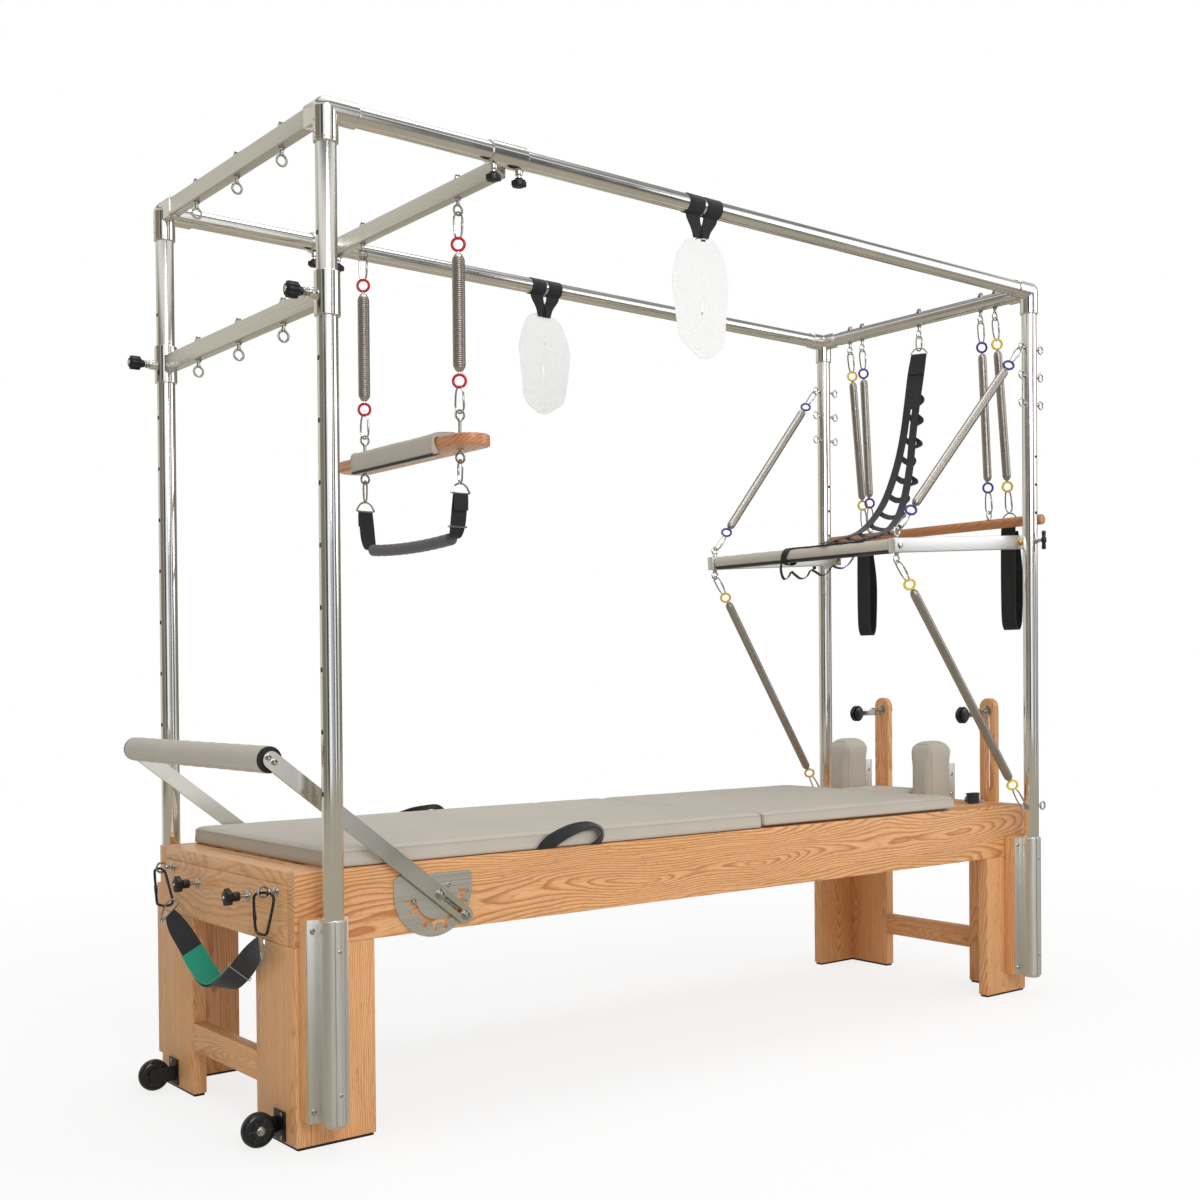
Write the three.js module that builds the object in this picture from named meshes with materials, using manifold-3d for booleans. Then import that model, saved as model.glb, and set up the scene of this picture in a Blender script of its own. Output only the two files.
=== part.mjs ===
// Trapeze table: an oak reformer table under a steel tube frame, with a push-through bar,
// a hanging trapeze, a roll-down dowel, springs, loops, a footbar and a rolling carriage.
// Millimetres, +Z up, +X from the foot end to the head end, right is -Y and left is +Y.
import * as THREE from 'three';
import { mergeVertices } from 'three/addons/utils/BufferGeometryUtils.js';
import Module from 'manifold-3d';

const wasm = await Module();
wasm.setup();

// Shared fits and counts
const fit = 0.3; // gap between two pieces that fit together
const turnGap = 0.6; // wider gap where a faceted piece turns in a faceted bore
const overrun = 2; // cutters run this far past what they cut
const bury = 1.5; // how deep a joined piece is set into the piece that carries it
const tubeSides = 12;
const rodSides = 6;
const boltSides = 5;
const ringSegments = 6;
const ringSides = 3;
const arcSegments = 8;

// Tube frame
const frameLength = 2280; // foot post axis to head post axis
const frameWidth = 810; // right post axis to left post axis
const topRailHeight = 2055; // floor to the axis of the top rails
const tubeDia = 42;
const tubeWall = 2;
const sleeveDia = 50; // corner fittings and clamp sleeves
const cornerReach = 66; // each arm of a corner fitting, from the corner
const postBottom = 56;

// Table
const tableOverhang = 53; // table end past the post axes
const tableInset = 62; // post axes to the table's sides
const tableTop = 555;
const railDepth = 150;
const boardThick = 32;
const legWidth = 180;
const footPadHeight = 6;
const footPadInset = 4;
const stretcherTop = 168;
const stretcherDepth = 62;

// Right and left
const sides = [['right', -1], ['left', 1]];

// Places worked out from the driving sizes
const tubeRadius = tubeDia / 2;
const sleeveRadius = sleeveDia / 2;
const footX = 0;
const headX = frameLength;
const postY = frameWidth / 2;
const tableX0 = footX - tableOverhang;
const tableX1 = headX + tableOverhang;
const tableY = postY - tableInset;
const innerY = tableY - boardThick;
const tableBottom = tableTop - railDepth;

// Finishes
const finish = (color, roughness, metalness) => () => (
  new THREE.MeshStandardMaterial({ color, roughness, metalness }));
const oak = finish(0xdea876, 0.5, 0);
const boardWood = finish(0xcd8c64, 0.4, 0);
const dowelWood = finish(0xbe7d4b, 0.4, 0);
const steel = finish(0xd2d2ce, 0.15, 1);
const aluminium = finish(0xbebeb6, 0.4, 0.9);
const springSteel = finish(0x9a9088, 0.3, 1);
const vinyl = finish(0xc8c0b2, 0.6, 0);
const webbing = finish(0x1c1d1f, 0.85, 0);
const fleece = finish(0xf2f2f0, 0.95, 0);
const blackPlastic = finish(0x202022, 0.5, 0);

// Turns a closed three.js geometry into a solid that can be joined and cut
function solid(geometry) {
  geometry.deleteAttribute('normal');
  geometry.deleteAttribute('uv');
  const merged = mergeVertices(geometry, 1e-4);
  return new wasm.Manifold(new wasm.Mesh({
    numProp: 3,
    vertProperties: new Float32Array(merged.attributes.position.array),
    triVerts: new Uint32Array(merged.index.array),
  }));
}

function join(...pieces) {
  return pieces.flat().reduce((whole, piece) => whole.add(piece));
}

function cut(piece, ...cutters) {
  return cutters.flat().reduce((rest, cutter) => rest.subtract(cutter), piece);
}

const model = new THREE.Group();

function addPiece(name, shape, material) {
  const result = shape.getMesh();
  const geometry = new THREE.BufferGeometry();
  geometry.setAttribute('position', new THREE.BufferAttribute(new Float32Array(result.vertProperties), 3));
  geometry.setIndex(new THREE.BufferAttribute(new Uint32Array(result.triVerts), 1));
  geometry.computeVertexNormals();
  const mesh = new THREE.Mesh(geometry, material());
  mesh.name = name;
  model.add(mesh);
}

// Basic shapes. Points are [x, y, z].
function box([x0, x1], [y0, y1], [z0, z1]) {
  const geometry = new THREE.BoxGeometry(Math.abs(x1 - x0), Math.abs(y1 - y0), Math.abs(z1 - z0));
  geometry.translate((x0 + x1) / 2, (y0 + y1) / 2, (z0 + z1) / 2);
  return solid(geometry);
}

// A box whose Y range is given for the left side and flipped for the right
function sideBox(sign, xs, [y0, y1], zs) {
  return box(xs, [sign * y0, sign * y1], zs);
}

function rod(from, to, radius, count = rodSides, endRadius = radius) {
  const a = new THREE.Vector3(...from);
  const b = new THREE.Vector3(...to);
  const along = b.clone().sub(a);
  const geometry = new THREE.CylinderGeometry(endRadius, radius, along.length(), count);
  const turn = new THREE.Quaternion().setFromUnitVectors(new THREE.Vector3(0, 1, 0), along.normalize());
  geometry.applyQuaternion(turn);
  geometry.translate(...a.add(b).multiplyScalar(0.5).toArray());
  return solid(geometry);
}

function ball(at, radius) {
  const geometry = new THREE.SphereGeometry(radius, tubeSides, tubeSides / 2);
  geometry.rotateX(Math.PI / 2);
  geometry.translate(...at);
  return solid(geometry);
}

// A tube open at both ends, or shut by a plug at its far end
function tube(from, to, outer, inner, plug = 0) {
  const along = new THREE.Vector3(...to).sub(new THREE.Vector3(...from)).normalize();
  const start = new THREE.Vector3(...from).addScaledVector(along, -overrun).toArray();
  const end = new THREE.Vector3(...to).addScaledVector(along, plug > 0 ? -plug : overrun).toArray();
  return cut(rod(from, to, outer, tubeSides), rod(start, end, inner, tubeSides));
}

// A ring of wire with its plane square to Y, so that a hook in it swings about Y
function eyeRing([x, y, z], radius, wire) {
  const geometry = new THREE.TorusGeometry(radius, wire / 2, ringSides, ringSegments);
  geometry.rotateX(Math.PI / 2);
  geometry.translate(x, y, z);
  return solid(geometry);
}

// A long closed link between two points, in the plane of Y and its own length
function link(from, to, width, wire) {
  const a = new THREE.Vector3(...from);
  const b = new THREE.Vector3(...to);
  const along = b.clone().sub(a);
  const radius = width / 2;
  const stretch = (along.length() - width) / 2;
  const geometry = new THREE.TorusGeometry(radius, wire / 2, ringSides, ringSegments);
  geometry.rotateZ(Math.PI / ringSegments);
  const points = geometry.attributes.position;
  for (let i = 0; i < points.count; i++) {
    points.setY(i, points.getY(i) + Math.sign(points.getY(i)) * stretch);
  }
  const yAxis = along.normalize();
  const zAxis = new THREE.Vector3(0, 1, 0).cross(yAxis).normalize();
  const xAxis = yAxis.clone().cross(zAxis);
  geometry.applyMatrix4(new THREE.Matrix4().makeBasis(xAxis, yAxis, zAxis));
  geometry.translate(...a.add(b).multiplyScalar(0.5).toArray());
  return solid(geometry);
}

// A closed body from rings of points with equal counts, capped at both ends or joined into a loop
function loft(rings, closed = false) {
  const count = rings[0].length;
  const faces = [];
  const last = closed ? rings.length : rings.length - 1;
  for (let i = 0; i < last; i++) {
    const here = i * count;
    const next = ((i + 1) % rings.length) * count;
    for (let j = 0; j < count; j++) {
      const k = (j + 1) % count;
      faces.push([here + j, here + k, next + k], [here + j, next + k, next + j]);
    }
  }
  const end = (rings.length - 1) * count;
  for (let j = 1; j < count - 1 && !closed; j++) {
    faces.push([0, j + 1, j], [end, end + j, end + j + 1]);
  }
  const build = (triangles) => {
    const geometry = new THREE.BufferGeometry();
    geometry.setAttribute('position', new THREE.BufferAttribute(new Float32Array(rings.flat(2)), 3));
    geometry.setIndex(triangles.flat());
    return solid(geometry);
  };
  const shape = build(faces);
  return shape.volume() > 0 ? shape : build(faces.map(([p, q, r]) => [p, r, q]));
}

// A flat strap along points [x, y, z, half width], wide along `across` and thick square to its path
function strap(path, across, thick, closed = false) {
  const wide = new THREE.Vector3(...across);
  const points = path.map(([x, y, z]) => new THREE.Vector3(x, y, z));
  const count = points.length;
  const rings = points.map((point, i) => {
    const before = points[closed ? (i + count - 1) % count : Math.max(i - 1, 0)];
    const after = points[closed ? (i + 1) % count : Math.min(i + 1, count - 1)];
    const out = wide.clone().cross(after.clone().sub(before)).normalize().multiplyScalar(thick / 2);
    const half = wide.clone().multiplyScalar(path[i][3]);
    return [[1, 1], [-1, 1], [-1, -1], [1, -1]].map(([u, v]) => (
      point.clone().addScaledVector(half, u).addScaledVector(out, v).toArray()));
  });
  return loft(rings, closed);
}

// An outline drawn in X and Z, given its thickness along Y
function plateXZ(shape, y0, y1, curveSegments = arcSegments) {
  const depth = Math.abs(y1 - y0);
  const geometry = new THREE.ExtrudeGeometry(shape, { depth, bevelEnabled: false, curveSegments });
  geometry.rotateX(Math.PI / 2);
  geometry.translate(0, Math.max(y0, y1), 0);
  return solid(geometry);
}

// A padded block: crowned on top, drawn in along its sides, rounded at its upper edges
function cushion([x0, x1], [y0, y1], [z0, z1], { crown, drawn, round, cells }) {
  const size = [(x1 - x0) / 2, Math.abs(y1 - y0) / 2, (z1 - z0) / 2];
  const geometry = new THREE.BoxGeometry(2, 2, 2, ...cells);
  const points = geometry.attributes.position;
  for (let i = 0; i < points.count; i++) {
    const [a, b, c] = [points.getX(i), points.getY(i), points.getZ(i)];
    const rise = Math.max(c, 0) ** 2;
    const swell = crown * rise * ((1 - a * a) * (1 - b * b) - 1);
    const x = a * (size[0] - drawn * (1 - b * b) * a * a - round * rise * a * a);
    const y = b * (size[1] - drawn * (1 - a * a) * b * b - round * rise * b * b);
    points.setXYZ(i, x, y, c * size[2] + swell);
  }
  geometry.translate((x0 + x1) / 2, (y0 + y1) / 2, (z0 + z1) / 2);
  return solid(geometry);
}

// Eye bolts, cap nuts and hooks
const eyeRadius = 11; // to the middle of the wire
const eyeWire = 5;
const boltDia = 9;
const nutDia = 15;
const nutHeight = 6;
const capNutHeight = 14;
const hookWidth = 14; // between the middles of a hook's two sides
const hookWire = 5;
const wireInner = Math.cos(Math.PI / ringSides) / 2; // half thickness towards a ring's middle, as a share
// A hook's wire lies this far from the middle of its eye, just short of the eye's faceted inside
function sagOf(wire) {
  const eyeInside = (eyeRadius - eyeWire * wireInner) * Math.cos(Math.PI / ringSegments);
  return eyeInside - (wire + eyeWire) * wireInner - fit - turnGap;
}
const hookSag = sagOf(hookWire);

// An eye on a shank, from a point on a surface out along a direction
function eyeBolt(at, out, reach) {
  const way = new THREE.Vector3(...out);
  const step = (distance) => new THREE.Vector3(...at).addScaledVector(way, distance).toArray();
  const shank = rod(step(-bury), step(reach - eyeRadius), boltDia / 2, boltSides);
  return join(shank, eyeRing(step(reach), eyeRadius, eyeWire));
}

function capNut([x, y, z]) {
  return rod([x, y, z - bury], [x, y, z + capNutHeight], nutDia / 2, boltSides, boltDia / 2);
}

// Side rails, each with an inner ledge that the carriage rolls on
const ledgeWidth = 28;
const ledgeDrop = 69; // under the table top
const ledgeThick = 16;
const ledgeTop = tableTop - ledgeDrop;

for (const [name, sign] of sides) {
  const board = sideBox(sign, [tableX0, tableX1], [innerY, tableY], [tableBottom, tableTop]);
  const ledge = sideBox(sign, [tableX0 + boardThick + fit, tableX1 - boardThick - fit],
    [innerY - ledgeWidth, innerY + bury], [ledgeTop - ledgeThick, ledgeTop]);
  addPiece(`side_rail_${name}`, join(board, ledge), oak);
}

// End boards. The foot one has a top ledge with a groove, two strap eyes and two clamp knobs.
const footLedgeDepth = 77;
const footLedgeThick = 28;
const grooveWidth = 4;
const grooveLength = 380;
const grooveDepth = 12;
const strapEyeInset = 79; // in from the table's side
const strapEyeReach = 29;
const strapEyeDrop = 43;
const endKnobY = 130;
const endKnobDrop = 67;
const endKnobStem = 20;
const endKnobDia = 40;
const endKnobNeckDia = 20;
const endKnobLength = 34;
const footLedgeX = tableX0 + footLedgeDepth;
const strapEyeX = tableX0 - strapEyeReach;
const strapEyeY = tableY - strapEyeInset;
const strapEyeHeight = tableTop - strapEyeDrop;
const endKnobHeight = tableTop - endKnobDrop;

function endBoardFoot() {
  const stemEnd = tableX0 - endKnobStem;
  const pieces = [
    box([tableX0, tableX0 + boardThick], [-innerY, innerY], [tableBottom, tableTop]),
    box([tableX0, footLedgeX], [-innerY, innerY], [tableTop - footLedgeThick, tableTop]),
  ];
  for (const [, sign] of sides) {
    const knob = (x) => [x, sign * endKnobY, endKnobHeight];
    pieces.push(eyeBolt([tableX0, sign * strapEyeY, strapEyeHeight], [-1, 0, 0], strapEyeReach));
    pieces.push(rod(knob(tableX0 + bury), knob(stemEnd - bury), boltDia / 2, boltSides));
    pieces.push(rod(knob(stemEnd), knob(stemEnd - endKnobLength), endKnobNeckDia / 2, rodSides,
      endKnobDia / 2));
  }
  const groove = box([footX - grooveWidth / 2, footX + grooveWidth / 2],
    [-grooveLength / 2, grooveLength / 2], [tableTop - grooveDepth, tableTop + overrun]);
  return cut(join(pieces), groove);
}
addPiece('end_board_foot', endBoardFoot(), oak);
addPiece('end_board_head',
  box([tableX1 - boardThick, tableX1], [-innerY, innerY], [tableBottom, tableTop]), oak);

// Leg frames: two L-shaped legs, a stretcher, and the blocks that the post sockets are screwed to
const socketLift = 6; // socket over the lower end of its post
const socketOverlap = 59; // socket past the lower edge of the side rails
const socketWidth = 92;
const socketReach = 28; // back of a socket's flange to its post's axis
const socketBottom = postBottom + socketLift;
const socketTop = tableBottom + socketOverlap;
const spacerDepth = tableInset - socketReach;

function legFrame(faceX, inward, postX) {
  const frontX = [faceX, faceX + inward * boardThick];
  const sideX = [faceX, faceX + inward * legWidth];
  const z = [footPadHeight, tableBottom];
  const pieces = [
    box(frontX, [-tableY + legWidth - bury, tableY - legWidth + bury],
      [stretcherTop - stretcherDepth, stretcherTop]),
  ];
  for (const [, sign] of sides) {
    const front = [tableY - legWidth, tableY];
    const inset = (pair, way) => [pair[0] + way * footPadInset, pair[1] - way * footPadInset];
    pieces.push(sideBox(sign, frontX, front, z));
    pieces.push(sideBox(sign, sideX, [innerY, tableY], z));
    pieces.push(sideBox(sign, inset(frontX, inward), inset(front, 1), [0, footPadHeight + bury]));
    pieces.push(sideBox(sign, inset(sideX, inward), inset([innerY, tableY], 1), [0, footPadHeight + bury]));
    pieces.push(sideBox(sign, [postX - socketWidth / 2, postX + socketWidth / 2],
      [tableY, tableY + spacerDepth], [socketBottom, socketTop]));
  }
  return join(pieces);
}

// The spacer blocks above the legs lie against the side rails, so only their lower part is joined
addPiece('leg_frame_foot', legFrame(tableX0, 1, footX), oak);
addPiece('leg_frame_head', legFrame(tableX1, -1, headX), oak);

// Transport wheels on brackets at the foot end
const wheelDia = 71;
const wheelWidth = 24;
const wheelInset = 72; // in from the table's side
const wheelReach = 49; // table end to the axle
const wheelX = tableX0 - wheelReach;
const wheelY = tableY - wheelInset;
const wheelHeight = 38;
const wheelBore = 9.4;
const axleDia = 8;
const bracketThick = 3;
const bracketWidth = 50;
const bracketHeight = 62;
const cheekHeight = 34;

for (const [name, sign] of sides) {
  const inner = wheelY - wheelWidth / 2 - turnGap - bracketThick;
  const outer = wheelY + wheelWidth / 2 + turnGap;
  const backX = [tableX0 - bracketThick, tableX0];
  const bracketZ = [wheelHeight - bracketHeight / 2 + bracketThick, wheelHeight + bracketHeight / 2];
  const axle = (y) => [wheelX, sign * y, wheelHeight];
  addPiece(`wheel_bracket_${name}`, join(
    sideBox(sign, backX, [wheelY - bracketWidth / 2, wheelY + bracketWidth / 2], bracketZ),
    sideBox(sign, [wheelX - nutDia / 2, tableX0 - bracketThick / 2], [inner, inner + bracketThick],
      [wheelHeight - cheekHeight / 2, wheelHeight + cheekHeight / 2]),
    rod(axle(inner), axle(outer + bury), axleDia / 2),
    rod(axle(outer), axle(outer + nutHeight), nutDia / 2, boltSides),
  ), blackPlastic);
  const half = wheelWidth / 2;
  const rim = wheelDia / 2;
  const bore = wheelBore / 2;
  const profile = [[bore, -half], [rim - half / 2, -half], [rim, -half / 2], [rim, half / 2],
    [rim - half / 2, half], [bore, half], [bore, -half]];
  const tyre = new THREE.LatheGeometry(profile.map(([r, h]) => new THREE.Vector2(r, h)), tubeSides);
  tyre.translate(wheelX, sign * wheelY, wheelHeight);
  addPiece(`wheel_${name}`, solid(tyre), blackPlastic);
}

// Posts with their corner fittings
const footHoleDrop = 244; // rail axis to the top hole
const footHolePitch = 122;
const footHoles = 10;
const footHoleDia = 10;
const headHoleDrop = 482;
const headHolePitch = 81.5;
const headHoles = 3;
const headHoleDia = 8;
const postEyeDrop = 163;
const postEyePitch = 81;
const postEyes = 3;
const lowEyeDrop = 1; // under the table top
const innerEyeReach = 35; // post axis to the middle of an eye
const outerEyeReach = 55;
const pivotHeight = 1329;
const pivotPinDia = 12;
const bushDia = 20;
const armInset = 55.5; // post axis to an arm's inner face
const armWidth = 25;
const armDepth = 40;
const pivotCap = 5;
const tKnobReach = 47; // post axis to the knob's bar
const tKnobLength = 54;
const tKnobDia = 12;
const footHoleTop = topRailHeight - footHoleDrop;
const headHoleTop = topRailHeight - headHoleDrop;
const postEyeTop = topRailHeight - postEyeDrop;
const lowEyeHeight = tableTop - lowEyeDrop;
const armInnerY = postY - armInset;
const tKnobY = postY + tKnobReach;

function corner(postX, inward, sign, roundBeam) {
  const [x, y, z] = [postX, sign * postY, topRailHeight];
  const endX = x + inward * cornerReach;
  const endY = y - sign * cornerReach;
  const boreStart = tubeRadius + bury;
  const pieces = [
    ball([x, y, z], sleeveRadius),
    rod([x, y, z - cornerReach], [x, y, z], sleeveRadius, tubeSides),
    rod([x, y, z], [endX, y, z], sleeveRadius, tubeSides),
  ];
  const cutters = [
    rod([x + inward * boreStart, y, z], [endX + inward * overrun, y, z], tubeRadius + fit, tubeSides),
  ];
  if (roundBeam) {
    pieces.push(rod([x, y, z], [x, endY, z], sleeveRadius, tubeSides));
    cutters.push(rod([x, y - sign * boreStart, z], [x, endY - sign * overrun, z], tubeRadius + fit,
      tubeSides));
  } else {
    pieces.push(box([x - beamWidth / 2 - tubeWall, x + beamWidth / 2 + tubeWall], [y, endY],
      [z - beamDepth / 2 - tubeWall, z + beamDepth / 2 + tubeWall]));
    cutters.push(box([x - beamWidth / 2 - fit, x + beamWidth / 2 + fit],
      [y - sign * boreStart, endY - sign * overrun], [z - beamDepth / 2 - fit, z + beamDepth / 2 + fit]));
  }
  return cut(join(pieces), cutters);
}

function post(x, y) {
  return tube([x, y, postBottom], [x, y, topRailHeight], tubeRadius, tubeRadius - tubeWall, cornerReach / 2);
}

// Flat beams across the frame
const beamDepth = 40;
const beamWidth = 25;
const beamEyeY = 215; // middle eye to the outer ones
const beamEyeYs = [-beamEyeY, 0, beamEyeY];
const beamEyeReach = 27;

for (const [name, sign] of sides) {
  const y = sign * postY;
  const wallCut = tubeWall + overrun;
  const holes = Array.from({ length: footHoles }, (_, i) => footHoleTop - i * footHolePitch);
  const holeX = [footX - tubeRadius - overrun, footX - tubeRadius + wallCut];
  addPiece(`post_foot_${name}`, cut(
    join(post(footX, y), corner(footX, 1, sign, false)),
    holes.map((z) => rod([holeX[0], y, z], [holeX[1], y, z], footHoleDia / 2, boltSides)),
  ), steel);
}

for (const [name, sign] of sides) {
  const y = sign * postY;
  const holes = Array.from({ length: headHoles }, (_, i) => headHoleTop - i * headHolePitch);
  const eyeHeights = Array.from({ length: postEyes }, (_, i) => postEyeTop - i * postEyePitch);
  const holeY = tubeRadius + overrun;
  const pieces = [join(post(headX, y), corner(headX, -1, sign, true))];
  for (const z of [...eyeHeights, lowEyeHeight]) {
    pieces.push(eyeBolt([headX - tubeRadius, y, z], [-1, 0, 0], innerEyeReach - tubeRadius + bury));
    pieces.push(eyeBolt([headX + tubeRadius, y, z], [1, 0, 0], outerEyeReach - tubeRadius));
  }
  const pivot = (at) => [headX, sign * at, pivotHeight];
  const armFace = armInnerY + armWidth + fit;
  pieces.push(rod(pivot(armInnerY - fit - pivotCap), pivot(postY - tubeRadius + tubeWall), pivotPinDia / 2));
  pieces.push(rod(pivot(armInnerY - fit - pivotCap), pivot(armInnerY - fit), bushDia / 2));
  pieces.push(rod(pivot(armFace), pivot(postY - tubeRadius + tubeWall), bushDia / 2));
  pieces.push(rod(pivot(postY + tubeRadius - tubeWall), pivot(tKnobY), boltDia / 2));
  pieces.push(rod([headX, sign * tKnobY, pivotHeight - tKnobLength / 2],
    [headX, sign * tKnobY, pivotHeight + tKnobLength / 2], tKnobDia / 2));
  addPiece(`post_head_${name}`, cut(join(pieces), holes.map((z) => (
    rod([headX, y - holeY, z], [headX, y + holeY, z], headHoleDia / 2, boltSides)))), steel);
}

// Aluminium sockets that hold the lower ends of the posts
const socketDia = 52;
const socketFlange = 4;
const socketNeck = 44;

for (const [end, postX] of [['foot', footX], ['head', headX]]) {
  for (const [name, sign] of sides) {
    const y = sign * postY;
    const flangeY = tableY + spacerDepth;
    const z = [socketBottom, socketTop];
    addPiece(`socket_${end}_${name}`, cut(
      join(
        sideBox(sign, [postX - socketWidth / 2, postX + socketWidth / 2],
          [flangeY, flangeY + socketFlange], z),
        rod([postX, y, z[0]], [postX, y, z[1]], socketDia / 2, tubeSides),
        sideBox(sign, [postX - socketNeck / 2, postX + socketNeck / 2],
          [flangeY, postY - tubeRadius / 2], z),
      ).intersect(sideBox(sign, [postX - socketWidth, postX + socketWidth],
        [flangeY, postY + socketDia], z)),
      rod([postX, y, z[0] - overrun], [postX, y, z[1] + overrun], tubeRadius + fit, tubeSides),
    ), aluminium);
  }
}

// Top rails and the two end beams
const railEnd = tubeRadius + bury + fit;

for (const [name, sign] of sides) {
  const y = sign * postY;
  addPiece(`top_rail_${name}`, tube([footX + railEnd, y, topRailHeight], [headX - railEnd, y, topRailHeight],
    tubeRadius, tubeRadius - tubeWall), steel);
}

function flatBeam(x, z, reach, wall = 0) {
  const [halfX, halfZ] = [beamWidth / 2 - wall, beamDepth / 2 - wall];
  return box([x - halfX, x + halfX], [-reach, reach], [z - halfZ, z + halfZ]);
}

function beamEyes(x, z, depth, ys) {
  return ys.flatMap((y) => [
    eyeBolt([x, y, z - depth / 2], [0, 0, -1], beamEyeReach),
    capNut([x, y, z + depth / 2]),
  ]);
}

addPiece('top_beam_foot', join(
  cut(flatBeam(footX, topRailHeight, postY - railEnd), flatBeam(footX, topRailHeight, postY, tubeWall)),
  beamEyes(footX, topRailHeight, beamDepth, beamEyeYs),
), steel);

const loopSpringY = 286;
const rollDownSpringY = 234;
const headEyeYs = [-loopSpringY, -rollDownSpringY, 0, rollDownSpringY, loopSpringY];
const headEyeHeight = topRailHeight - tubeRadius - beamEyeReach;

addPiece('top_beam_head', join(
  tube([headX, railEnd - postY, topRailHeight], [headX, postY - railEnd, topRailHeight],
    tubeRadius, tubeRadius - tubeWall),
  beamEyes(headX, topRailHeight, tubeDia - tubeWall / 2, headEyeYs),
), steel);

// Crossbar that slides along the top rails, with a clamp knob pair under each sleeve
const slidingX = 430;
const slidingSleeve = 90;
const slidingDrop = 20; // beam centre below the rail axis
const starKnobX = 33;
const starKnobDia = 26;
const starKnobHeight = 16;
const starKnobStem = 16;
const clampBore = tubeRadius + turnGap;

function crossbarSliding() {
  const beamZ = topRailHeight - slidingDrop;
  const pieces = [flatBeam(slidingX, beamZ, postY - tubeRadius + overrun)];
  const bores = [flatBeam(slidingX, beamZ, postY - tubeRadius / 2, tubeWall)];
  for (const [, sign] of sides) {
    const y = sign * postY;
    const ends = [slidingX - slidingSleeve / 2, slidingX + slidingSleeve / 2];
    pieces.push(rod([ends[0], y, topRailHeight], [ends[1], y, topRailHeight], sleeveRadius, tubeSides));
    bores.push(rod([ends[0] - overrun, y, topRailHeight], [ends[1] + overrun, y, topRailHeight],
      clampBore, tubeSides));
    for (const side of [-1, 1]) {
      const knob = (z) => [slidingX + side * starKnobX, y, z];
      const stemTop = topRailHeight - sleeveRadius + bury;
      const knobTop = topRailHeight - sleeveRadius - starKnobStem;
      pieces.push(rod(knob(stemTop), knob(knobTop - bury), boltDia / 2, boltSides));
      pieces.push(rod(knob(knobTop), knob(knobTop - starKnobHeight), starKnobDia / 2));
    }
  }
  pieces.push(...beamEyes(slidingX, beamZ, beamDepth, beamEyeYs.filter((y) => y !== 0)));
  return cut(join(pieces), bores);
}
addPiece('crossbar_sliding', crossbarSliding(), steel);

// Height-set crossbar on the foot posts, held by two plungers
const footBarDrop = 361; // rail axis to the bar's axis
const footSleeveHeight = 87;
const plungerDrop = 3; // bar's axis to the plungers' axis
const footBarHeight = topRailHeight - footBarDrop;
const plungerHeight = footBarHeight - plungerDrop;
const plungerPinDia = 10;
const plungerBossDia = 20;
const plungerBoss = 24; // boss length outside the sleeve
const plungerKnobDia = 30;
const plungerKnobLength = 30;

function crossbarFoot() {
  const z = [footBarHeight - footSleeveHeight / 2, footBarHeight + footSleeveHeight / 2];
  const pieces = [flatBeam(footX, footBarHeight, postY - tubeRadius + overrun)];
  const bores = [flatBeam(footX, footBarHeight, postY - tubeRadius / 2, tubeWall)];
  for (const [, sign] of sides) {
    const y = sign * postY;
    const bossEnd = footX - sleeveRadius - plungerBoss;
    pieces.push(rod([footX, y, z[0]], [footX, y, z[1]], sleeveRadius, tubeSides));
    pieces.push(rod([footX - tubeRadius - bury, y, plungerHeight], [bossEnd, y, plungerHeight],
      plungerBossDia / 2));
    bores.push(rod([footX, y, z[0] - overrun], [footX, y, z[1] + overrun], clampBore, tubeSides));
    bores.push(rod([footX, y, plungerHeight], [bossEnd - overrun, y, plungerHeight],
      plungerPinDia / 2 + fit, rodSides));
  }
  pieces.push(...beamEyes(footX, footBarHeight, beamDepth, beamEyeYs));
  return cut(join(pieces), bores);
}
addPiece('crossbar_foot', crossbarFoot(), steel);

for (const [name, sign] of sides) {
  const at = (x) => [x, sign * postY, plungerHeight];
  const knobX = footX - sleeveRadius - plungerBoss - fit;
  addPiece(`plunger_${name}`, join(
    rod(at(footX - tubeRadius - turnGap - fit), at(knobX - bury), plungerPinDia / 2, rodSides),
    rod(at(knobX), at(knobX - plungerKnobLength), plungerKnobDia / 2 - bury, rodSides, plungerKnobDia / 2),
  ), blackPlastic);
}

// Footbar: notched plates on the side rails, a U of two arms and a rod, and a padded roll
const plateThick = 5;
const plateRadius = 96;
const plateShift = 9; // plate's middle towards the foot end from the pivot
const plateLift = 7; // middle of the plate's round edge, over the pivot
const plateDrop = 27; // table top to the plate's upper edge
const plateTop = tableTop - plateDrop;
const footPivotX = 276;
const plateX = footPivotX - plateShift;
const footPivotDrop = 72;
const footPivotZ = tableTop - footPivotDrop;
const slotInner = 53;
const slotOuter = 62;
const notchReach = 79;
const notchWidth = 10;
const slotStart = 186;
const slotEnd = 362;
const notchAngles = [190, 206, 243, 264, 285, 322, 342, 360];
const lockAngle = 322;
const armReachUp = 486; // pivot to the roll's axis
const lockReach = 81; // pivot to the lock bolt
const footArmWidth = 35;
const footArmThick = 8;
const footArmGap = 4; // plate to arm
const footArmY = tableY + plateThick + footArmGap;
const footBoltDia = 12;
const footRodDia = 20;
const rollDia = 54;
const rollSide = 3; // roll end to arm
const washerDia = 20;
const toRadians = Math.PI / 180;
const footPivot = (radius, degrees) => [
  footPivotX + radius * Math.cos(degrees * toRadians),
  footPivotZ + radius * Math.sin(degrees * toRadians),
];

function arcSector(inner, outer, from, to) {
  const shape = new THREE.Shape();
  shape.absarc(footPivotX, footPivotZ, outer, from * toRadians, to * toRadians, false);
  shape.absarc(footPivotX, footPivotZ, inner, to * toRadians, from * toRadians, true);
  return shape;
}

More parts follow.
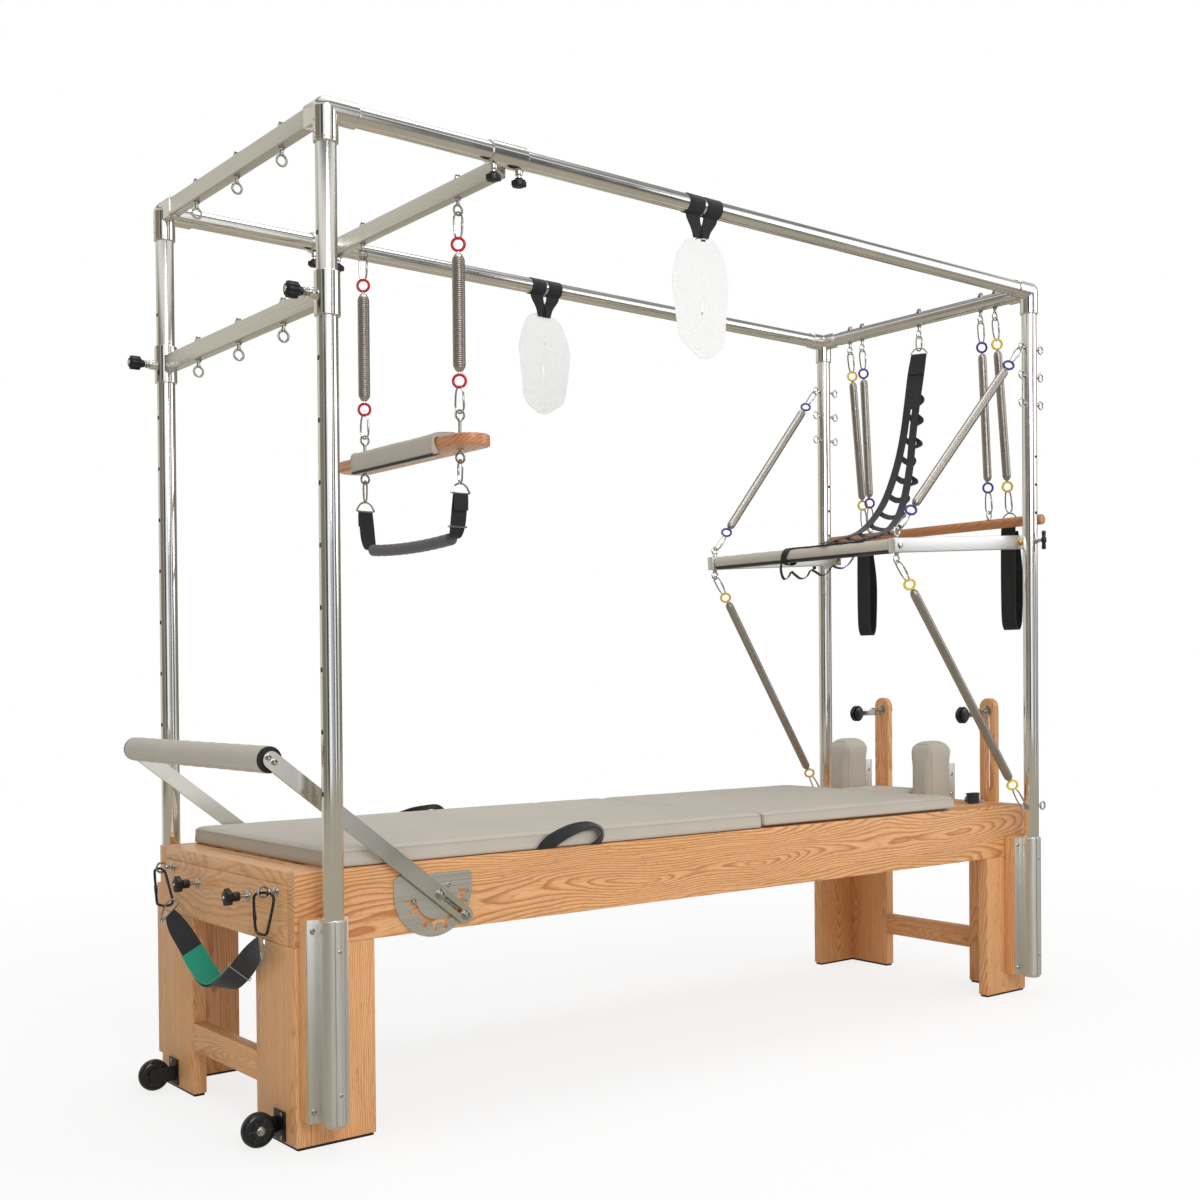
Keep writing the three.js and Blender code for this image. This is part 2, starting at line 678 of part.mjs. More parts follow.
// A straight bar in X and Z between two radii from the footbar's pivot, at one angle
function pivotBar(inner, outer, width, degrees) {
  const [x0, z0] = footPivot(inner, degrees);
  const [x1, z1] = footPivot(outer, degrees);
  const side = width / 2;
  const nx = -Math.sin(degrees * toRadians) * side;
  const nz = Math.cos(degrees * toRadians) * side;
  return new THREE.Shape([[x0 + nx, z0 + nz], [x0 - nx, z0 - nz], [x1 - nx, z1 - nz], [x1 + nx, z1 + nz]]
    .map(([x, z]) => new THREE.Vector2(x, z)));
}

for (const [name, sign] of sides) {
  const y0 = sign * tableY;
  const y1 = sign * (tableY + plateThick);
  const outline = new THREE.Shape();
  outline.moveTo(plateX - plateRadius, plateTop);
  outline.lineTo(plateX - plateRadius, footPivotZ + plateLift);
  outline.absarc(plateX, footPivotZ + plateLift, plateRadius, Math.PI, 2 * Math.PI, false);
  outline.lineTo(plateX + plateRadius, plateTop);
  const cutY = [sign * (tableY - overrun), sign * (tableY + plateThick + overrun)];
  const cutters = [plateXZ(arcSector(slotInner, slotOuter, slotStart, slotEnd), ...cutY)];
  for (const degrees of notchAngles) {
    cutters.push(plateXZ(pivotBar(slotInner + bury, notchReach, notchWidth, degrees), ...cutY));
  }
  const bolt = (y) => [footPivotX, sign * y, footPivotZ];
  addPiece(`footbar_plate_${name}`, join(
    cut(plateXZ(outline, y0, y1), cutters),
    rod(bolt(tableY + plateThick - bury), bolt(footArmY + footArmThick + bury), footBoltDia / 2),
    rod(bolt(footArmY + footArmThick + fit), bolt(footArmY + footArmThick + nutHeight), nutDia / 2,
      boltSides),
  ), steel);
}

function footbarFrame() {
  const rollAngle = lockAngle - 180;
  const [rollX, rollZ] = footPivot(armReachUp, rollAngle);
  const rodEnd = footArmY + bury;
  const pieces = [rod([rollX, -rodEnd, rollZ], [rollX, rodEnd, rollZ], footRodDia / 2)];
  const cutters = [];
  for (const [, sign] of sides) {
    const y = [sign * footArmY, sign * (footArmY + footArmThick)];
    const [inner, outer] = [-lockReach - footArmWidth / 2, armReachUp + footArmWidth / 2];
    pieces.push(plateXZ(pivotBar(inner, outer, footArmWidth, rollAngle), ...y));
    const [lockX, lockZ] = footPivot(lockReach, lockAngle);
    pieces.push(rod([lockX, sign * (tableY + plateThick + turnGap), lockZ],
      [lockX, sign * (footArmY + footArmThick + nutHeight), lockZ], nutDia / 2));
    cutters.push(rod([footPivotX, sign * (footArmY - overrun), footPivotZ],
      [footPivotX, sign * (footArmY + footArmThick + overrun), footPivotZ],
      footBoltDia / 2 + turnGap, tubeSides));
  }
  return cut(join(pieces), cutters);
}
addPiece('footbar_frame', footbarFrame(), steel);

const [rollX, rollZ] = footPivot(armReachUp, lockAngle - 180);
const rollEnd = footArmY - rollSide;
addPiece('footbar_roll', tube([rollX, -rollEnd, rollZ], [rollX, rollEnd, rollZ],
  rollDia / 2, footRodDia / 2 + fit), vinyl);

// Mat in the foot half of the table, with a webbing handle on each side, and the carriage pad behind it
const carriageSetback = 260; // carriage pad's end to the head posts' axes
const carriageLength = 766;
const matGap = 3.5;
const carriagePadEnd = headX - carriageSetback;
const carriageX0 = carriagePadEnd - carriageLength;
const matEnd = carriageX0 - matGap;
const padHeight = 41;
const padOverlap = 5; // mat edge to the table's outer face
const padCrown = 4;
const padDrawn = 4;
const padRound = 4;
const padForm = { crown: padCrown, drawn: padDrawn, round: padRound, cells: [6, 4, 2] };
const handleX = 630;
const handleHalf = 88;
const handleBow = 10;
const handleHeight = 30;
const webThick = 3;
const padY = tableY - padOverlap;
const padTop = tableTop + padHeight;

function matInsert() {
  const pieces = [cushion([footLedgeX + bury, matEnd], [-padY, padY], [tableTop + fit, padTop], padForm)];
  const bowShares = [[-1, -0.8], [-0.85, 0.3], [-0.5, 0.9], [0, 1], [0.5, 0.9], [0.85, 0.3], [1, -0.8]];
  const z = tableTop + padHeight / 2 + bury;
  for (const [, sign] of sides) {
    const path = bowShares.map(([u, v]) => (
      [handleX + u * handleHalf, sign * (padY + v * handleBow), z, handleHeight / 2]));
    pieces.push(strap(path, [0, 0, 1], webThick));
  }
  return join(pieces);
}
addPiece('mat_insert', matInsert(), vinyl);

// Carriage: a board on four roller blocks, its pad, a headrest and two shoulder rests
const headrestGap = 3;
const headrestLength = 167;
const headrestHalf = 112;
const carriageBoardThick = 18;
const carriageLift = 4.5; // carriage board over the table top
const rollerBlockLength = 90;
const rollerBlockWidth = 26;
const restSetback = 52; // pad's end to the shoulder rests
const restLength = 105;
const restInnerY = 123;
const restWidth = 80;
const restHeight = 190.5;
const restBracketDepth = 28;
const restBracketWidth = 50;
const restBracketHeight = 116.5;
const restBracketWall = 4;
const restDrawn = 3;
const restCrown = 8;
const restRound = 9;
const carriageTop = tableTop + carriageLift;
const headrestX = carriagePadEnd + headrestGap;
const headrestEnd = headrestX + headrestLength;
const restX = carriagePadEnd + restSetback;
const restTop = carriageTop + restHeight;
const restBracketTop = carriageTop + restBracketHeight;
const carriageX1 = restX + restLength + restBracketDepth + bury;
const carriageWell = innerY - turnGap * 2;
const carriageTailHalf = 300; // half width of the board behind the pad

addPiece('carriage_frame', join(
  box([carriageX0, carriagePadEnd], [-carriageWell, carriageWell],
    [carriageTop - carriageBoardThick, carriageTop]),
  box([carriagePadEnd - bury, carriageX1], [-carriageTailHalf, carriageTailHalf],
    [carriageTop - carriageBoardThick, carriageTop]),
  sides.flatMap(([, sign]) => [carriageX0 + rollerBlockLength, carriagePadEnd].map((x) => (
    sideBox(sign, [x - rollerBlockLength, x], [carriageWell - rollerBlockWidth, carriageWell],
      [ledgeTop + fit, carriageTop - carriageBoardThick + bury])))),
), oak);
addPiece('carriage_pad', cushion([carriageX0, carriagePadEnd], [-padY, padY],
  [carriageTop + fit, padTop], padForm), vinyl);
addPiece('headrest', cushion([headrestX, headrestEnd], [-headrestHalf, headrestHalf],
  [carriageTop + fit, padTop], { ...padForm, cells: [4, 4, 2] }), vinyl);

for (const [name, sign] of sides) {
  const y = [restInnerY, restInnerY + restWidth];
  const middle = (y[0] + y[1]) / 2;
  const backX = restX + restLength;
  const plateY = [middle - restBracketWidth / 2, middle + restBracketWidth / 2];
  const plateZ = [carriageTop + fit, restBracketTop];
  const channel = cut(
    sideBox(sign, [backX - restDrawn - bury, backX + restBracketDepth], plateY, plateZ),
    sideBox(sign, [backX, backX + restBracketDepth + overrun],
      [plateY[0] + restBracketWall, plateY[1] - restBracketWall],
      [plateZ[0] - overrun, plateZ[1] + overrun]),
  );
  const form = { crown: restCrown, drawn: restDrawn, round: restRound, cells: [3, 3, 4] };
  const block = cushion([restX, backX], [sign * middle - restWidth / 2, sign * middle + restWidth / 2],
    [carriageTop + fit, restTop], form);
  addPiece(`shoulder_rest_${name}`, join(block, channel), vinyl);
}

// Slotted posts behind the head end board, each with a pulley on a clamped fork
const pulleyPostInset = 134; // in from the table's side
const pulleyPostWidth = 56;
const pulleyPostThick = 22;
const pulleyPostCap = 39; // bolt to the post's top
const pulleyPostDrop = 125; // table top down to the post's foot
const pulleySlotWidth = 11;
const pulleySlotLift = 45; // table top to the slot's lower end
const pulleyReach = 118; // table end to the pulley's axle
const pulleyRise = 265; // table top to the pulley's axle
const pulleyDrop = 10; // bolt to the pulley's axle
const pulleyPostY = tableY - pulleyPostInset;
const pulleyPostFoot = tableTop - pulleyPostDrop;
const pulleySlotLow = tableTop + pulleySlotLift;
const pulleyX = tableX1 - pulleyReach;
const pulleyHeight = tableTop + pulleyRise;
const pulleyBoltHeight = pulleyHeight + pulleyDrop;
const pulleyPostTop = pulleyBoltHeight + pulleyPostCap;
const pulleyDia = 50;
const pulleyWidth = 12;
const pulleyGroove = 5;
const forkWall = 3;
const forkHeight = 14;
const pulleyKnobDia = 22;
const pulleyKnobLength = 22;
const pulleyWasherDia = 32;

for (const [name, sign] of sides) {
  const y = sign * pulleyPostY;
  const radius = pulleyPostWidth / 2;
  const outline = new THREE.Shape();
  outline.moveTo(-radius, pulleyPostFoot);
  outline.lineTo(radius, pulleyPostFoot);
  outline.absarc(0, pulleyPostTop - radius, radius, 0, Math.PI, false);
  const slotHalf = pulleySlotWidth / 2;
  const slot = new THREE.Path();
  slot.absarc(0, pulleyBoltHeight, slotHalf, 0, Math.PI, false);
  slot.absarc(0, pulleySlotLow, slotHalf, Math.PI, 2 * Math.PI, false);
  outline.holes.push(slot);
  const geometry = new THREE.ExtrudeGeometry(outline,
    { depth: pulleyPostThick, bevelEnabled: false, curveSegments: arcSegments });
  geometry.rotateX(Math.PI / 2);
  geometry.rotateZ(Math.PI / 2);
  geometry.translate(tableX1, y, 0);
  const board = solid(geometry);
  const at = (x, z = pulleyBoltHeight) => [x, y, z];
  const cheekY = pulleyWidth / 2 + turnGap;
  const forkX = [pulleyX - forkHeight / 2, tableX1 - pulleyWasherDia];
  const pieces = [
    board,
    rod(at(forkX[1] - bury), at(tableX1 + pulleyPostThick + bury), slotHalf + fit, tubeSides),
    rod(at(tableX1 - nutHeight), at(tableX1 + fit), pulleyWasherDia / 2),
    rod(at(tableX1 + pulleyPostThick - fit), at(tableX1 + pulleyPostThick + pulleyKnobLength),
      pulleyKnobDia / 2),
    box([forkX[1] - bury - forkWall, forkX[1]], [y - cheekY - forkWall, y + cheekY + forkWall],
      [pulleyHeight - forkHeight / 2, pulleyBoltHeight + forkHeight / 2]),
    rod([pulleyX, y - cheekY - forkWall, pulleyHeight], [pulleyX, y + cheekY + forkWall, pulleyHeight],
      axleDia / 2),
  ];
  for (const side of [-1, 1]) {
    pieces.push(box(forkX, [y + side * cheekY, y + side * (cheekY + forkWall)],
      [pulleyHeight - forkHeight / 2, pulleyHeight + forkHeight / 2]));
  }
  addPiece(`pulley_post_${name}`, join(pieces), oak);
  const half = pulleyWidth / 2;
  const rim = pulleyDia / 2;
  const profile = [[wheelBore / 2, -half], [rim, -half], [rim - pulleyGroove, 0], [rim, half],
    [wheelBore / 2, half], [wheelBore / 2, -half]];
  const wheel = new THREE.LatheGeometry(profile.map(([r, h]) => new THREE.Vector2(r, h)), tubeSides);
  wheel.translate(pulleyX, y, pulleyHeight);
  addPiece(`pulley_${name}`, solid(wheel), blackPlastic);
}

// Push-through bar: two arms on the head posts' pivots, a cross rod and its pad
const barReach = 540; // pivots to the cross rod, along X
const barDrop = 36;
const barX = headX - barReach;
const barZ = pivotHeight - barDrop;
const armTail = 20; // arm past the pivot and past the cross rod
const barRodDia = 24;
const barPadDia = 38;
const barPadGap = 3.5; // pad end to arm
const barEyeReach = 18;
const armY = armInnerY + armWidth / 2;
const armSlope = Math.atan2(pivotHeight - barZ, headX - barX);
const armLength = Math.hypot(pivotHeight - barZ, headX - barX);

function pushBarFrame() {
  const pieces = [rod([barX, -armY, barZ], [barX, armY, barZ], barRodDia / 2)];
  const cutters = [];
  for (const [, sign] of sides) {
    const arm = new THREE.BoxGeometry(armLength + armTail * 2, armWidth, armDepth);
    arm.rotateY(-armSlope);
    arm.translate((barX + headX) / 2, sign * armY, (barZ + pivotHeight) / 2);
    pieces.push(solid(arm));
    for (const way of [-1, 1]) {
      pieces.push(eyeBolt([barX, sign * armY, barZ + way * (armDepth / 2)], [0, 0, way], barEyeReach));
    }
    cutters.push(rod([headX, sign * (armInnerY - overrun), pivotHeight],
      [headX, sign * (armInnerY + armWidth + overrun), pivotHeight], pivotPinDia / 2 + turnGap, tubeSides));
  }
  return cut(join(pieces), cutters);
}
addPiece('push_bar_frame', pushBarFrame(), aluminium);
addPiece('push_bar_pad', tube([barX, barPadGap - armInnerY, barZ], [barX, armInnerY - barPadGap, barZ],
  barPadDia / 2, barRodDia / 2 + fit), vinyl);

// Trapeze: a round-ended board with a pad over its middle, hung from the sliding crossbar
const trapezeY = beamEyeY;
const trapezeDrop = 575; // rail axis to the board's top
const trapezeBoardTop = topRailHeight - trapezeDrop;
const trapezeBoardThick = 26;
const trapezeBoardWidth = 90;
const trapezeHalf = 300;
const trapezeEyeReach = 50;
const trapezePadHalf = 185;
const trapezePadThick = 14;
const trapezePadDrop = 16;
const underEyeReach = 20;

function trapezeBar() {
  const radius = trapezeBoardWidth / 2;
  const z = [trapezeBoardTop - trapezeBoardThick, trapezeBoardTop];
  const flatHalf = trapezeHalf - radius;
  const pieces = [box([slidingX - radius, slidingX + radius], [-flatHalf, flatHalf], z)];
  for (const [, sign] of sides) {
    const y = sign * flatHalf;
    pieces.push(rod([slidingX, y, z[0]], [slidingX, y, z[1]], radius, tubeSides));
    pieces.push(eyeBolt([slidingX, sign * trapezeY, z[1]], [0, 0, 1], trapezeEyeReach));
    pieces.push(eyeBolt([slidingX, sign * trapezeY, z[0]], [0, 0, -1], underEyeReach));
  }
  return join(pieces);
}
addPiece('trapeze_bar', trapezeBar(), boardWood);

function trapezePad() {
  const radius = trapezeBoardWidth / 2 + fit;
  const [low, high] = [trapezeBoardTop - trapezeBoardThick - fit, trapezeBoardTop + fit];
  const outer = new THREE.Shape();
  outer.moveTo(slidingX + radius, high);
  outer.lineTo(slidingX + radius, high + trapezePadThick / 2);
  outer.quadraticCurveTo(slidingX, high + trapezePadThick * 2,
    slidingX - radius, high + trapezePadThick / 2);
  outer.lineTo(slidingX - radius - trapezePadThick, (low + high) / 2);
  outer.lineTo(slidingX - radius - trapezePadThick / 2, low - trapezePadDrop);
  outer.lineTo(slidingX - radius / 2, low - trapezePadDrop);
  outer.lineTo(slidingX - radius / 2, low);
  outer.lineTo(slidingX - radius, low);
  outer.lineTo(slidingX - radius, high);
  return plateXZ(outer, -trapezePadHalf, trapezePadHalf, arcSegments / 2);
}
addPiece('trapeze_pad', trapezePad(), vinyl);

// Springs, each with a hook, a coloured ring and a neck at both ends
const springRingDia = 30;
const springRingWire = 5;
const springNeck = 8;
const springNeckDia = 4;
const springCap = 14;
const springCapShare = 0.42; // cap radius as a share of the body's width
const springWire = 7;
const stepsPerCurl = 8;
const curlSides = 5;
let leastGap = Infinity;

// One unbroken wire wound round a line: straight in, curls at full width, straight out
function coil(from, along, length, outer, curls) {
  const turn = new THREE.Quaternion().setFromUnitVectors(new THREE.Vector3(0, 0, 1), along);
  const steps = curls * stepsPerCurl;
  const mean = (outer - springWire) / 2;
  const wound = length - springWire * 2;
  const line = [];
  for (let i = 0; i <= steps; i++) {
    const ramp = Math.min(1, i / (stepsPerCurl / 2), (steps - i) / (stepsPerCurl / 2));
    const angle = (i / stepsPerCurl) * 2 * Math.PI;
    line.push({ angle, radius: mean * ramp, height: springWire + wound * (i / steps) });
  }
  line.unshift({ angle: 0, radius: 0, height: 0 });
  line.push({ angle: line[line.length - 1].angle, radius: 0, height: length });
  const spots = line.map(({ angle, radius, height }) => (
    new THREE.Vector3(radius * Math.cos(angle), radius * Math.sin(angle), height)));
  for (let i = 0; i < spots.length; i++) {
    for (let j = i + stepsPerCurl / 2; j < spots.length; j++) {
      leastGap = Math.min(leastGap, spots[i].distanceTo(spots[j]) - springWire);
    }
  }
  const rings = spots.map((spot, i) => {
    const [before, after] = [spots[Math.max(i - 1, 0)], spots[Math.min(i + 1, spots.length - 1)]];
    const ahead = after.clone().sub(before).normalize();
    if (i === 0 || i === spots.length - 1) ahead.set(0, 0, 1);
    const out = new THREE.Vector3(Math.cos(line[i].angle), Math.sin(line[i].angle), 0);
    out.addScaledVector(ahead, -out.dot(ahead)).normalize();
    const side = ahead.clone().cross(out);
    return Array.from({ length: curlSides }, (_, k) => {
      const angle = (k / curlSides) * 2 * Math.PI;
      return spot.clone().addScaledVector(out, Math.cos(angle) * springWire / 2)
        .addScaledVector(side, Math.sin(angle) * springWire / 2)
        .applyQuaternion(turn).add(from).toArray();
    });
  });
  return loft(rings);
}

// A spring from one eye's middle to another's; its hooks lie against the eyes' inner sides
function spring(fromEye, toEye, hook, outer, curls) {
  const a = new THREE.Vector3(...fromEye);
  const b = new THREE.Vector3(...toEye);
  const along = b.clone().sub(a).normalize();
  a.addScaledVector(along, hookSag);
  b.addScaledVector(along, -hookSag);
  const bodyStart = hook + springRingDia + springNeck;
  const body = a.distanceTo(b) - bodyStart * 2;
  const pieces = [];
  for (const [start, way] of [[a, along], [b, along.clone().negate()]]) {
    const step = (distance) => start.clone().addScaledVector(way, distance).toArray();
    pieces.push(link(step(0), step(hook + springRingWire / 2), hookWidth, hookWire));
    pieces.push(eyeRing(step(hook + springRingDia / 2), (springRingDia - springRingWire) / 2,
      springRingWire));
    pieces.push(rod(step(hook + springRingDia - springRingWire / 2), step(bodyStart + springCap),
      springNeckDia / 2, boltSides, outer * springCapShare));
  }
  const start = a.clone().addScaledVector(along, bodyStart + springCap - springWire);
  pieces.push(coil(start, along, body - (springCap - springWire) * 2, outer, curls));
  return join(pieces);
}

const trapezeHook = 56; // length of a snap hook
const slimHook = 62;
const trapezeCoilDia = 30;
const slimCoilDia = 26;
const coilCurls = 3;
const longCoilCurls = 4;
const addSlimSpring = (name, from, to, curls) => (
  addPiece(name, spring(from, to, slimHook, slimCoilDia, curls), springSteel));

const slidingEyeHeight = topRailHeight - slidingDrop - beamDepth / 2 - beamEyeReach;
const trapezeEyeHeight = trapezeBoardTop + trapezeEyeReach;
for (const [name, sign] of sides) {
  const y = sign * trapezeY;
  addPiece(`trapeze_spring_${name}`, spring([slidingX, y, slidingEyeHeight], [slidingX, y, trapezeEyeHeight],
    trapezeHook, trapezeCoilDia, coilCurls), springSteel);
  const postEye = headX - innerEyeReach - bury;
  const eyeLift = armDepth / 2 + barEyeReach;
  addSlimSpring(`push_spring_upper_${name}`, [postEye, sign * postY, postEyeTop],
    [barX, sign * armY, barZ + eyeLift], coilCurls);
  addSlimSpring(`push_spring_lower_${name}`, [barX, sign * armY, barZ - eyeLift],
    [postEye, sign * postY, lowEyeHeight], longCoilCurls);
}

// Roll-down dowel on two springs, leaning on the outer side of the head posts
const dowelDia = 30;
const dowelOverhang = 18; // past the post axes
const dowelDrop = 661; // rail axis to the dowel's axis
const dowelHalf = postY + dowelOverhang;
const dowelHeight = topRailHeight - dowelDrop;
const dowelEyeReach = 14;
const dowelLean = 0.5; // dowel to post
const dowelX = headX + tubeRadius + dowelDia / 2 + dowelLean;
const dowelEyeZ = dowelHeight + dowelDia / 2 + dowelEyeReach;

addPiece('rolldown_bar', join(
  rod([dowelX, -dowelHalf, dowelHeight], [dowelX, dowelHalf, dowelHeight], dowelDia / 2, tubeSides),
  sides.map(([, sign]) => eyeBolt([dowelX, sign * rollDownSpringY, dowelHeight + dowelDia / 2],
    [0, 0, 1], dowelEyeReach)),
), dowelWood);
for (const [name, sign] of sides) {
  const y = sign * rollDownSpringY;
  addSlimSpring(`rolldown_spring_${name}`, [headX, y, headEyeHeight], [dowelX, y, dowelEyeZ], coilCurls);
}

// Foot loops of webbing, each on its own spring and ring, hanging outside the dowel
const loopGap = 4; // dowel to loop
const loopDrop = 657; // rail axis to the loop's top
const loopTop = topRailHeight - loopDrop;
const loopHeight = 323;
const loopDepth = 40;
const loopWebWidth = 50;
const loopRingRadius = 15;
const loopInnerX = dowelX + dowelDia / 2 + loopGap;
const loopShares = [[0.25, 0], [0.05, 0.1], [0, 0.45], [0.05, 0.85], [0.22, 0.97], [0.5, 1],
  [0.78, 0.97], [0.95, 0.85], [1, 0.45], [0.8, 0.1]];
const loopRingX = loopInnerX + loopShares[0][0] * loopDepth;

for (const [name, sign] of sides) {
  const y = sign * loopSpringY;
  const ringZ = loopTop + loopRingRadius;
  const ring = new THREE.TorusGeometry(loopRingRadius, hookWire / 2, ringSides, ringSegments);
  ring.rotateY(Math.PI / 2);
  ring.translate(loopRingX, y, ringZ);
  const path = loopShares.map(([u, v]) => (
    [loopInnerX + u * loopDepth, y, loopTop - v * loopHeight, loopWebWidth / 2]));
  addPiece(`loop_spring_${name}`, join(
    spring([headX, y, headEyeHeight], [loopRingX, y, ringZ + loopRingRadius - hookSag],
      slimHook, slimCoilDia, coilCurls),
    solid(ring),
    strap(path, [0, 1, 0], webThick, true),
  ), webbing);
}

// Sling under the trapeze: hooks, rings, two webbing drops and a padded grip
const slingRingRadius = 17;
const slingRingDrop = 99; // board's top to the rings' tops
const slingDrop = 224; // board's top to the grip's axis
const slingRingTop = trapezeBoardTop - slingRingDrop;
const slingBottom = trapezeBoardTop - slingDrop;
const slingGripDia = 28;
const slingGripHalf = 182;
const slingWebWidth = 40;
const slingInset = 12;
const underEyeZ = trapezeBoardTop - trapezeBoardThick - underEyeReach;

function trapezeSling() {
  const pieces = [rod([slidingX, -slingGripHalf, slingBottom], [slidingX, slingGripHalf, slingBottom],
    slingGripDia / 2)];
  for (const [, sign] of sides) {
    const y = sign * trapezeY;
    const ringZ = slingRingTop - slingRingRadius;
    const low = sign * (trapezeY - slingInset);
    pieces.push(link([slidingX, y, underEyeZ - hookSag], [slidingX, y, slingRingTop], hookWidth, hookWire));
    pieces.push(eyeRing([slidingX, y, ringZ], slingRingRadius, hookWire));
    pieces.push(strap([
      [slidingX, y, ringZ - slingRingRadius + hookWire, slingWebWidth / 2],
      [slidingX, low, slingBottom + slingGripDia, slingWebWidth / 2],
      [slidingX, low - sign * slingInset, slingBottom, slingWebWidth / 2],
      [slidingX, sign * (slingGripHalf - slingInset), slingBottom, slingGripDia / 2],
    ], [1, 0, 0], webThick));
  }
  return join(pieces);
}
addPiece('trapeze_sling', trapezeSling(), webbing);

// Fleece loops on webbing wrapped round the top rails
const fleeceRightX = 992;
const fleeceLeftX = 1122;
const fleeceXs = { right: fleeceRightX, left: fleeceLeftX };
const fleeceWidth = 176;
const fleeceHeight = 285;
const fleeceRoll = 33; // radius of the fleece tube
const fleeceFlatShare = 0.8;
const fleeceDrop = 71; // rail axis to the fleece's top
const fleeceTop = topRailHeight - fleeceDrop;
const fleeceSides = 8;
const fleeceSteps = 14;
const fleeceFoldShare = 0.09;
const railStrapWidth = 46;
const railStrapSpread = 28;
const railStrapThick = 3;
const railStrapGap = 1; // tube to webbing
const joinHalf = 14;

function fleeceLoop(x, y) {
  const ringRadius = fleeceWidth / 2 - fleeceRoll;
  const stretch = (fleeceHeight - fleeceWidth) / 2;
  const middle = fleeceTop - fleeceHeight / 2;
  const rings = Array.from({ length: fleeceSteps }, (_, i) => {
    const u = (i / fleeceSteps) * 2 * Math.PI;
    const roll = fleeceRoll * (1 + fleeceFoldShare * Math.sin(3 * u));
    return Array.from({ length: fleeceSides }, (__, j) => {
      const v = (j / fleeceSides) * 2 * Math.PI;
      const reach = ringRadius + roll * Math.cos(v);
      const lift = Math.max(-1, Math.min(1, 2 * Math.sin(u))) * stretch;
      return [x + reach * Math.cos(u), y + roll * fleeceFlatShare * Math.sin(v),
        middle + reach * Math.sin(u) + lift];
    });
  });
  const bore = tubeRadius + railStrapGap;
  const pieces = [loft(rings, true)];
  for (const side of [-1, 1]) {
    const strapX = x + side * railStrapSpread;
    const half = railStrapWidth / 2;
    pieces.push(tube([strapX - half, y, topRailHeight], [strapX + half, y, topRailHeight],
      bore + railStrapThick, bore));
    pieces.push(strap([
      [strapX, y, topRailHeight - bore - railStrapThick / 2, railStrapWidth / 2],
      [x + side * joinHalf / 2, y, fleeceTop - fleeceRoll / 2, joinHalf],
    ], [1, 0, 0], railStrapThick * 2));
  }
  return join(pieces);
}
for (const [name, sign] of sides) {
  addPiece(`fleece_loop_${name}`, fleeceLoop(fleeceXs[name], sign * postY), fleece);
}

// Ladder strap from the head beam's middle eye down over the push-through bar's pad.
// Each row of shares is how far it has come towards the bar, aside and down, and its half width.
const ladderThick = 4;
const ladderHookWidth = 22;
const ladderHookDrop = 111; // rail axis to the strap's first ring
const ladderHookEnd = topRailHeight - ladderHookDrop;
const ladderAside = 100;
const ladderEnd = barZ + barPadDia / 2; // where it lies on the bar's pad
const ladderHalf = 62;
const ladderShares = [
  [0.002, 0, 0, 0.29], [0.032, 0, 0.101, 0.39], [0.074, 0.03, 0.259, 0.45], [0.12, 0.08, 0.418, 0.48],
  [0.19, 0.18, 0.576, 0.58], [0.296, 0.32, 0.734, 0.74], [0.423, 0.5, 0.842, 0.87],
  [0.573, 0.7, 0.918, 0.97], [0.737, 0.85, 0.956, 1], [0.871, 0.95, 0.978, 1], [0.938, 0.98, 0.989, 0.97],
  [0.981, 0.99, 1, 0.97], [0.998, 1, 1.025, 0.97], [1.002, 1, 1.079, 0.9], [0.991, 1.01, 1.136, 0.81],
];
const ladderReach = headX - barX + barPadDia / 2 + ladderThick * 2;
const ladderFall = ladderHookEnd - ladderEnd;
const ladderRoute = ladderShares.map(([u, v, w, half]) => (
  [headX - u * ladderReach, -v * ladderAside, ladderHookEnd - w * ladderFall, half * ladderHalf]));

function ladderStrap() {
  const [hookX, hookY, hookZ] = ladderRoute[0];
  const hook = link([headX, hookY, headEyeHeight - hookSag], [hookX, hookY, hookZ],
    ladderHookWidth, hookWire);
  return join(strap(ladderRoute, [0, 1, 0], ladderThick), hook);
}
addPiece('ladder_strap', ladderStrap(), webbing);

// Webbing strap hung from the foot end board's eyes on two snap links
const linkLength = 78;
const linkWidth = 36;
const linkWire = 6;
const strapRingRadius = 14;
const footStrapWidth = 48;
const footStrapShares = [[1, 0], [0.93, 0.14], [0.78, 0.42], [0.56, 0.74], [0.34, 0.93], [0.16, 1]];
const footStrapDrop = 140;

function footStrap() {
  const linkTop = strapEyeHeight - sagOf(linkWire);
  const linkEnd = linkTop - linkLength;
  const ringZ = linkEnd - strapRingRadius;
  const strapTop = ringZ - strapRingRadius + hookWire;
  const half = footStrapShares.map(([u, v]) => [u * strapEyeY, strapTop - v * footStrapDrop]);
  const path = [...half.map(([y, z]) => [-y, z]), ...half.reverse()];
  const pieces = [strap(path.map(([y, z]) => [strapEyeX, y, z, footStrapWidth / 2]), [1, 0, 0], webThick)];
  for (const [, sign] of sides) {
    pieces.push(link([strapEyeX, sign * strapEyeY, linkTop], [strapEyeX, sign * strapEyeY, linkEnd],
      linkWidth, linkWire));
    pieces.push(eyeRing([strapEyeX, sign * strapEyeY, ringZ], strapRingRadius, hookWire));
  }
  return join(pieces);
}
addPiece('foot_strap', footStrap(), webbing);

console.log(`Least gap of a spring's wire to itself: ${leastGap.toFixed(2)} mm`);

// The origin is on the floor under the middle of the object's box
model.updateMatrixWorld(true);
const bounds = new THREE.Box3().setFromObject(model);
const centre = bounds.getCenter(new THREE.Vector3());
model.position.set(-centre.x, -centre.y, -bounds.min.z);

export default model;
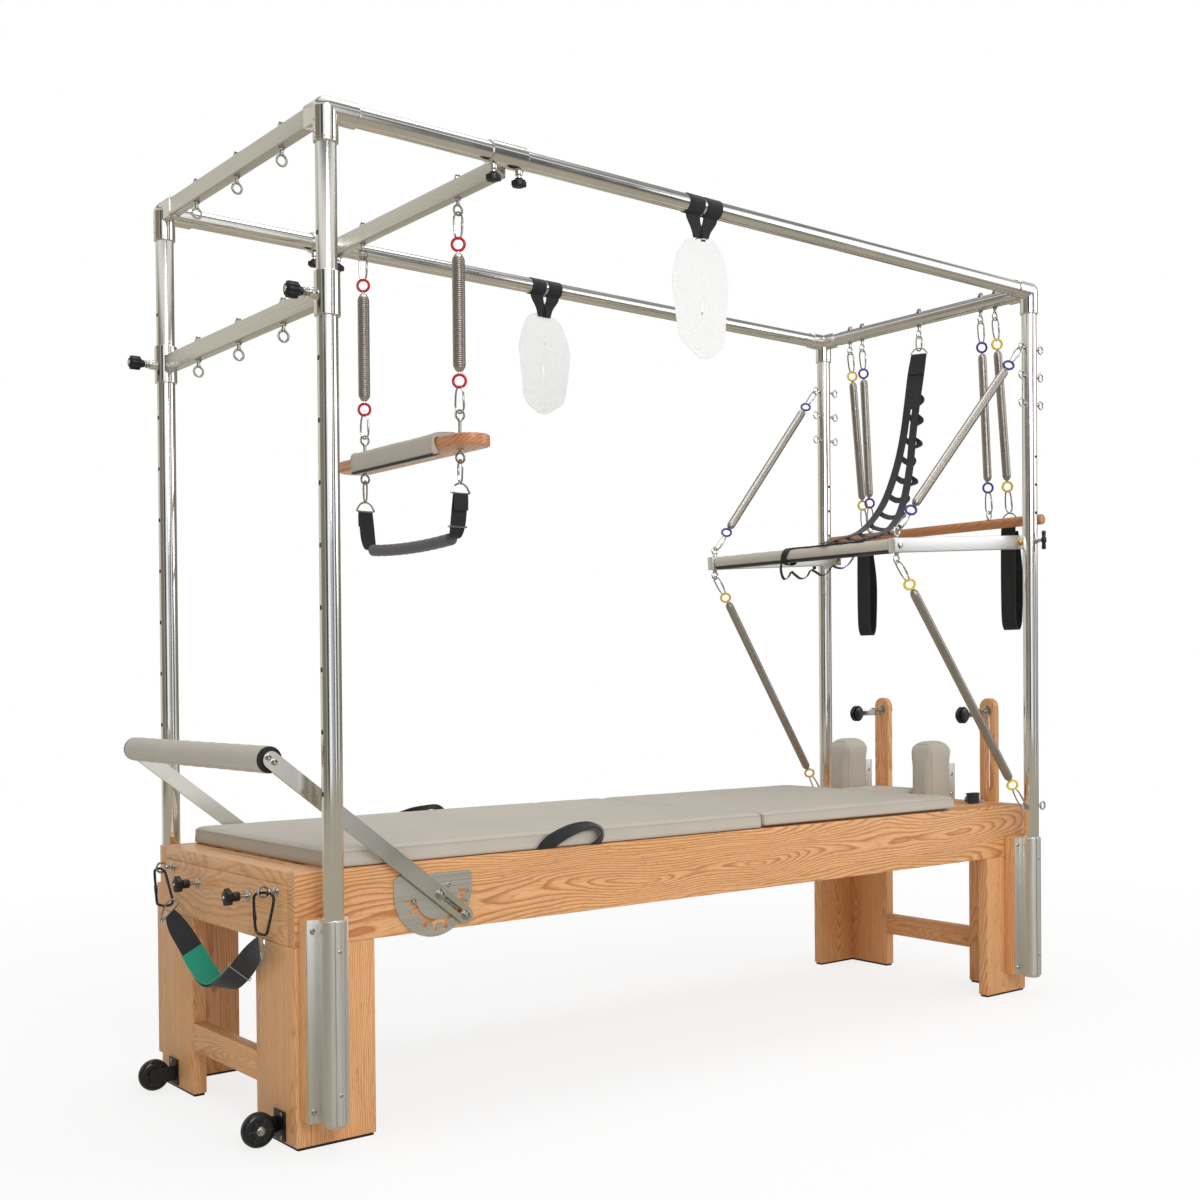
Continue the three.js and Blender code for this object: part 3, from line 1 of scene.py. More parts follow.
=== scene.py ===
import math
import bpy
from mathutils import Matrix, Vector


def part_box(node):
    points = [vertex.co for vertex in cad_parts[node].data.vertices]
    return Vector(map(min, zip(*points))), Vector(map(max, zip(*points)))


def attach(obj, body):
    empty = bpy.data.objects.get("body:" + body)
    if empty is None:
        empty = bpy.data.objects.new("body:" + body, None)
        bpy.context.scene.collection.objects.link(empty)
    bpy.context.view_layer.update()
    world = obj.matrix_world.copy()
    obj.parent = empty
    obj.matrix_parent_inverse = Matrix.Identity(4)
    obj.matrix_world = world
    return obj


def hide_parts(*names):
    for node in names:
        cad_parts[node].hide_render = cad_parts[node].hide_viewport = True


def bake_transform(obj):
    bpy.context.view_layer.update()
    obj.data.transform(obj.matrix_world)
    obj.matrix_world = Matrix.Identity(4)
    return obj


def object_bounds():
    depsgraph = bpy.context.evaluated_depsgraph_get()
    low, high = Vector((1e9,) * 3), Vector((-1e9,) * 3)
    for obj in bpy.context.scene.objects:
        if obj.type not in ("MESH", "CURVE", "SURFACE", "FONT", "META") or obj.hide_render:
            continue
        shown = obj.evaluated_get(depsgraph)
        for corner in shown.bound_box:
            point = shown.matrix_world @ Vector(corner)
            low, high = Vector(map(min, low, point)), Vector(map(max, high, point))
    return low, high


bl_info = {
    "name": "Trapeze Table Dresser",
    "version": (1, 0, 0),
    "blender": (4, 5, 0),
    "location": "View3D > Sidebar > Trapeze Table",
    "description": "Dresses the packed trapeze table with timber, tube, springs, webbing and upholstery",
    "category": "Object",
}

import bmesh
import bpy
from bpy.props import FloatProperty, FloatVectorProperty, PointerProperty
from bpy.types import Operator, Panel, PropertyGroup
from mathutils import Matrix, Vector, noise
from mathutils.bvhtree import BVHTree

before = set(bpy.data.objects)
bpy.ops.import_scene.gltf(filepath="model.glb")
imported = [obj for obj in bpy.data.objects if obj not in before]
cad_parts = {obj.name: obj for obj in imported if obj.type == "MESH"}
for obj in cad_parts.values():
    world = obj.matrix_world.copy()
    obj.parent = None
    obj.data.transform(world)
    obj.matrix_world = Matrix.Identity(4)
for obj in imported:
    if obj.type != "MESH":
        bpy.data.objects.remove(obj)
cad_lo, cad_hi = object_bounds()

MM = 0.001
SIDES = (("right", -1), ("left", 1))


def centre_of(node):
    """The middle of a CAD piece's box, as three numbers."""
    return tuple((low + high) / 2 for low, high in zip(*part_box(node)))


POST_X = centre_of("socket_foot_right")[0]


def at(x, y, z):
    """A place in millimetres from the foot posts' line, the middle and the floor, in row metres."""
    return Vector((x * MM + POST_X, y * MM, z * MM))


def tone(red, green, blue):
    """A colour given as it looks on screen, 0 to 255, in the values the shader takes."""
    return tuple(((c / 255 + 0.055) / 1.055) ** 2.4 if c > 10 else c / 255 / 12.92 for c in (red, green, blue))


def length(label, words, value):
    """A size in metres for the panel."""
    return FloatProperty(name=label, description=words, default=value, min=0.0, unit="LENGTH", subtype="DISTANCE")


def colour(label, words, rgb):
    """A colour for the panel, given as it looks on screen."""
    return FloatVectorProperty(name=label, description=words, default=tone(*rgb), size=3, min=0, max=1,
                               subtype="COLOR")


class TableSizes(PropertyGroup):
    board_edge: length("Board edge", "Rounding along the edges of the oak boards", 0.0022)
    pad_round: length("Pad edge", "Rounding along the edges of the pads", 0.006)
    pad_crown: length("Pad crown", "How far the middle of a pad stands over its edge", 0.003)
    seam: length("Seam", "Thickness of the piping on the pads", 0.0022)
    plate_edge: length("Plate edge", "Rounding along the edges of the steel plates", 0.0006)
    wheel_diameter: length("Wheel", "Diameter of the transport wheels", 0.071)


class FrameSizes(PropertyGroup):
    tube: length("Tube", "Outer diameter of the posts and rails", 0.042)
    sleeve: length("Sleeve", "Outer diameter of the corner fittings", 0.050)
    clamp: length("Clamp sleeve", "Outer diameter of the sliding sleeves", 0.052)
    eye: length("Eye", "Diameter of an eye bolt's ring, to the middle of its wire", 0.022)
    eye_wire: length("Eye wire", "Wire thickness of the eye bolts", 0.0052)
    beam_edge: length("Beam edge", "Rounding along the flat beams", 0.003)


class SoftSizes(PropertyGroup):
    trapeze_coil: length("Trapeze spring", "Outer diameter of the trapeze springs", 0.030)
    slim_coil: length("Slim spring", "Outer diameter of the other springs", 0.026)
    coil_wire: length("Spring wire", "Wire thickness of the springs", 0.0034)
    ring: length("Colour ring", "Outer diameter of the coloured rings", 0.030)
    webbing: length("Webbing", "Thickness of the webbing", 0.0022)
    fleece_tuft: length("Fleece tuft", "Height of the fleece's tufts", 0.007)


class Finishes(PropertyGroup):
    oak_pale: colour("Oak, early wood", "Pale part of the oak grain", (236, 182, 126))
    oak_dark: colour("Oak, late wood", "Dark lines of the oak grain", (194, 122, 68))
    board_pale: colour("Trapeze board", "Pale part of the trapeze board's grain", (214, 152, 106))
    board_dark: colour("Trapeze board lines", "Dark lines of the trapeze board's grain", (184, 112, 70))
    dowel: colour("Dowel", "Roll-down dowel", (196, 132, 82))
    steel: colour("Steel", "Polished tube", (243, 241, 236))
    plate: colour("Plate", "Brushed steel plates and arms", (232, 230, 222))
    aluminium: colour("Aluminium", "Sockets and brackets", (236, 235, 229))
    spring: colour("Spring", "Wound spring wire", (206, 198, 189))
    brass: colour("Brass", "Pivot bushes", (222, 184, 110))
    vinyl: colour("Vinyl", "Beige upholstery", (193, 185, 171))
    webbing: colour("Webbing", "Black webbing", (26, 27, 30))
    plastic: colour("Plastic", "Black knobs and wheels", (24, 24, 26))
    foam: colour("Foam", "Dark foam grip", (74, 72, 70))
    fleece: colour("Fleece", "White fleece", (252, 252, 251))
    green: colour("Green pad", "Padded part of the foot strap", (20, 150, 120))
    red: colour("Red ring", "Rings of the trapeze springs", (205, 30, 44))
    yellow: colour("Yellow ring", "Rings of the light springs", (232, 200, 30))
    blue: colour("Blue ring", "Rings of the medium springs", (58, 48, 150))


# ---------------------------------------------------------------- materials
made_materials = {}


def link(tree, source, target):
    """Joins an output to an input."""
    tree.links.new(source, target)


def put(tree, kind, **values):
    """A shader node with its inputs and settings given by name."""
    node = tree.nodes.new("ShaderNode" + kind)
    for name, value in values.items():
        label = name.replace("_", " ")
        if label in node.inputs:
            node.inputs[label].default_value = value
        else:
            setattr(node, name, value)
    return node


def feed(tree, sockets, values):
    """Gives inputs their values in order: numbers, vectors, colours or the outputs of other nodes."""
    for socket, value in zip(sockets, values):
        if isinstance(value, bpy.types.NodeSocket):
            link(tree, value, socket)
        elif socket.type == "RGBA" and len(value) == 3:
            socket.default_value = (*value, 1)
        else:
            socket.default_value = value


def worked(tree, kind, operation, *values, output="Value"):
    """The result of a maths node, its inputs given in order."""
    node = put(tree, kind, operation=operation)
    feed(tree, node.inputs, values)
    return node.outputs[output]


def laid_on(tree, kind, place, **values):
    """A mapping or a texture on the given coordinates."""
    node = put(tree, kind, **values)
    link(tree, place, node.inputs["Vector"])
    return node


def chosen(tree, factor, first, second):
    """One shader or the other, by a factor."""
    node = put(tree, "MixShader")
    feed(tree, node.inputs, (factor, first, second))
    return node.outputs[0]


def finish_named(name, rgb, roughness, metallic=0.0, **more):
    """A new material with its node tree and its shader."""
    material = bpy.data.materials.new(name)
    material.use_nodes = True
    tree = material.node_tree
    shader = tree.nodes["Principled BSDF"]
    shader.inputs["Roughness"].default_value = roughness
    shader.inputs["Metallic"].default_value = metallic
    shader.inputs["Base Color"].default_value = (*rgb, 1)
    material.diffuse_color = (*rgb, 1)
    for key, value in more.items():
        shader.inputs[key.replace("_", " ")].default_value = value
    return material, tree, shader


def place_on(tree, turn=(0, 0, 0), shift=(0, 0, 0), stretch=(1, 1, 1)):
    """Object coordinates, turned and stretched for one piece's pattern."""
    where = put(tree, "TexCoord").outputs["Object"]
    return laid_on(tree, "Mapping", where, Rotation=turn, Location=shift, Scale=stretch).outputs["Vector"]


def ramp(tree, factor, stops):
    """A colour ramp with its stops given as (place, colour)."""
    node = put(tree, "ValToRGB")
    while len(node.color_ramp.elements) < len(stops):
        node.color_ramp.elements.new(0.5)
    for element, (place, value) in zip(node.color_ramp.elements, stops):
        element.position = place
        element.color = value if len(value) == 4 else (*value, 1)
    link(tree, factor, node.inputs["Fac"])
    return node.outputs["Color"]


def grey(value):
    """A grey as a colour with alpha."""
    return (value, value, value, 1)


def scaled(rgb, share):
    """A colour made lighter or darker by a share."""
    return tuple(min(1, c * share) for c in rgb)


def vary(tree, shader, label, factor, *stops):
    """Lets a pattern drive one input of the shader through a ramp."""
    link(tree, ramp(tree, factor, stops), shader.inputs[label])


def bump(tree, shader, height, strength, distance):
    """Lets a pattern tilt the shader's normals."""
    node = put(tree, "Bump", Strength=strength, Distance=distance)
    link(tree, height, node.inputs["Height"])
    link(tree, node.outputs["Normal"], shader.inputs["Normal"])


def mixed(tree, factor, first, second, blend="MIX"):
    """Two colours or patterns mixed by a factor."""
    node = tree.nodes.new("ShaderNodeMix")
    node.data_type = "RGBA"
    node.blend_type = blend
    feed(tree, (node.inputs[0], node.inputs[6], node.inputs[7]), (factor, first, second))
    return node.outputs[2]


GRAIN_TURNS = {"X": (0, 0, 0), "Y": (0, 0, math.pi / 2), "Z": (0, math.pi / 2, 0)}
# Each ring: how much late wood shows from its start to its end.
RING_STOPS = ((0.0, 0.25), (0.12, 0.0), (0.5, 0.1), (0.78, 0.72), (0.92, 1.0), (1.0, 0.3))
# Half the width of a board as the trunk's rings are folded back into it, in metres.
RING_FOLDS = (("Y", 0.085), ("Z", 0.06))


def timber(name, pale, dark, grain, shift, pitch=0.0062, strength=1.0, gloss=0.34):
    """Flat-sawn timber: growth rings cut at a low angle, with streaks and short pores along one axis."""
    material, tree, shader = finish_named(name, pale, gloss, Coat_Weight=0.22, Coat_Roughness=0.25)
    turned_to = place_on(tree, turn=GRAIN_TURNS[grain], shift=shift)

    def stretched(stretch, detail, roughness=0.5):
        place = laid_on(tree, "Mapping", turned_to, Scale=stretch).outputs["Vector"]
        return laid_on(tree, "TexNoise", place, Scale=1.0, Detail=detail, Roughness=roughness)

    def moved(amount, noise_node, start):
        return worked(tree, "VectorMath", "MULTIPLY_ADD", noise_node.outputs["Color"], (0.0, amount, amount), start,
                      output="Vector")

    tilt = laid_on(tree, "Mapping", turned_to, Rotation=(0.0, 0.03, 0.045)).outputs["Vector"]
    slow, brisk = stretched((1.7, 5.0, 5.0), 1.5), stretched((9.0, 42.0, 42.0), 2.0)
    parts = put(tree, "SeparateXYZ")
    link(tree, moved(0.006, brisk, moved(0.12, slow, tilt)), parts.inputs[0])
    folded = put(tree, "CombineXYZ")
    for axis, half in RING_FOLDS:
        link(tree, worked(tree, "Math", "PINGPONG", parts.outputs[axis], half), folded.inputs[axis])
    reach = worked(tree, "VectorMath", "LENGTH", folded.outputs[0])
    year = worked(tree, "Math", "FRACT", worked(tree, "Math", "DIVIDE", reach, pitch))
    lines = ramp(tree, year, [(place, grey(value)) for place, value in RING_STOPS])
    fine = stretched((5.0, 200.0, 200.0), 4.0, 0.6).outputs["Fac"]
    pore, broad = stretched((40, 800, 800), 1.0).outputs["Fac"], stretched((0.8, 6, 6), 1.0).outputs["Fac"]
    deep = tuple(p + (d - p) * strength for p, d in zip(pale, dark))
    streak = ramp(tree, fine, [(0.35, grey(0.9)), (0.65, grey(1.05))])
    toned = mixed(tree, 0.9, mixed(tree, lines, pale, deep), streak, "MULTIPLY")
    warm = ramp(tree, broad, [(0.3, (0.94, 0.91, 0.87)), (0.7, (1.04, 1.03, 1.01))])
    dots = ramp(tree, pore, [(0.60, grey(0.0)), (0.68, grey(0.5))])
    final = mixed(tree, dots, mixed(tree, 0.8, toned, warm, "MULTIPLY"), scaled(dark, 0.72))
    link(tree, final, shader.inputs["Base Color"])
    bump(tree, shader, fine, 0.1, 0.0005)
    return material


BRUSH_STRETCH = {None: (9, 9, 9), "X": (4, 700, 700), "Y": (700, 4, 700), "Z": (700, 700, 4)}


def metal(name, rgb, roughness, brushed=None):
    """Metal with faint smears in its gloss, and brush lines along one axis where it has them."""
    material, tree, shader = finish_named(name, rgb, roughness, 1.0)
    place = place_on(tree, stretch=BRUSH_STRETCH[brushed])
    lines = laid_on(tree, "TexNoise", place, Scale=1.0, Detail=3.0).outputs["Fac"]
    high = roughness * (1.5 if brushed else 1.25)
    vary(tree, shader, "Roughness", lines, (0.3, grey(roughness * 0.8)), (0.7, grey(high)))
    vary(tree, shader, "Base Color", lines, (0.3, scaled(rgb, 0.9)), (0.7, rgb))
    if brushed:
        bump(tree, shader, lines, 0.03, 0.0002)
    return material


def upholstery(name, rgb):
    """Vinyl with a fine leather grain and a soft, slightly uneven sheen."""
    material, tree, shader = finish_named(name, rgb, 0.46, Sheen_Weight=0.12, Sheen_Roughness=0.5)
    place = place_on(tree)
    cells = laid_on(tree, "TexVoronoi", place, Scale=820.0, feature="DISTANCE_TO_EDGE").outputs["Distance"]
    grain = laid_on(tree, "TexNoise", place, Scale=310.0, Detail=3.0).outputs["Fac"]
    folds = laid_on(tree, "TexNoise", place, Scale=9.0, Detail=2.0).outputs["Fac"]
    bump(tree, shader, mixed(tree, 0.35, mixed(tree, 0.5, cells, grain), folds), 0.22, 0.0009)
    vary(tree, shader, "Base Color", folds, (0.3, scaled(rgb, 0.955)), (0.7, scaled(rgb, 1.02)))
    vary(tree, shader, "Roughness", grain, (0.3, grey(0.4)), (0.7, grey(0.54)))
    return material


def woven(name, rgb, pitch=0.0026, sheen=0.3):
    """Woven webbing: ribs one way and picks the other, from the piece's own map."""
    material, tree, shader = finish_named(name, rgb, 0.72, Sheen_Weight=sheen, Sheen_Roughness=0.4)
    where = put(tree, "TexCoord")
    ribs, picks = (laid_on(tree, "TexWave", where.outputs["UV"], wave_type="BANDS", bands_direction=way,
                           wave_profile="SIN", Scale=0.314 / pitch * share, Distortion=0.4, Detail=1.0)
                   for way, share in (("X", 1.0), ("Y", 1.5)))
    weave = mixed(tree, 0.5, ribs.outputs["Fac"], picks.outputs["Fac"])
    fluff = laid_on(tree, "TexNoise", where.outputs["Object"], Scale=600.0, Detail=2.0)
    bump(tree, shader, mixed(tree, 0.25, weave, fluff.outputs["Fac"]), 0.5, 0.0006)
    vary(tree, shader, "Base Color", weave, (0.25, scaled(rgb, 0.6)), (0.75, scaled(rgb, 1.5)))
    return material


def moulded(name, rgb, roughness=0.38):
    """Moulded plastic or rubber with a fine spark-eroded grain."""
    material, tree, shader = finish_named(name, rgb, roughness)
    place = place_on(tree)
    grain = laid_on(tree, "TexNoise", place, Scale=900.0, Detail=2.0)
    smear = laid_on(tree, "TexNoise", place, Scale=22.0, Detail=2.0)
    bump(tree, shader, grain.outputs["Fac"], 0.18, 0.0003)
    vary(tree, shader, "Roughness", smear.outputs["Fac"], (0.3, grey(roughness * 0.8)), (0.7, grey(roughness * 1.3)))
    return material


def fluffy(name, rgb, scale, depth, roughness=0.95):
    """Fleece or foam: deep soft grain with a sheen."""
    material, tree, shader = finish_named(name, rgb, roughness, Sheen_Weight=0.35, Sheen_Roughness=0.6)
    place = place_on(tree)
    tufts = laid_on(tree, "TexVoronoi", place, Scale=scale, Randomness=1.0).outputs["Distance"]
    curl = laid_on(tree, "TexNoise", place, Scale=scale * 1.8, Detail=4.0, Distortion=1.2).outputs["Fac"]
    bump(tree, shader, mixed(tree, 0.5, tufts, curl), 0.8, depth)
    vary(tree, shader, "Base Color", curl, (0.3, scaled(rgb, 0.94)), (0.6, rgb))
    return material


OAK = ("oak", "oak_pale", "oak_dark", 1)
# Timber: slot, pale and dark tone and the dark one's share; then grain axis, shift, ring pitch, strength and gloss.
TIMBERS = {
    "oak_rail_right": (OAK, "X", (0.37, 0.28, -0.4)),
    "oak_rail_left": (OAK, "X", (0.9, -0.3, -0.52)),
    "oak_long": (OAK, "X", (0.2, 0.1, 0.3)),
    "oak_cross": (OAK, "Y", (0.5, 0.31, -0.47), 0.0048, 0.55),
    "oak_stretcher": (OAK, "Y", (1.3, 0.2, 0.1), 0.0045, 0.6),
    "oak_leg_front": (OAK, "Z", (0.6, 0.25, 0.12), 0.0045, 0.6),
    "oak_leg_side": (OAK, "Z", (1.1, 0.05, 0.36), 0.005, 0.75),
    "oak_post": (OAK, "Z", (2.2, -0.1, 0.2), 0.005, 0.8),
    "trapeze_board": (("board_wood", "board_pale", "board_dark", 1), "Y", (0.1, 0.06, 0.09), 0.0062, 1.0, 0.28),
    "dowel": (("dowel_wood", "dowel", "dowel", 0.72), "Y", (0.4, 0.02, 0.03), 0.0062, 1.0, 0.3),
}
# The rest: slot, maker, tone (one of the Finishes, or a colour) and its share; then the maker's own values.
LOOKS = {
    "steel": ("steel", metal, "steel", 1, 0.13),
    # Small fittings: the steel darkened to 62 %, painted shade standing in for the darker reflections these small
    # parts show
    "chrome": ("steel", metal, "steel", 0.62, 0.12),
    "plate": ("steel", metal, "plate", 1, 0.3, "X"),
    "plate_across": ("steel", metal, "plate", 1, 0.3, "Y"),
    "arm": ("steel", metal, "plate", 1, 0.2),
    "brass": ("steel", metal, "brass", 1, 0.25),
    "aluminium": ("aluminium", metal, "aluminium", 1, 0.42, "Z"),
    "arm_aluminium": ("aluminium", metal, (0.95, 0.95, 0.94), 1, 0.4, "X"),
    "spring": ("spring_steel", metal, "spring", 0.74, 0.3),
    "red": ("spring_steel", moulded, "red", 1, 0.3),
    "yellow": ("spring_steel", moulded, "yellow", 1, 0.3),
    "blue": ("spring_steel", moulded, "blue", 1, 0.3),
    "vinyl": ("vinyl", upholstery, "vinyl", 1),
    "piping": ("vinyl", upholstery, "vinyl", 0.82),
    "webbing": ("webbing", woven, "webbing", 1),
    "underside": ("webbing", woven, "webbing", 1, 0.0018),
    "thread": ("webbing", woven, "webbing", 2.6, 0.001),
    "green": ("webbing", woven, "green", 1, 0.0016, 0.1),
    "green_thread": ("webbing", woven, "green", 1.6, 0.001),
    "foam": ("webbing", fluffy, "foam", 1, 700.0, 0.0006, 0.85),
    "fleece": ("fleece", fluffy, "fleece", 1, 150.0, 0.0022),
    "plastic": ("black_plastic", moulded, "plastic", 1),
    "rubber": ("black_plastic", moulded, "plastic", 1, 0.6),
    "spoke": ("black_plastic", moulded, "plastic", 3.2, 0.25),
    "gloss_black": ("black_plastic", moulded, (0.012, 0.012, 0.014), 1, 0.2),
}


def tint(key, share):
    """One of the Finishes, or a colour, made lighter or darker by a share."""
    return scaled(getattr(bpy.context.scene.trapeze_finishes, key) if isinstance(key, str) else key, share)


def material_of(key):
    """The finish by its plain name, made once."""
    if key not in made_materials:
        if key in TIMBERS:
            (_, pale, dark, share), *more = TIMBERS[key]
            made_materials[key] = timber(key, tint(pale, 1), tint(dark, share), *more)
        else:
            _, maker, rgb, share, *more = LOOKS[key]
            made_materials[key] = maker(key, tint(rgb, share), *more)
    return made_materials[key]


# ---------------------------------------------------------------- shape helpers
def keep(name, shape, body, finish, replaces=(), sharp=35, levels=0):
    """Turns a bmesh into a piece that rides on a CAD body; given a tuple (body, body, start, end) instead, the piece
    stays where it is made, its transform baked in.
    """
    mesh = bpy.data.meshes.new(name)
    shape.normal_update()
    shape.to_mesh(mesh)
    shape.free()
    mesh.materials.append(material_of(finish))
    mesh.polygons.foreach_set("use_smooth", [True] * len(mesh.polygons))
    if sharp:
        mesh.set_sharp_from_angle(angle=math.radians(sharp))
    piece = bpy.data.objects.new(name, mesh)
    bpy.context.scene.collection.objects.link(piece)
    if isinstance(body, str):
        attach(piece, body)
    else:
        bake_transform(piece)
    if replaces:
        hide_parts(*([replaces] if isinstance(replaces, str) else replaces))
    if levels:
        smooth = piece.modifiers.new("Smooth surface", "SUBSURF")
        smooth.levels = smooth.render_levels = levels
    return piece


def along(direction):
    """Turns +Z onto a direction."""
    return Vector(direction).to_track_quat("Z", "Y").to_matrix().to_4x4()


def rounded(shape, edges, offset, segments):
    """Softens edges by an offset."""
    if offset > 0 and edges:
        bmesh.ops.bevel(shape, geom=list(edges), offset=offset, offset_type="OFFSET", affect="EDGES",
                        segments=segments, profile=0.5, material=-1, clamp_overlap=True)


def rod(shape, start, end, radius, far_radius=None, sides=32, edge=0.0, segments=2):
    """A round bar between two points, with softened rims."""
    start, end = Vector(start), Vector(end)
    line = end - start
    place = Matrix.Translation((start + end) / 2) @ along(line)
    made = bmesh.ops.create_cone(shape, cap_ends=True, segments=sides, radius1=radius,
                                 radius2=radius if far_radius is None else far_radius,
                                 depth=line.length, matrix=place)["verts"]
    caps = {f for v in made for f in v.link_faces if len(f.verts) > 4}
    rounded(shape, {e for f in caps for e in f.edges}, edge, segments)


def pin(shape, x, z, start, end, radius, **more):
    """A round bar along Y."""
    rod(shape, (x, start, z), (x, end, z), radius, **more)


def block(shape, low, high, edge=0.0, segments=2):
    """A rectangular bar between two corners, with softened edges."""
    low, high = Vector(low), Vector(high)
    made = bmesh.ops.create_cube(shape, size=1)["verts"]
    size = Vector([abs(c) for c in high - low])
    bmesh.ops.scale(shape, vec=size, verts=made)
    bmesh.ops.translate(shape, vec=(low + high) / 2, verts=made)
    rounded(shape, {e for v in made for e in v.link_edges}, edge, segments)


def sphere(shape, centre, radius, sides):
    """A ball round a point."""
    bmesh.ops.create_uvsphere(shape, u_segments=sides, v_segments=sides // 2, radius=radius,
                              matrix=Matrix.Translation(centre))


def ring(shape, centre, normal, radius, wire, sides, wire_sides):
    """A ring of wire, spun about its normal."""
    centre, normal = Vector(centre), Vector(normal).normalized()
    out = normal.orthogonal().normalized()
    place = Matrix.Translation(centre + out * radius) @ along(normal.cross(out))
    made = bmesh.ops.create_circle(shape, cap_ends=False, segments=wire_sides, radius=wire / 2, matrix=place)["verts"]
    edges = list({e for v in made for e in v.link_edges})
    before = set(shape.verts) - set(made)
    bmesh.ops.spin(shape, geom=list(made) + edges, cent=centre, axis=normal, dvec=(0, 0, 0),
                   angle=2 * math.pi, steps=sides, use_merge=True, use_duplicate=False)
    new = [v for v in shape.verts if v not in before]
    bmesh.ops.recalc_face_normals(shape, faces=list({f for v in new for f in v.link_faces}))


def turned(shape, profile, centre, axis, sides, closed=True):
    """A turned piece: a profile of (radius, height) pairs spun about an axis."""
    place = Matrix.Translation(Vector(centre)) @ along(axis)
    verts = [shape.verts.new(place @ Vector((r, 0, h))) for r, h in profile]
    pairs = zip(verts, verts[1:] + (verts[:1] if closed else []))
    edges = [shape.edges.new(pair) for pair in pairs if pair[0] is not pair[1]]
    before = set(shape.verts) - set(verts)
    bmesh.ops.spin(shape, geom=verts + edges, cent=centre, axis=Vector(axis), dvec=(0, 0, 0),
                   angle=2 * math.pi, steps=sides, use_merge=True, use_duplicate=False)
    new = [v for v in shape.verts if v not in before]
    bmesh.ops.remove_doubles(shape, verts=new, dist=1e-6)
    new = [v for v in shape.verts if v not in before]
    bmesh.ops.recalc_face_normals(shape, faces=list({f for v in new for f in v.link_faces}))


def flow(points, steps, closed=False):
    """Points on a smooth line through the given ones."""
    spots = [Vector(p) for p in points]
    count = len(spots)
    line = []
    for i in range(count if closed else count - 1):
        p1, p2 = spots[i], spots[(i + 1) % count]
        p0 = spots[i - 1] if closed or i else p1 * 2 - p2
        p3 = spots[(i + 2) % count] if closed or i + 2 < count else p2 * 2 - p1
        for k in range(steps):
            t = k / steps
            line.append((p1 * 2 + (p2 - p0) * t + (p0 * 2 - p1 * 5 + p2 * 4 - p3) * t * t
                         + (p1 * 3 - p0 - p2 * 3 + p3) * t ** 3) / 2)
    if not closed:
        line.append(spots[-1])
    return line


def wire(shape, points, radius, *, steps, sides, closed=False):
    """A round wire or cord along a smooth line."""
    curve = bpy.data.curves.new("wire", "CURVE")
    curve.dimensions = "3D"
    curve.bevel_depth = radius
    curve.bevel_resolution = sides
    curve.use_fill_caps = True
    curve.twist_mode = "MINIMUM"
    line = flow(points, steps, closed) if steps > 1 else [Vector(p) for p in points]
    spline = curve.splines.new("POLY")
    spline.points.add(len(line) - 1)
    for point, spot in zip(spline.points, line):
        point.co = (*spot, 1)
    spline.use_cyclic_u = closed
    holder = bpy.data.objects.new("wire", curve)
    mesh = bpy.data.meshes.new_from_object(holder)
    shape.from_mesh(mesh)
    bpy.data.meshes.remove(mesh)
    bpy.data.objects.remove(holder)
    bpy.data.curves.remove(curve)


def band(shape, stations, thick, *, steps, closed=False):
    """A flat strap along stations of (point, half width, width direction), with a map along its length."""
    points = [Vector(p) for p, _, _ in stations]
    widths = [Vector((w, 0, 0)) for _, w, _ in stations]
    ways = [Vector(a).normalized() for _, _, a in stations]
    line, half, wide = (flow(values, steps, closed) for values in (points, widths, ways))
    uv = shape.loops.layers.uv.verify()
    travel, travels = 0.0, []
    for i, spot in enumerate(line):
        travel += (spot - line[i - 1]).length if i else 0.0
        travels.append(travel)
    pair = [shape.verts.new(line[0] + wide[0].normalized() * half[0].x * s) for s in (-1, 1)]
    first, edge, faces = pair, shape.edges.new(pair), []
    for i in range(1, len(line)):
        made = bmesh.ops.extrude_edge_only(shape, edges=[edge])["geom"]
        new = [g for g in made if isinstance(g, bmesh.types.BMVert)]
        face = next(g for g in made if isinstance(g, bmesh.types.BMFace))
        edge = next(g for g in made if isinstance(g, bmesh.types.BMEdge) and set(g.verts) == set(new))
        left = min(new, key=lambda v: (v.co - pair[0].co).length)
        right = next(v for v in new if v is not left)
        for vert, side in ((left, -1), (right, 1)):
            vert.co = line[i] + wide[i].normalized() * half[i].x * side
        for loop in face.loops:
            near = loop.vert in pair
            loop[uv].uv = ((1 if loop.vert in (pair[1], right) else -1) * half[i].x, travels[i - 1 if near else i])
        faces.append(face)
        pair = [left, right]
    if closed:
        face = shape.faces.new((pair[0], pair[1], first[1], first[0]))
        for loop in face.loops:
            loop[uv].uv = ((1 if loop.vert in (pair[1], first[1]) else -1) * half[0].x,
                           travels[-1] if loop.vert in pair else travels[-1] + 0.01)
        faces.append(face)
    bmesh.ops.recalc_face_normals(shape, faces=faces)
    bmesh.ops.solidify(shape, geom=faces, thickness=thick)


def laid(stations, steps):
    """The points of a strap between its stations, each with its half width, its width direction and its normal."""
    spots = flow([p for p, _, _ in stations], steps)
    halves = flow([Vector((w, 0, 0)) for _, w, _ in stations], steps)
    ways = flow([Vector(a).normalized() for _, _, a in stations], steps)
    line = []
    for i, spot in enumerate(spots):
        run = spots[min(i + 1, len(spots) - 1)] - spots[max(i - 1, 0)]
        way = ways[i].normalized()
        line.append((spot, halves[i].x, way, run.cross(way).normalized()))
    return line


def lifted(line, height, share=1.0):
    """Stations of a second layer, a height over a strap's line."""
    return [(spot + normal * height, half * share, way) for spot, half, way, normal in line]


THREAD = 0.45 * MM


def stitch(shape, line, share, height, thick=THREAD):
    """A row of thread along a strap, at a share of its half width."""
    wire(shape, [spot + way * half * share + normal * height for spot, half, way, normal in line], thick, steps=1,
         sides=1)


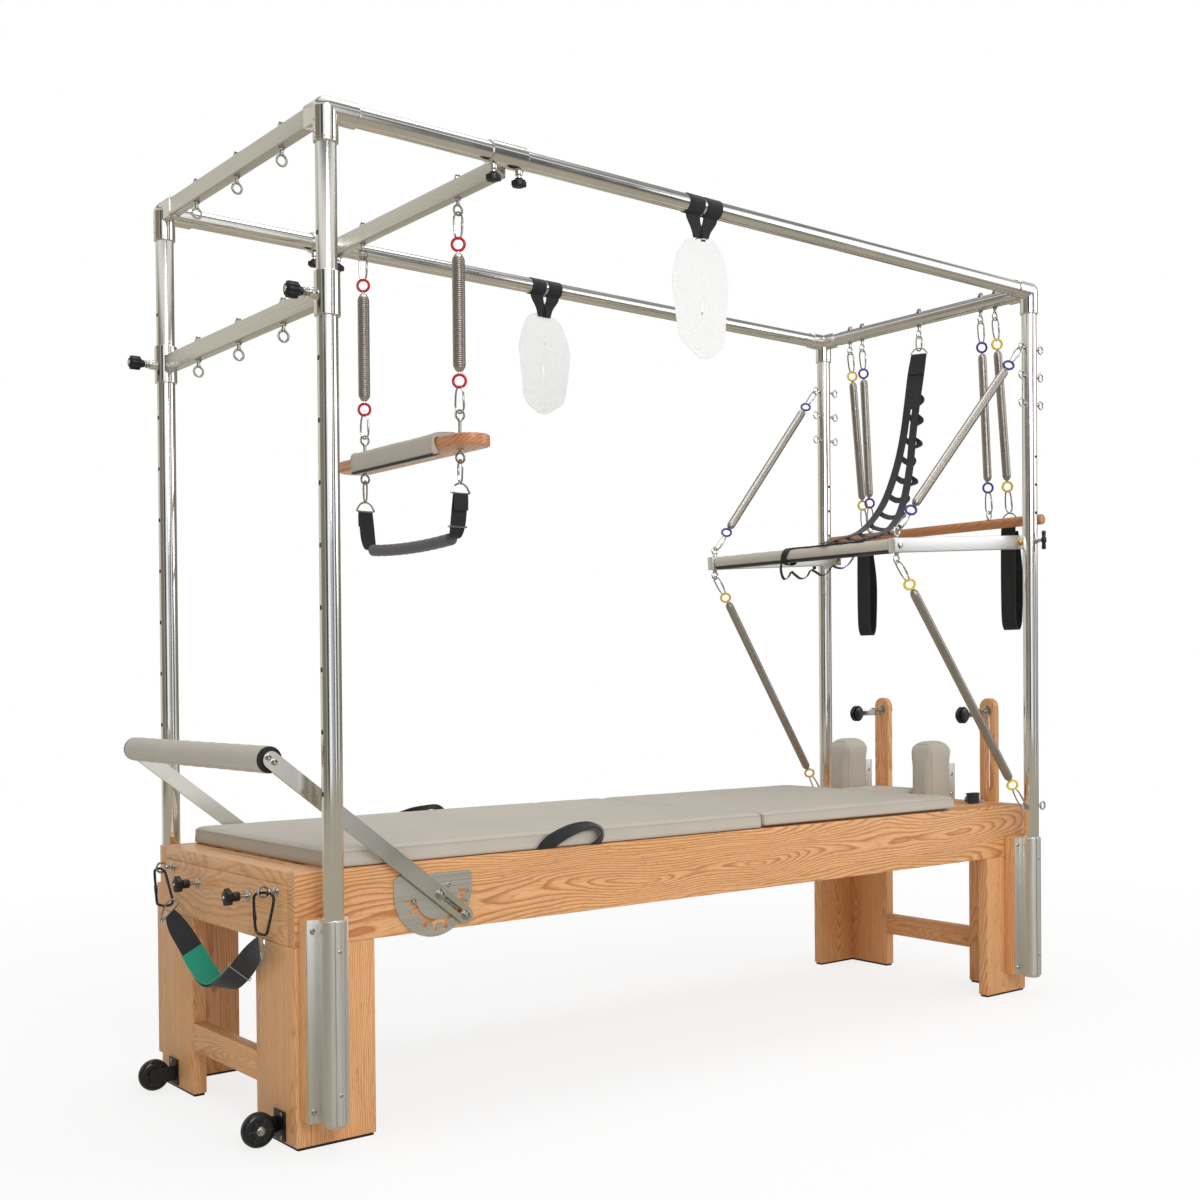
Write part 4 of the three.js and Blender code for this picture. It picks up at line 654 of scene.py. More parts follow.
def screw(shape, at_point, out, radius, height):
    """A domed screw head with a hexagonal recess."""
    base, way = Vector(at_point), Vector(out).normalized()
    profile = [(0, 0), (radius, 0), (radius, height * 0.45), (radius * 0.8, height * 0.9), (radius * 0.42, height),
               (radius * 0.38, height * 0.3), (0, height * 0.3)]
    turned(shape, profile, base, way, sides=18, closed=False)


def bolt_head(shape, at_point, out, across, height):
    """A hexagonal nut or bolt head with a washer."""
    base, way = Vector(at_point), Vector(out).normalized()
    rod(shape, base, base + way * 0.0015, across * 0.72, sides=24, edge=0.0004)
    rod(shape, base + way * 0.0015, base + way * height, across * 0.577, sides=6, edge=0.0007)


def cap_nut(shape, at_point, out):
    """A domed cap nut on its washer."""
    across, height = 0.013, 0.014
    base, way = Vector(at_point), Vector(out).normalized()
    bolt_head(shape, base, way, across, height * 0.5)
    profile = [(across * 0.5, height * 0.5), (across * 0.46, height * 0.72), (across * 0.3, height * 0.92),
               (0, height)]
    turned(shape, profile, base, way, sides=20, closed=False)


def eye_bolt(shape, at_point, out, reach, nut=True):
    """An eye on a threaded shank with its nut against the tube."""
    base, way = Vector(at_point), Vector(out).normalized()
    sizes = bpy.context.scene.trapeze_frame
    radius, thick = sizes.eye / 2, sizes.eye_wire
    rod(shape, base - way * 0.002, base + way * (reach - radius), 0.004, sides=16)
    if nut:
        bolt_head(shape, base, way, 0.011, 0.0055)
    rod(shape, base + way * (reach - radius - 0.004), base + way * (reach - radius + 0.001), 0.0052, sides=20,
        edge=0.001)
    ring(shape, base + way * reach, (0, 1, 0), radius, thick, sides=28, wire_sides=10)


def loop_link(shape, start, end, width, thick, across):
    """A snap hook: a long loop of wire with a barrel at its gate."""
    start, end = Vector(start), Vector(end)
    line = (end - start)
    way, side = line.normalized(), Vector(across).normalized()
    half, total = width / 2, line.length
    shares = [(0, 0), (0.55, 0.06), (0.95, 0.2), (1.0, 0.45), (0.82, 0.8), (0.42, 0.97), (0, 1)]
    near = [start + way * total * v + side * half * u for u, v in shares]
    far = [start + way * total * v - side * half * u for u, v in shares[1:-1]]
    wire(shape, near + far[::-1], thick / 2, closed=True, steps=5, sides=2)
    gate = start + way * total * 0.28 + side * half * 0.99, start + way * total * 0.66 + side * half * 0.93
    rod(shape, *gate, thick * 0.62, sides=14, edge=0.0006)


def carve(shape, cutter):
    """Cuts one closed shape out of another."""
    holders = []
    for part in (shape, cutter):
        mesh = bpy.data.meshes.new("carve")
        part.to_mesh(mesh)
        holder = bpy.data.objects.new("carve", mesh)
        bpy.context.scene.collection.objects.link(holder)
        holders.append(holder)
    modifier = holders[0].modifiers.new("Cut", "BOOLEAN")
    modifier.operation = "DIFFERENCE"
    modifier.solver = "EXACT"
    modifier.object = holders[1]
    graph = bpy.context.evaluated_depsgraph_get()
    result = bpy.data.meshes.new_from_object(holders[0].evaluated_get(graph))
    shape.clear()
    shape.from_mesh(result)
    bpy.data.meshes.remove(result)
    for holder in holders:
        mesh = holder.data
        bpy.data.objects.remove(holder)
        bpy.data.meshes.remove(mesh)
    cutter.free()


def pulled(shape, face, way):
    """Draws a face out into a solid and returns the far points and face."""
    made = bmesh.ops.extrude_face_region(shape, geom=[face])["geom"]
    verts = [g for g in made if isinstance(g, bmesh.types.BMVert)]
    bmesh.ops.translate(shape, vec=way, verts=verts)
    return verts, next(g for g in made if isinstance(g, bmesh.types.BMFace))


def plate(shape, points, way):
    """A flat outline given its thickness along a way."""
    pulled(shape, shape.faces.new([shape.verts.new(p) for p in points]), way)
    bmesh.ops.recalc_face_normals(shape, faces=shape.faces)


def slab(shape, outline, y0, y1):
    """An outline in X and Z given its thickness along Y."""
    plate(shape, [(x, y0, z) for x, z in outline], (0, y1 - y0, 0))


def arc(cx, cz, radius, start, end, steps):
    """Points on an arc in X and Z, its angles in degrees."""
    angles = [math.radians(start + (end - start) * k / steps) for k in range(steps + 1)]
    return [(cx + radius * math.cos(a), cz + radius * math.sin(a)) for a in angles]


def bar_outline(x0, z0, x1, z1, width, steps=10):
    """A flat bar with round ends between two points in X and Z."""
    turn = math.degrees(math.atan2(z1 - z0, x1 - x0))
    return (arc(x1, z1, width / 2, turn - 90, turn + 90, steps)
            + arc(x0, z0, width / 2, turn + 90, turn + 270, steps))


def sleeve(shape, start, end, radius, bore):
    """A fitting's sleeve with a turned line and a softened rim at its open end."""
    start, end = Vector(start), Vector(end)
    reach = (end - start).length
    line, deep, rim = 6 * MM, 0.7 * MM, 1.2 * MM
    profile = [(0, 0), (radius, 0), (radius, reach - line - deep), (radius - deep, reach - line),
               (radius, reach - line + deep), (radius, reach - rim), (radius - rim, reach), (bore, reach),
               (bore, reach - rim), (0, reach - rim)]
    turned(shape, profile, start, end - start, 40, closed=False)


def dee(shape, centre, width, depth, thick, across, down):
    """A D-ring: a straight bar with a bow of wire."""
    centre, side, fall = Vector(centre), Vector(across).normalized(), Vector(down).normalized()
    bow = [(math.cos(a), math.sin(a)) for a in (math.pi * k / 10 for k in range(11))]
    points = [centre + side * width / 2 * u + fall * depth * v for u, v in bow]
    wire(shape, points, thick / 2, closed=True, steps=3, sides=2)


# ---------------------------------------------------------------- places taken from the frame
SIDE_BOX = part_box("side_rail_left")
POST_Y, RAIL_Z = centre_of("top_rail_left")[1:]
HEAD_X = centre_of("socket_head_left")[0]
TABLE_X0, TABLE_X1 = SIDE_BOX[0].x, SIDE_BOX[1].x
TABLE_Y = SIDE_BOX[1].y
TABLE_TOP, TABLE_BOTTOM = SIDE_BOX[1].z, SIDE_BOX[0].z
BOARD = 32 * MM
INNER_Y = TABLE_Y - BOARD
POSTS = (("foot", POST_X), ("head", HEAD_X))
SOCKET_HALF = 46 * MM           # half the width of a post's socket and of the block behind it
TRAPEZE_Y, ROLLDOWN_Y, LOOP_Y = 215 * MM, 234 * MM, 286 * MM      # the three rows of springs
TRAPEZE_TOP = 1480 * MM         # upper face of the trapeze board
SPRING_END = 1423 * MM          # lower eyes of the roll-down and foot loop springs
POST_EYES = (1892, 1811, 1730, 554)
BEAM_DROP = 20 * MM             # half the depth of a flat beam
FOOT_BEAM_Z = 1694 * MM
EYE_REACH = 27 * MM
PIVOT_Z = 1329 * MM             # pivot of the push-through bar
ARM_Y = POST_Y - 43 * MM        # its arms
FOOTBAR_PLATE = 5 * MM
FOOTBAR_ARM = (FOOTBAR_PLATE + 4 * MM, FOOTBAR_PLATE + 12 * MM)   # the arms' faces, out from the table
PULLEY_BOLT_Z = 830 * MM


def build_boards(sizes):
    """The oak rails, ends, ledges and legs, with the feet's pads."""
    edge = sizes.board_edge
    ledge = SIDE_BOX[0].y
    ledge_low, ledge_high = 470 * MM, 486 * MM

    def plank(name, low, high, finish, node=(), body="frame"):
        shape = bmesh.new()
        block(shape, low, high, edge, 3)
        return keep(name, shape, body, finish, node)

    for name, side in SIDES:
        plank(f"rail_board_{name}", (TABLE_X0, side * INNER_Y, TABLE_BOTTOM), (TABLE_X1, side * TABLE_Y, TABLE_TOP),
              f"oak_rail_{name}", f"side_rail_{name}")
        plank(f"rail_ledge_{name}", (TABLE_X0 + BOARD, side * ledge, ledge_low),
              (TABLE_X1 - BOARD, side * INNER_Y, ledge_high), "oak_long")
    foot_ledge, foot_thick = 24 * MM + POST_X, 28 * MM
    plank("end_board_foot_board", (TABLE_X0, -INNER_Y, TABLE_BOTTOM),
          (TABLE_X0 + BOARD, INNER_Y, TABLE_TOP - foot_thick), "oak_cross", "end_board_foot")
    shape = bmesh.new()
    block(shape, (TABLE_X0, -INNER_Y, TABLE_TOP - foot_thick), (foot_ledge, INNER_Y, TABLE_TOP), edge, 3)
    groove = bmesh.new()
    half, reach, deep = 2 * MM, 190 * MM, 12 * MM
    block(groove, (POST_X - half, -reach, TABLE_TOP - deep), (POST_X + half, reach, TABLE_TOP + deep))
    carve(shape, groove)
    keep("end_board_foot_ledge", shape, "frame", "oak_cross", "end_board_foot")
    plank("end_board_head_board", (TABLE_X1 - BOARD, -INNER_Y, TABLE_BOTTOM), (TABLE_X1, INNER_Y, TABLE_TOP),
          "oak_cross", "end_board_head")

    leg, pad, inset = 180 * MM, 6 * MM, 4 * MM
    stretch_low, stretch_high = 106 * MM, 168 * MM
    socket_low, socket_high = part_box("socket_foot_left")
    for (end, post), face, way in zip(POSTS, (TABLE_X0, TABLE_X1), (1, -1)):
        node = f"leg_frame_{end}"
        plank(f"leg_stretcher_{end}", (face + way * MM, leg - TABLE_Y, stretch_low),
              (face + way * (BOARD - MM), TABLE_Y - leg, stretch_high), "oak_stretcher", node)
        for name, side in SIDES:
            plank(f"leg_front_{end}_{name}", (face, side * (TABLE_Y - leg), pad),
                  (face + way * BOARD, side * TABLE_Y, TABLE_BOTTOM), "oak_leg_front", node)
            plank(f"leg_side_{end}_{name}", (face + way * BOARD, side * INNER_Y, pad),
                  (face + way * leg, side * TABLE_Y, TABLE_BOTTOM), "oak_leg_side", node)
            plank(f"leg_spacer_{end}_{name}", (post - SOCKET_HALF, side * TABLE_Y, socket_low.z),
                  (post + SOCKET_HALF, side * socket_low.y, socket_high.z), "oak_leg_side", node)
            shape = bmesh.new()
            block(shape, (face + way * inset, side * (TABLE_Y - leg + inset), 0),
                  (face + way * (BOARD - inset), side * (TABLE_Y - inset), pad), 0.8 * MM)
            block(shape, (face + way * (BOARD - inset), side * (INNER_Y + inset), 0),
                  (face + way * (leg - inset), side * (TABLE_Y - inset), pad), 0.8 * MM)
            keep(f"foot_pad_{end}_{name}", shape, "frame", "rubber", node)


def build_end_fittings():
    """The strap eyes and the star knobs on the foot end board."""
    eye_y, eye_z = 264, 512
    knob_y, knob_z, knob_x = 130, 488, -73
    for name, side in SIDES:
        shape = bmesh.new()
        rod(shape, at(-53, side * eye_y, eye_z), at(-55.5, side * eye_y, eye_z), 11 * MM, sides=32, edge=0.5 * MM)
        eye_bolt(shape, at(-55, side * eye_y, eye_z), (-1, 0, 0), EYE_REACH)
        keep(f"strap_eye_{name}", shape, "frame", "chrome", "end_board_foot")
        shape = bmesh.new()
        rod(shape, at(-53, side * knob_y, knob_z), at(knob_x - 2, side * knob_y, knob_z), 4.5 * MM, sides=20)
        rod(shape, at(-53, side * knob_y, knob_z), at(-55, side * knob_y, knob_z), 12 * MM, sides=28, edge=0.5 * MM)
        rod(shape, at(-105, side * knob_y, knob_z), at(-109, side * knob_y, knob_z), 4 * MM, sides=16, edge=1.2 * MM)
        keep(f"end_knob_stud_{name}", shape, "frame", "chrome")
        shape = bmesh.new()
        rod(shape, at(knob_x, side * knob_y, knob_z), at(knob_x - 15, side * knob_y, knob_z), 10 * MM, sides=32,
            edge=1.2 * MM)
        star_knob(shape, at(knob_x - 14, side * knob_y, knob_z), (-1, 0, 0), 18.5 * MM, 19 * MM, 5)
        keep(f"end_knob_{name}", shape, "frame", "plastic", sharp=50)


def build_wheels(sizes):
    """The transport wheels with their spokes, brackets and axles."""
    for name, side in SIDES:
        lo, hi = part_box(f"wheel_{name}")
        centre = (lo + hi) / 2
        radius, half = sizes.wheel_diameter / 2, (hi.y - lo.y) / 2
        shape = bmesh.new()
        profile = [(4.8 * MM, -half), (radius * 0.5, -half), (radius * 0.52, -half * 0.8),
                   (radius * 0.76, -half * 0.8), (radius * 0.79, -half), (radius * 0.86, -half * 0.94),
                   (radius * 0.955, -half * 0.7), (radius, -half * 0.3)]
        profile += [(r, -h) for r, h in reversed(profile)]
        turned(shape, profile, centre, (0, 1, 0), 64)
        keep(f"wheel_tyre_{name}", shape, f"wheel_{name}", "gloss_black", f"wheel_{name}")
        shape = bmesh.new()
        for way in (-1, 1):
            out = way * side
            face = centre + Vector((0, out * half * 1.02, 0))
            rod(shape, centre, face, 9 * MM, sides=32, edge=0.6 * MM)
        keep(f"wheel_hub_{name}", shape, f"wheel_{name}", "chrome")
        shape = bmesh.new()
        for way in (-1, 1):
            for k in range(6):
                a = math.pi / 3 * k
                out = Vector((math.cos(a), 0, math.sin(a))) * radius
                face = centre + Vector((0, way * half * 0.84, 0))
                rod(shape, face + out * 0.25, face + out * 0.77, 2.6 * MM, 1.8 * MM, 12)
        keep(f"wheel_spokes_{name}", shape, f"wheel_{name}", "spoke")
        low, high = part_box(f"wheel_bracket_{name}")
        shape = bmesh.new()
        block(shape, (high.x - 3 * MM, centre.y - 25 * MM, low.z), (high.x, centre.y + 25 * MM, high.z), 0.8 * MM)
        inner = centre.y - side * (half + 2.1 * MM)
        outline = bar_outline(centre.x, centre.z, high.x + 10 * MM, centre.z, 34 * MM)
        outline = [(min(x, high.x - 2 * MM), z) for x, z in outline]
        cut_flat = [p for i, p in enumerate(outline) if p != outline[i - 1]]
        slab(shape, cut_flat, inner - 1.5 * MM, inner + 1.5 * MM)
        keep(f"wheel_plate_{name}", shape, "frame", "plastic", f"wheel_bracket_{name}")
        shape = bmesh.new()
        pin(shape, centre.x, centre.z, inner, centre.y + side * (half + 3 * MM), 4 * MM, sides=20)
        bolt_head(shape, (centre.x, centre.y + side * (half + 0.8 * MM), centre.z), (0, side, 0), 13 * MM, 6.5 * MM)
        for lift in (-21, 24):
            screw(shape, (high.x - 3 * MM, centre.y + side * 10 * MM, centre.z + lift * MM), (-1, 0, 0), 4.5 * MM,
                  2.4 * MM)
        keep(f"wheel_axle_{name}", shape, "frame", "chrome")


def build_sockets():
    """The sockets that hold the frame's posts: a plate, a grooved boss and their screws."""
    for end, post in POSTS:
        for name, side in SIDES:
            lo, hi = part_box(f"socket_{end}_{name}")
            back = min(abs(lo.y), abs(hi.y))
            z0, z1 = lo.z, hi.z
            shape = bmesh.new()
            block(shape, (post - SOCKET_HALF, side * back, z0), (post + SOCKET_HALF, side * (back + 4 * MM), z1),
                  1.2 * MM)
            block(shape, (post - 22 * MM, side * (back + 3 * MM), z0 + MM),
                  (post + 22 * MM, side * (POST_Y - 8 * MM), z1 - MM), 2 * MM)
            keep(f"socket_casting_{end}_{name}", shape, "frame", "aluminium", f"socket_{end}_{name}")
            shape = bmesh.new()
            turned(shape, [(21.2 * MM, 0), (24.8 * MM, 0), (26 * MM, 1.2 * MM), (26 * MM, z1 - z0 - 1.2 * MM),
                           (24.8 * MM, z1 - z0), (21.2 * MM, z1 - z0)], (post, side * POST_Y, z0), (0, 0, 1), 44)
            grooves = bmesh.new()
            for x in (-10, 10):
                rim = POST_Y + 21 * MM
                block(grooves, (post + (x - 1.3) * MM, side * rim, z0 - MM),
                      (post + (x + 1.3) * MM, side * (rim + 8 * MM), z1 + MM))
            carve(shape, grooves)
            keep(f"socket_boss_{end}_{name}", shape, "frame", "aluminium", f"socket_{end}_{name}", sharp=25)
            shape = bmesh.new()
            for x in (-34, 34):
                for z in (z0 + 22 * MM, z1 - 22 * MM):
                    screw(shape, (post + x * MM, side * (back + 4 * MM), z), (0, side, 0), 6 * MM, 3 * MM)
            for z in (z0 + 60 * MM, z1 - 60 * MM):
                screw(shape, (post, side * (POST_Y + 25.6 * MM), z), (0, side, 0), 4 * MM, 1.2 * MM)
            keep(f"socket_screws_{end}_{name}", shape, "frame", "chrome")


# The foot bar turns about its pivot; its bolt drops into one of the plates' notches. Angles in degrees.
FOOTBAR_X, FOOTBAR_Z = at(276, 0, 0).x, 483 * MM
ROLL_X, ROLL_Z = centre_of("footbar_roll")[::2]
LEAN = math.degrees(math.atan2(ROLL_Z - FOOTBAR_Z, ROLL_X - FOOTBAR_X))
LOCK = LEAN + 180
NOTCHES = (190, 206, 243, 264, 285, LOCK, 342, 360)
WASHER = 1.6 * MM


def about_pivot(radius, degrees):
    """A point in X and Z about the foot bar's pivot, its radius in millimetres."""
    a = math.radians(degrees)
    return FOOTBAR_X + radius * MM * math.cos(a), FOOTBAR_Z + radius * MM * math.sin(a)


def build_footbar_plates():
    """The notched steel plates on the rails, with their screws and the foot bar's pivots."""
    plate_x, plate_r, top, rim = FOOTBAR_X - 9 * MM, 96 * MM, 528 * MM, 12 * MM
    outline = (arc(plate_x, FOOTBAR_Z + 7 * MM, plate_r, 180, 360, 40)
               + arc(plate_x + plate_r - rim, top - rim, rim, 0, 90, 6)
               + arc(plate_x - plate_r + rim, top - rim, rim, 90, 180, 6))
    slot = arc(FOOTBAR_X, FOOTBAR_Z, 62 * MM, 186, 362, 40) + arc(FOOTBAR_X, FOOTBAR_Z, 53 * MM, 362, 186, 40)
    notches = [bar_outline(*about_pivot(57, a), *about_pivot(74, a), 10 * MM) for a in NOTCHES]
    for name, side in SIDES:
        face = side * (TABLE_Y + FOOTBAR_PLATE)
        y0, y1 = sorted((side * TABLE_Y, face))
        shape = bmesh.new()
        slab(shape, outline, y0, y1)
        for hole in (slot, *notches):
            cutter = bmesh.new()
            slab(cutter, hole, y0 - MM, y1 + MM)
            carve(shape, cutter)
        keep(f"footbar_plate_steel_{name}", shape, "frame", "plate", f"footbar_plate_{name}", sharp=25)
        shape = bmesh.new()
        for x, z in ((304, 500), (219, 472)):
            screw(shape, (at(x, 0, 0).x, face, z * MM), (0, side, 0), 5.5 * MM, 2.6 * MM)
        arm_inner, arm_face = (side * (TABLE_Y + reach) for reach in FOOTBAR_ARM)
        pin(shape, FOOTBAR_X, FOOTBAR_Z, face, arm_inner, 14 * MM, edge=0.5 * MM)
        pin(shape, FOOTBAR_X, FOOTBAR_Z, arm_inner - side * MM, arm_face, 6 * MM)
        pin(shape, FOOTBAR_X, FOOTBAR_Z, arm_face, arm_face + side * WASHER, 12 * MM, edge=0.5 * MM)
        bolt_head(shape, (FOOTBAR_X, arm_face + side * WASHER, FOOTBAR_Z), (0, side, 0), 15 * MM, 8 * MM)
        keep(f"footbar_pivot_{name}", shape, "frame", "chrome")


def build_footbar_arms():
    """The arms with their lock bolts, and the spring in each arm's slot."""
    lift = math.hypot(ROLL_X - FOOTBAR_X, ROLL_Z - FOOTBAR_Z) / MM
    x, z = about_pivot(81, LOCK)
    for name, side in SIDES:
        inner, face = (side * (TABLE_Y + reach) for reach in FOOTBAR_ARM)
        y0, y1 = sorted((inner, face))
        shape = bmesh.new()
        slab(shape, bar_outline(x, z, ROLL_X, ROLL_Z, 35 * MM, 12), y0, y1)
        cutter = bmesh.new()
        slab(cutter, bar_outline(*about_pivot(62, LOCK), *about_pivot(14, LOCK), 11 * MM), y0 - MM, y1 + MM)
        carve(shape, cutter)
        keep(f"footbar_arm_{name}", shape, "footbar", "arm", "footbar_frame", sharp=25)
        shape = bmesh.new()
        pin(shape, x, z, side * (TABLE_Y + FOOTBAR_PLATE + MM), face, 7 * MM, sides=28, edge=0.8 * MM)
        pin(shape, x, z, face, face + side * WASHER, 11 * MM, sides=28, edge=0.5 * MM)
        bolt_head(shape, (x, face + side * WASHER, z), (0, side, 0), 14 * MM, 7 * MM)
        for step in (-7, 9):
            bolt_x, bolt_z = about_pivot(lift + step, LEAN)
            screw(shape, (bolt_x, face, bolt_z), (0, side, 0), 6.5 * MM, 4 * MM)
        keep(f"footbar_bolts_{name}", shape, "footbar", "chrome")
        shape = bmesh.new()
        (near_x, near_z), (far_x, far_z) = about_pivot(60, LOCK), about_pivot(18, LOCK)
        middle = (y0 + y1) / 2
        helix(shape, (near_x, middle, near_z), (far_x, middle, far_z), 3.6 * MM, 0.55 * MM, 15)
        keep(f"footbar_slot_spring_{name}", shape, "footbar", "spring")


def build_footbar_roll():
    """The padded roll between the arms, on its rod."""
    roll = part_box("footbar_roll")
    reach = TABLE_Y + 9 * MM
    shape = bmesh.new()
    pin(shape, ROLL_X, ROLL_Z, -reach, reach, 10 * MM)
    keep("footbar_rod", shape, "footbar", "chrome")
    shape = bmesh.new()
    for side in (-1, 1):
        pin(shape, ROLL_X, ROLL_Z, side * (roll[1].y - MM), side * (TABLE_Y + 8.8 * MM), 26.6 * MM, sides=48, edge=MM)
    keep("footbar_roll_caps", shape, "footbar", "rubber")
    padded_roll("footbar_roll_cover", roll, 27 * MM, "footbar", "footbar_roll")


def padded_roll(name, box, radius, body, node):
    """A foam roll in vinyl along Y, with a sewn line along its length."""
    cx, cz = (box[0].x + box[1].x) / 2, (box[0].z + box[1].z) / 2
    y0, y1 = box[0].y, box[1].y
    half, steps = (y1 - y0) / 2, 40
    shape = bmesh.new()
    rim = 5 * MM
    sides = [(radius - rim + rim * math.sin(a), -half + rim - rim * math.cos(a))
             for a in (math.pi / 2 * k / 5 for k in range(6))]
    middle = [(radius + 0.5 * MM * math.sin(k * 1.7), -half + rim + (half - rim) * 2 * k / steps)
              for k in range(1, steps)]
    profile = [(0, -half)] + sides + middle + [(r, -h) for r, h in reversed(sides)] + [(0, half)]
    turned(shape, profile, (cx, (y0 + y1) / 2, cz), (0, 1, 0), 48, closed=False)
    keep(name, shape, body, "vinyl", node, sharp=60)
    shape = bmesh.new()
    seam = [(cx - radius * 0.64, y0 + rim + (y1 - y0 - rim * 2) * k / 12, cz - radius * 0.76) for k in range(13)]
    wire(shape, seam, 0.9 * MM, steps=1, sides=1)
    keep(f"{name}_seam", shape, body, "piping")


def helix(shape, start, end, radius, thick, turns):
    """A round wire wound closely about a line, drawn in at both ends."""
    start, end = Vector(start), Vector(end)
    turn = along(end - start)
    reach = (end - start).length
    steps = 12
    count = int(turns * steps)
    points = []
    for k in range(count + 1):
        share = k / count
        angle = 2 * math.pi * k / steps
        near = min(k, count - k) / steps
        pull = min(1.0, 0.35 + 0.65 * math.sin(min(near / 3.0, 1) * math.pi / 2))
        spot = Vector((radius * pull * math.cos(angle), radius * pull * math.sin(angle), reach * share))
        points.append(start + turn @ spot)
    wire(shape, points, thick, steps=1, sides=1)


FOOT_HOLES = (10, 1811, 122, 5)      # plunger holes: how many, the highest, their pitch and radius in mm
HEAD_HOLES = (3, 1573, 81.5, 4.5)    # pivot holes


def bored_post(name, x, y, radius, bottom, holes, reach, sides):
    """A post with a row of round holes."""
    shape = bmesh.new()
    rod(shape, (x, y, bottom), (x, y, RAIL_Z), radius, sides=48, edge=0.8 * MM)
    cutter = bmesh.new()
    count, highest, pitch, bore = holes
    for k in range(count):
        z = (highest - pitch * k) * MM
        start, end = (Vector((x, y, z)) + Vector(way) for way in reach)
        rod(cutter, start, end, bore * MM, sides=sides)
    carve(shape, cutter)
    node = name.replace("_tube", "")
    keep(name, shape, "frame", "steel", node, sharp=40)


def build_frame_tubes(sizes):
    """The posts, the top rails, their corner fittings and eyes, and the top beams."""
    radius, sleeve_r = sizes.tube / 2, sizes.sleeve / 2
    reach = 66 * MM
    bottom = 56 * MM
    beam_x, beam_z = 29 * MM, 44 * MM
    for name, side in SIDES:
        y = side * POST_Y
        bored_post(f"post_foot_tube_{name}", POST_X, y, radius, bottom, FOOT_HOLES,
                   ((-radius - 4 * MM, 0, 0), (-radius + 12 * MM, 0, 0)), 24)
        bored_post(f"post_head_tube_{name}", HEAD_X, y, radius, bottom, HEAD_HOLES,
                   ((0, -40 * MM, 0), (0, 40 * MM, 0)), 20)
        shape = bmesh.new()
        rod(shape, (POST_X, y, RAIL_Z), (HEAD_X, y, RAIL_Z), radius, sides=48)
        keep(f"top_rail_tube_{name}", shape, "frame", "steel", f"top_rail_{name}")
        for post, way, node in ((POST_X, 1, f"post_foot_{name}"), (HEAD_X, -1, f"post_head_{name}")):
            shape = bmesh.new()
            centre = Vector((post, y, RAIL_Z))
            sphere(shape, centre, sleeve_r, 40)
            sleeve(shape, centre, centre - Vector((0, 0, reach)), sleeve_r, radius)
            sleeve(shape, centre, centre + Vector((way * reach, 0, 0)), sleeve_r, radius)
            if way > 0:
                block(shape, (post - beam_x / 2, y, RAIL_Z - beam_z / 2),
                      (post + beam_x / 2, y - side * reach, RAIL_Z + beam_z / 2), 1.5 * MM)
            else:
                sleeve(shape, centre, centre - Vector((0, side * reach, 0)), sleeve_r, radius)
            for down in (24 * MM, 48 * MM):
                screw(shape, centre + Vector((-way * (sleeve_r - 0.4 * MM), 0, -down)), (-way, 0, 0), 4 * MM,
                      1.6 * MM)
            keep(f"corner_{node}", shape, "frame", "steel", node, sharp=30)

        shape = bmesh.new()
        for z in POST_EYES:
            eye_bolt(shape, (HEAD_X - radius, y, z * MM), (-1, 0, 0), 15.5 * MM)
            eye_bolt(shape, (HEAD_X + radius, y, z * MM), (1, 0, 0), 34 * MM)
        keep(f"post_eyes_{name}", shape, "frame", "chrome", f"post_head_{name}")
        build_pivot(name, side, radius)

    end = POST_Y - 23 * MM
    build_beam("top_beam_foot", POST_X, RAIL_Z, end, False, (-TRAPEZE_Y, 0, TRAPEZE_Y), sizes, "frame")
    build_beam("top_beam_head", HEAD_X, RAIL_Z, end, True, (-LOOP_Y, -ROLLDOWN_Y, 0, ROLLDOWN_Y, LOOP_Y), sizes,
               "frame")


PIVOT_KNOB = ((0, -27), (4.4, -26.6), (6, -24.5), (6, -18), (5.2, -9), (7.5, -5), (7.5, 5), (5.2, 9), (6, 18),
              (6, 24.5), (4.4, 26.6), (0, 27))


def build_pivot(name, side, radius):
    """The push-through bar's brass bush at a head post, with its T-knob outside."""

    def across(start, end, *sizes, **more):
        pin(shape, HEAD_X, PIVOT_Z, side * (POST_Y + start), side * (POST_Y + end), *sizes, **more)

    arm_in, knob = -55.5 * MM, 47 * MM
    shape = bmesh.new()
    across(arm_in - 5 * MM, 0, 6 * MM, sides=24)
    turned(shape, [(0, 0), (10 * MM, 0), (10 * MM, 3 * MM), (7 * MM, 5.4 * MM), (0, 5.4 * MM)],
           (HEAD_X, side * (POST_Y + arm_in), PIVOT_Z), (0, -side, 0), 28, closed=False)
    across(-30.2 * MM, MM - radius, 10 * MM, edge=0.8 * MM)
    keep(f"pivot_bush_{name}", shape, "frame", "brass", f"post_head_{name}")
    shape = bmesh.new()
    across(radius - MM, knob, 4.5 * MM, sides=20)
    across(radius - 0.5 * MM, radius + 5 * MM, 9 * MM, sides=28, edge=MM)
    keep(f"pivot_stem_{name}", shape, "frame", "chrome")
    shape = bmesh.new()
    turned(shape, [(r * MM, h * MM) for r, h in PIVOT_KNOB], (HEAD_X, side * (POST_Y + knob), PIVOT_Z), (0, 0, 1), 24,
           closed=False)
    keep(f"pivot_knob_{name}", shape, "frame", "plastic", sharp=50)


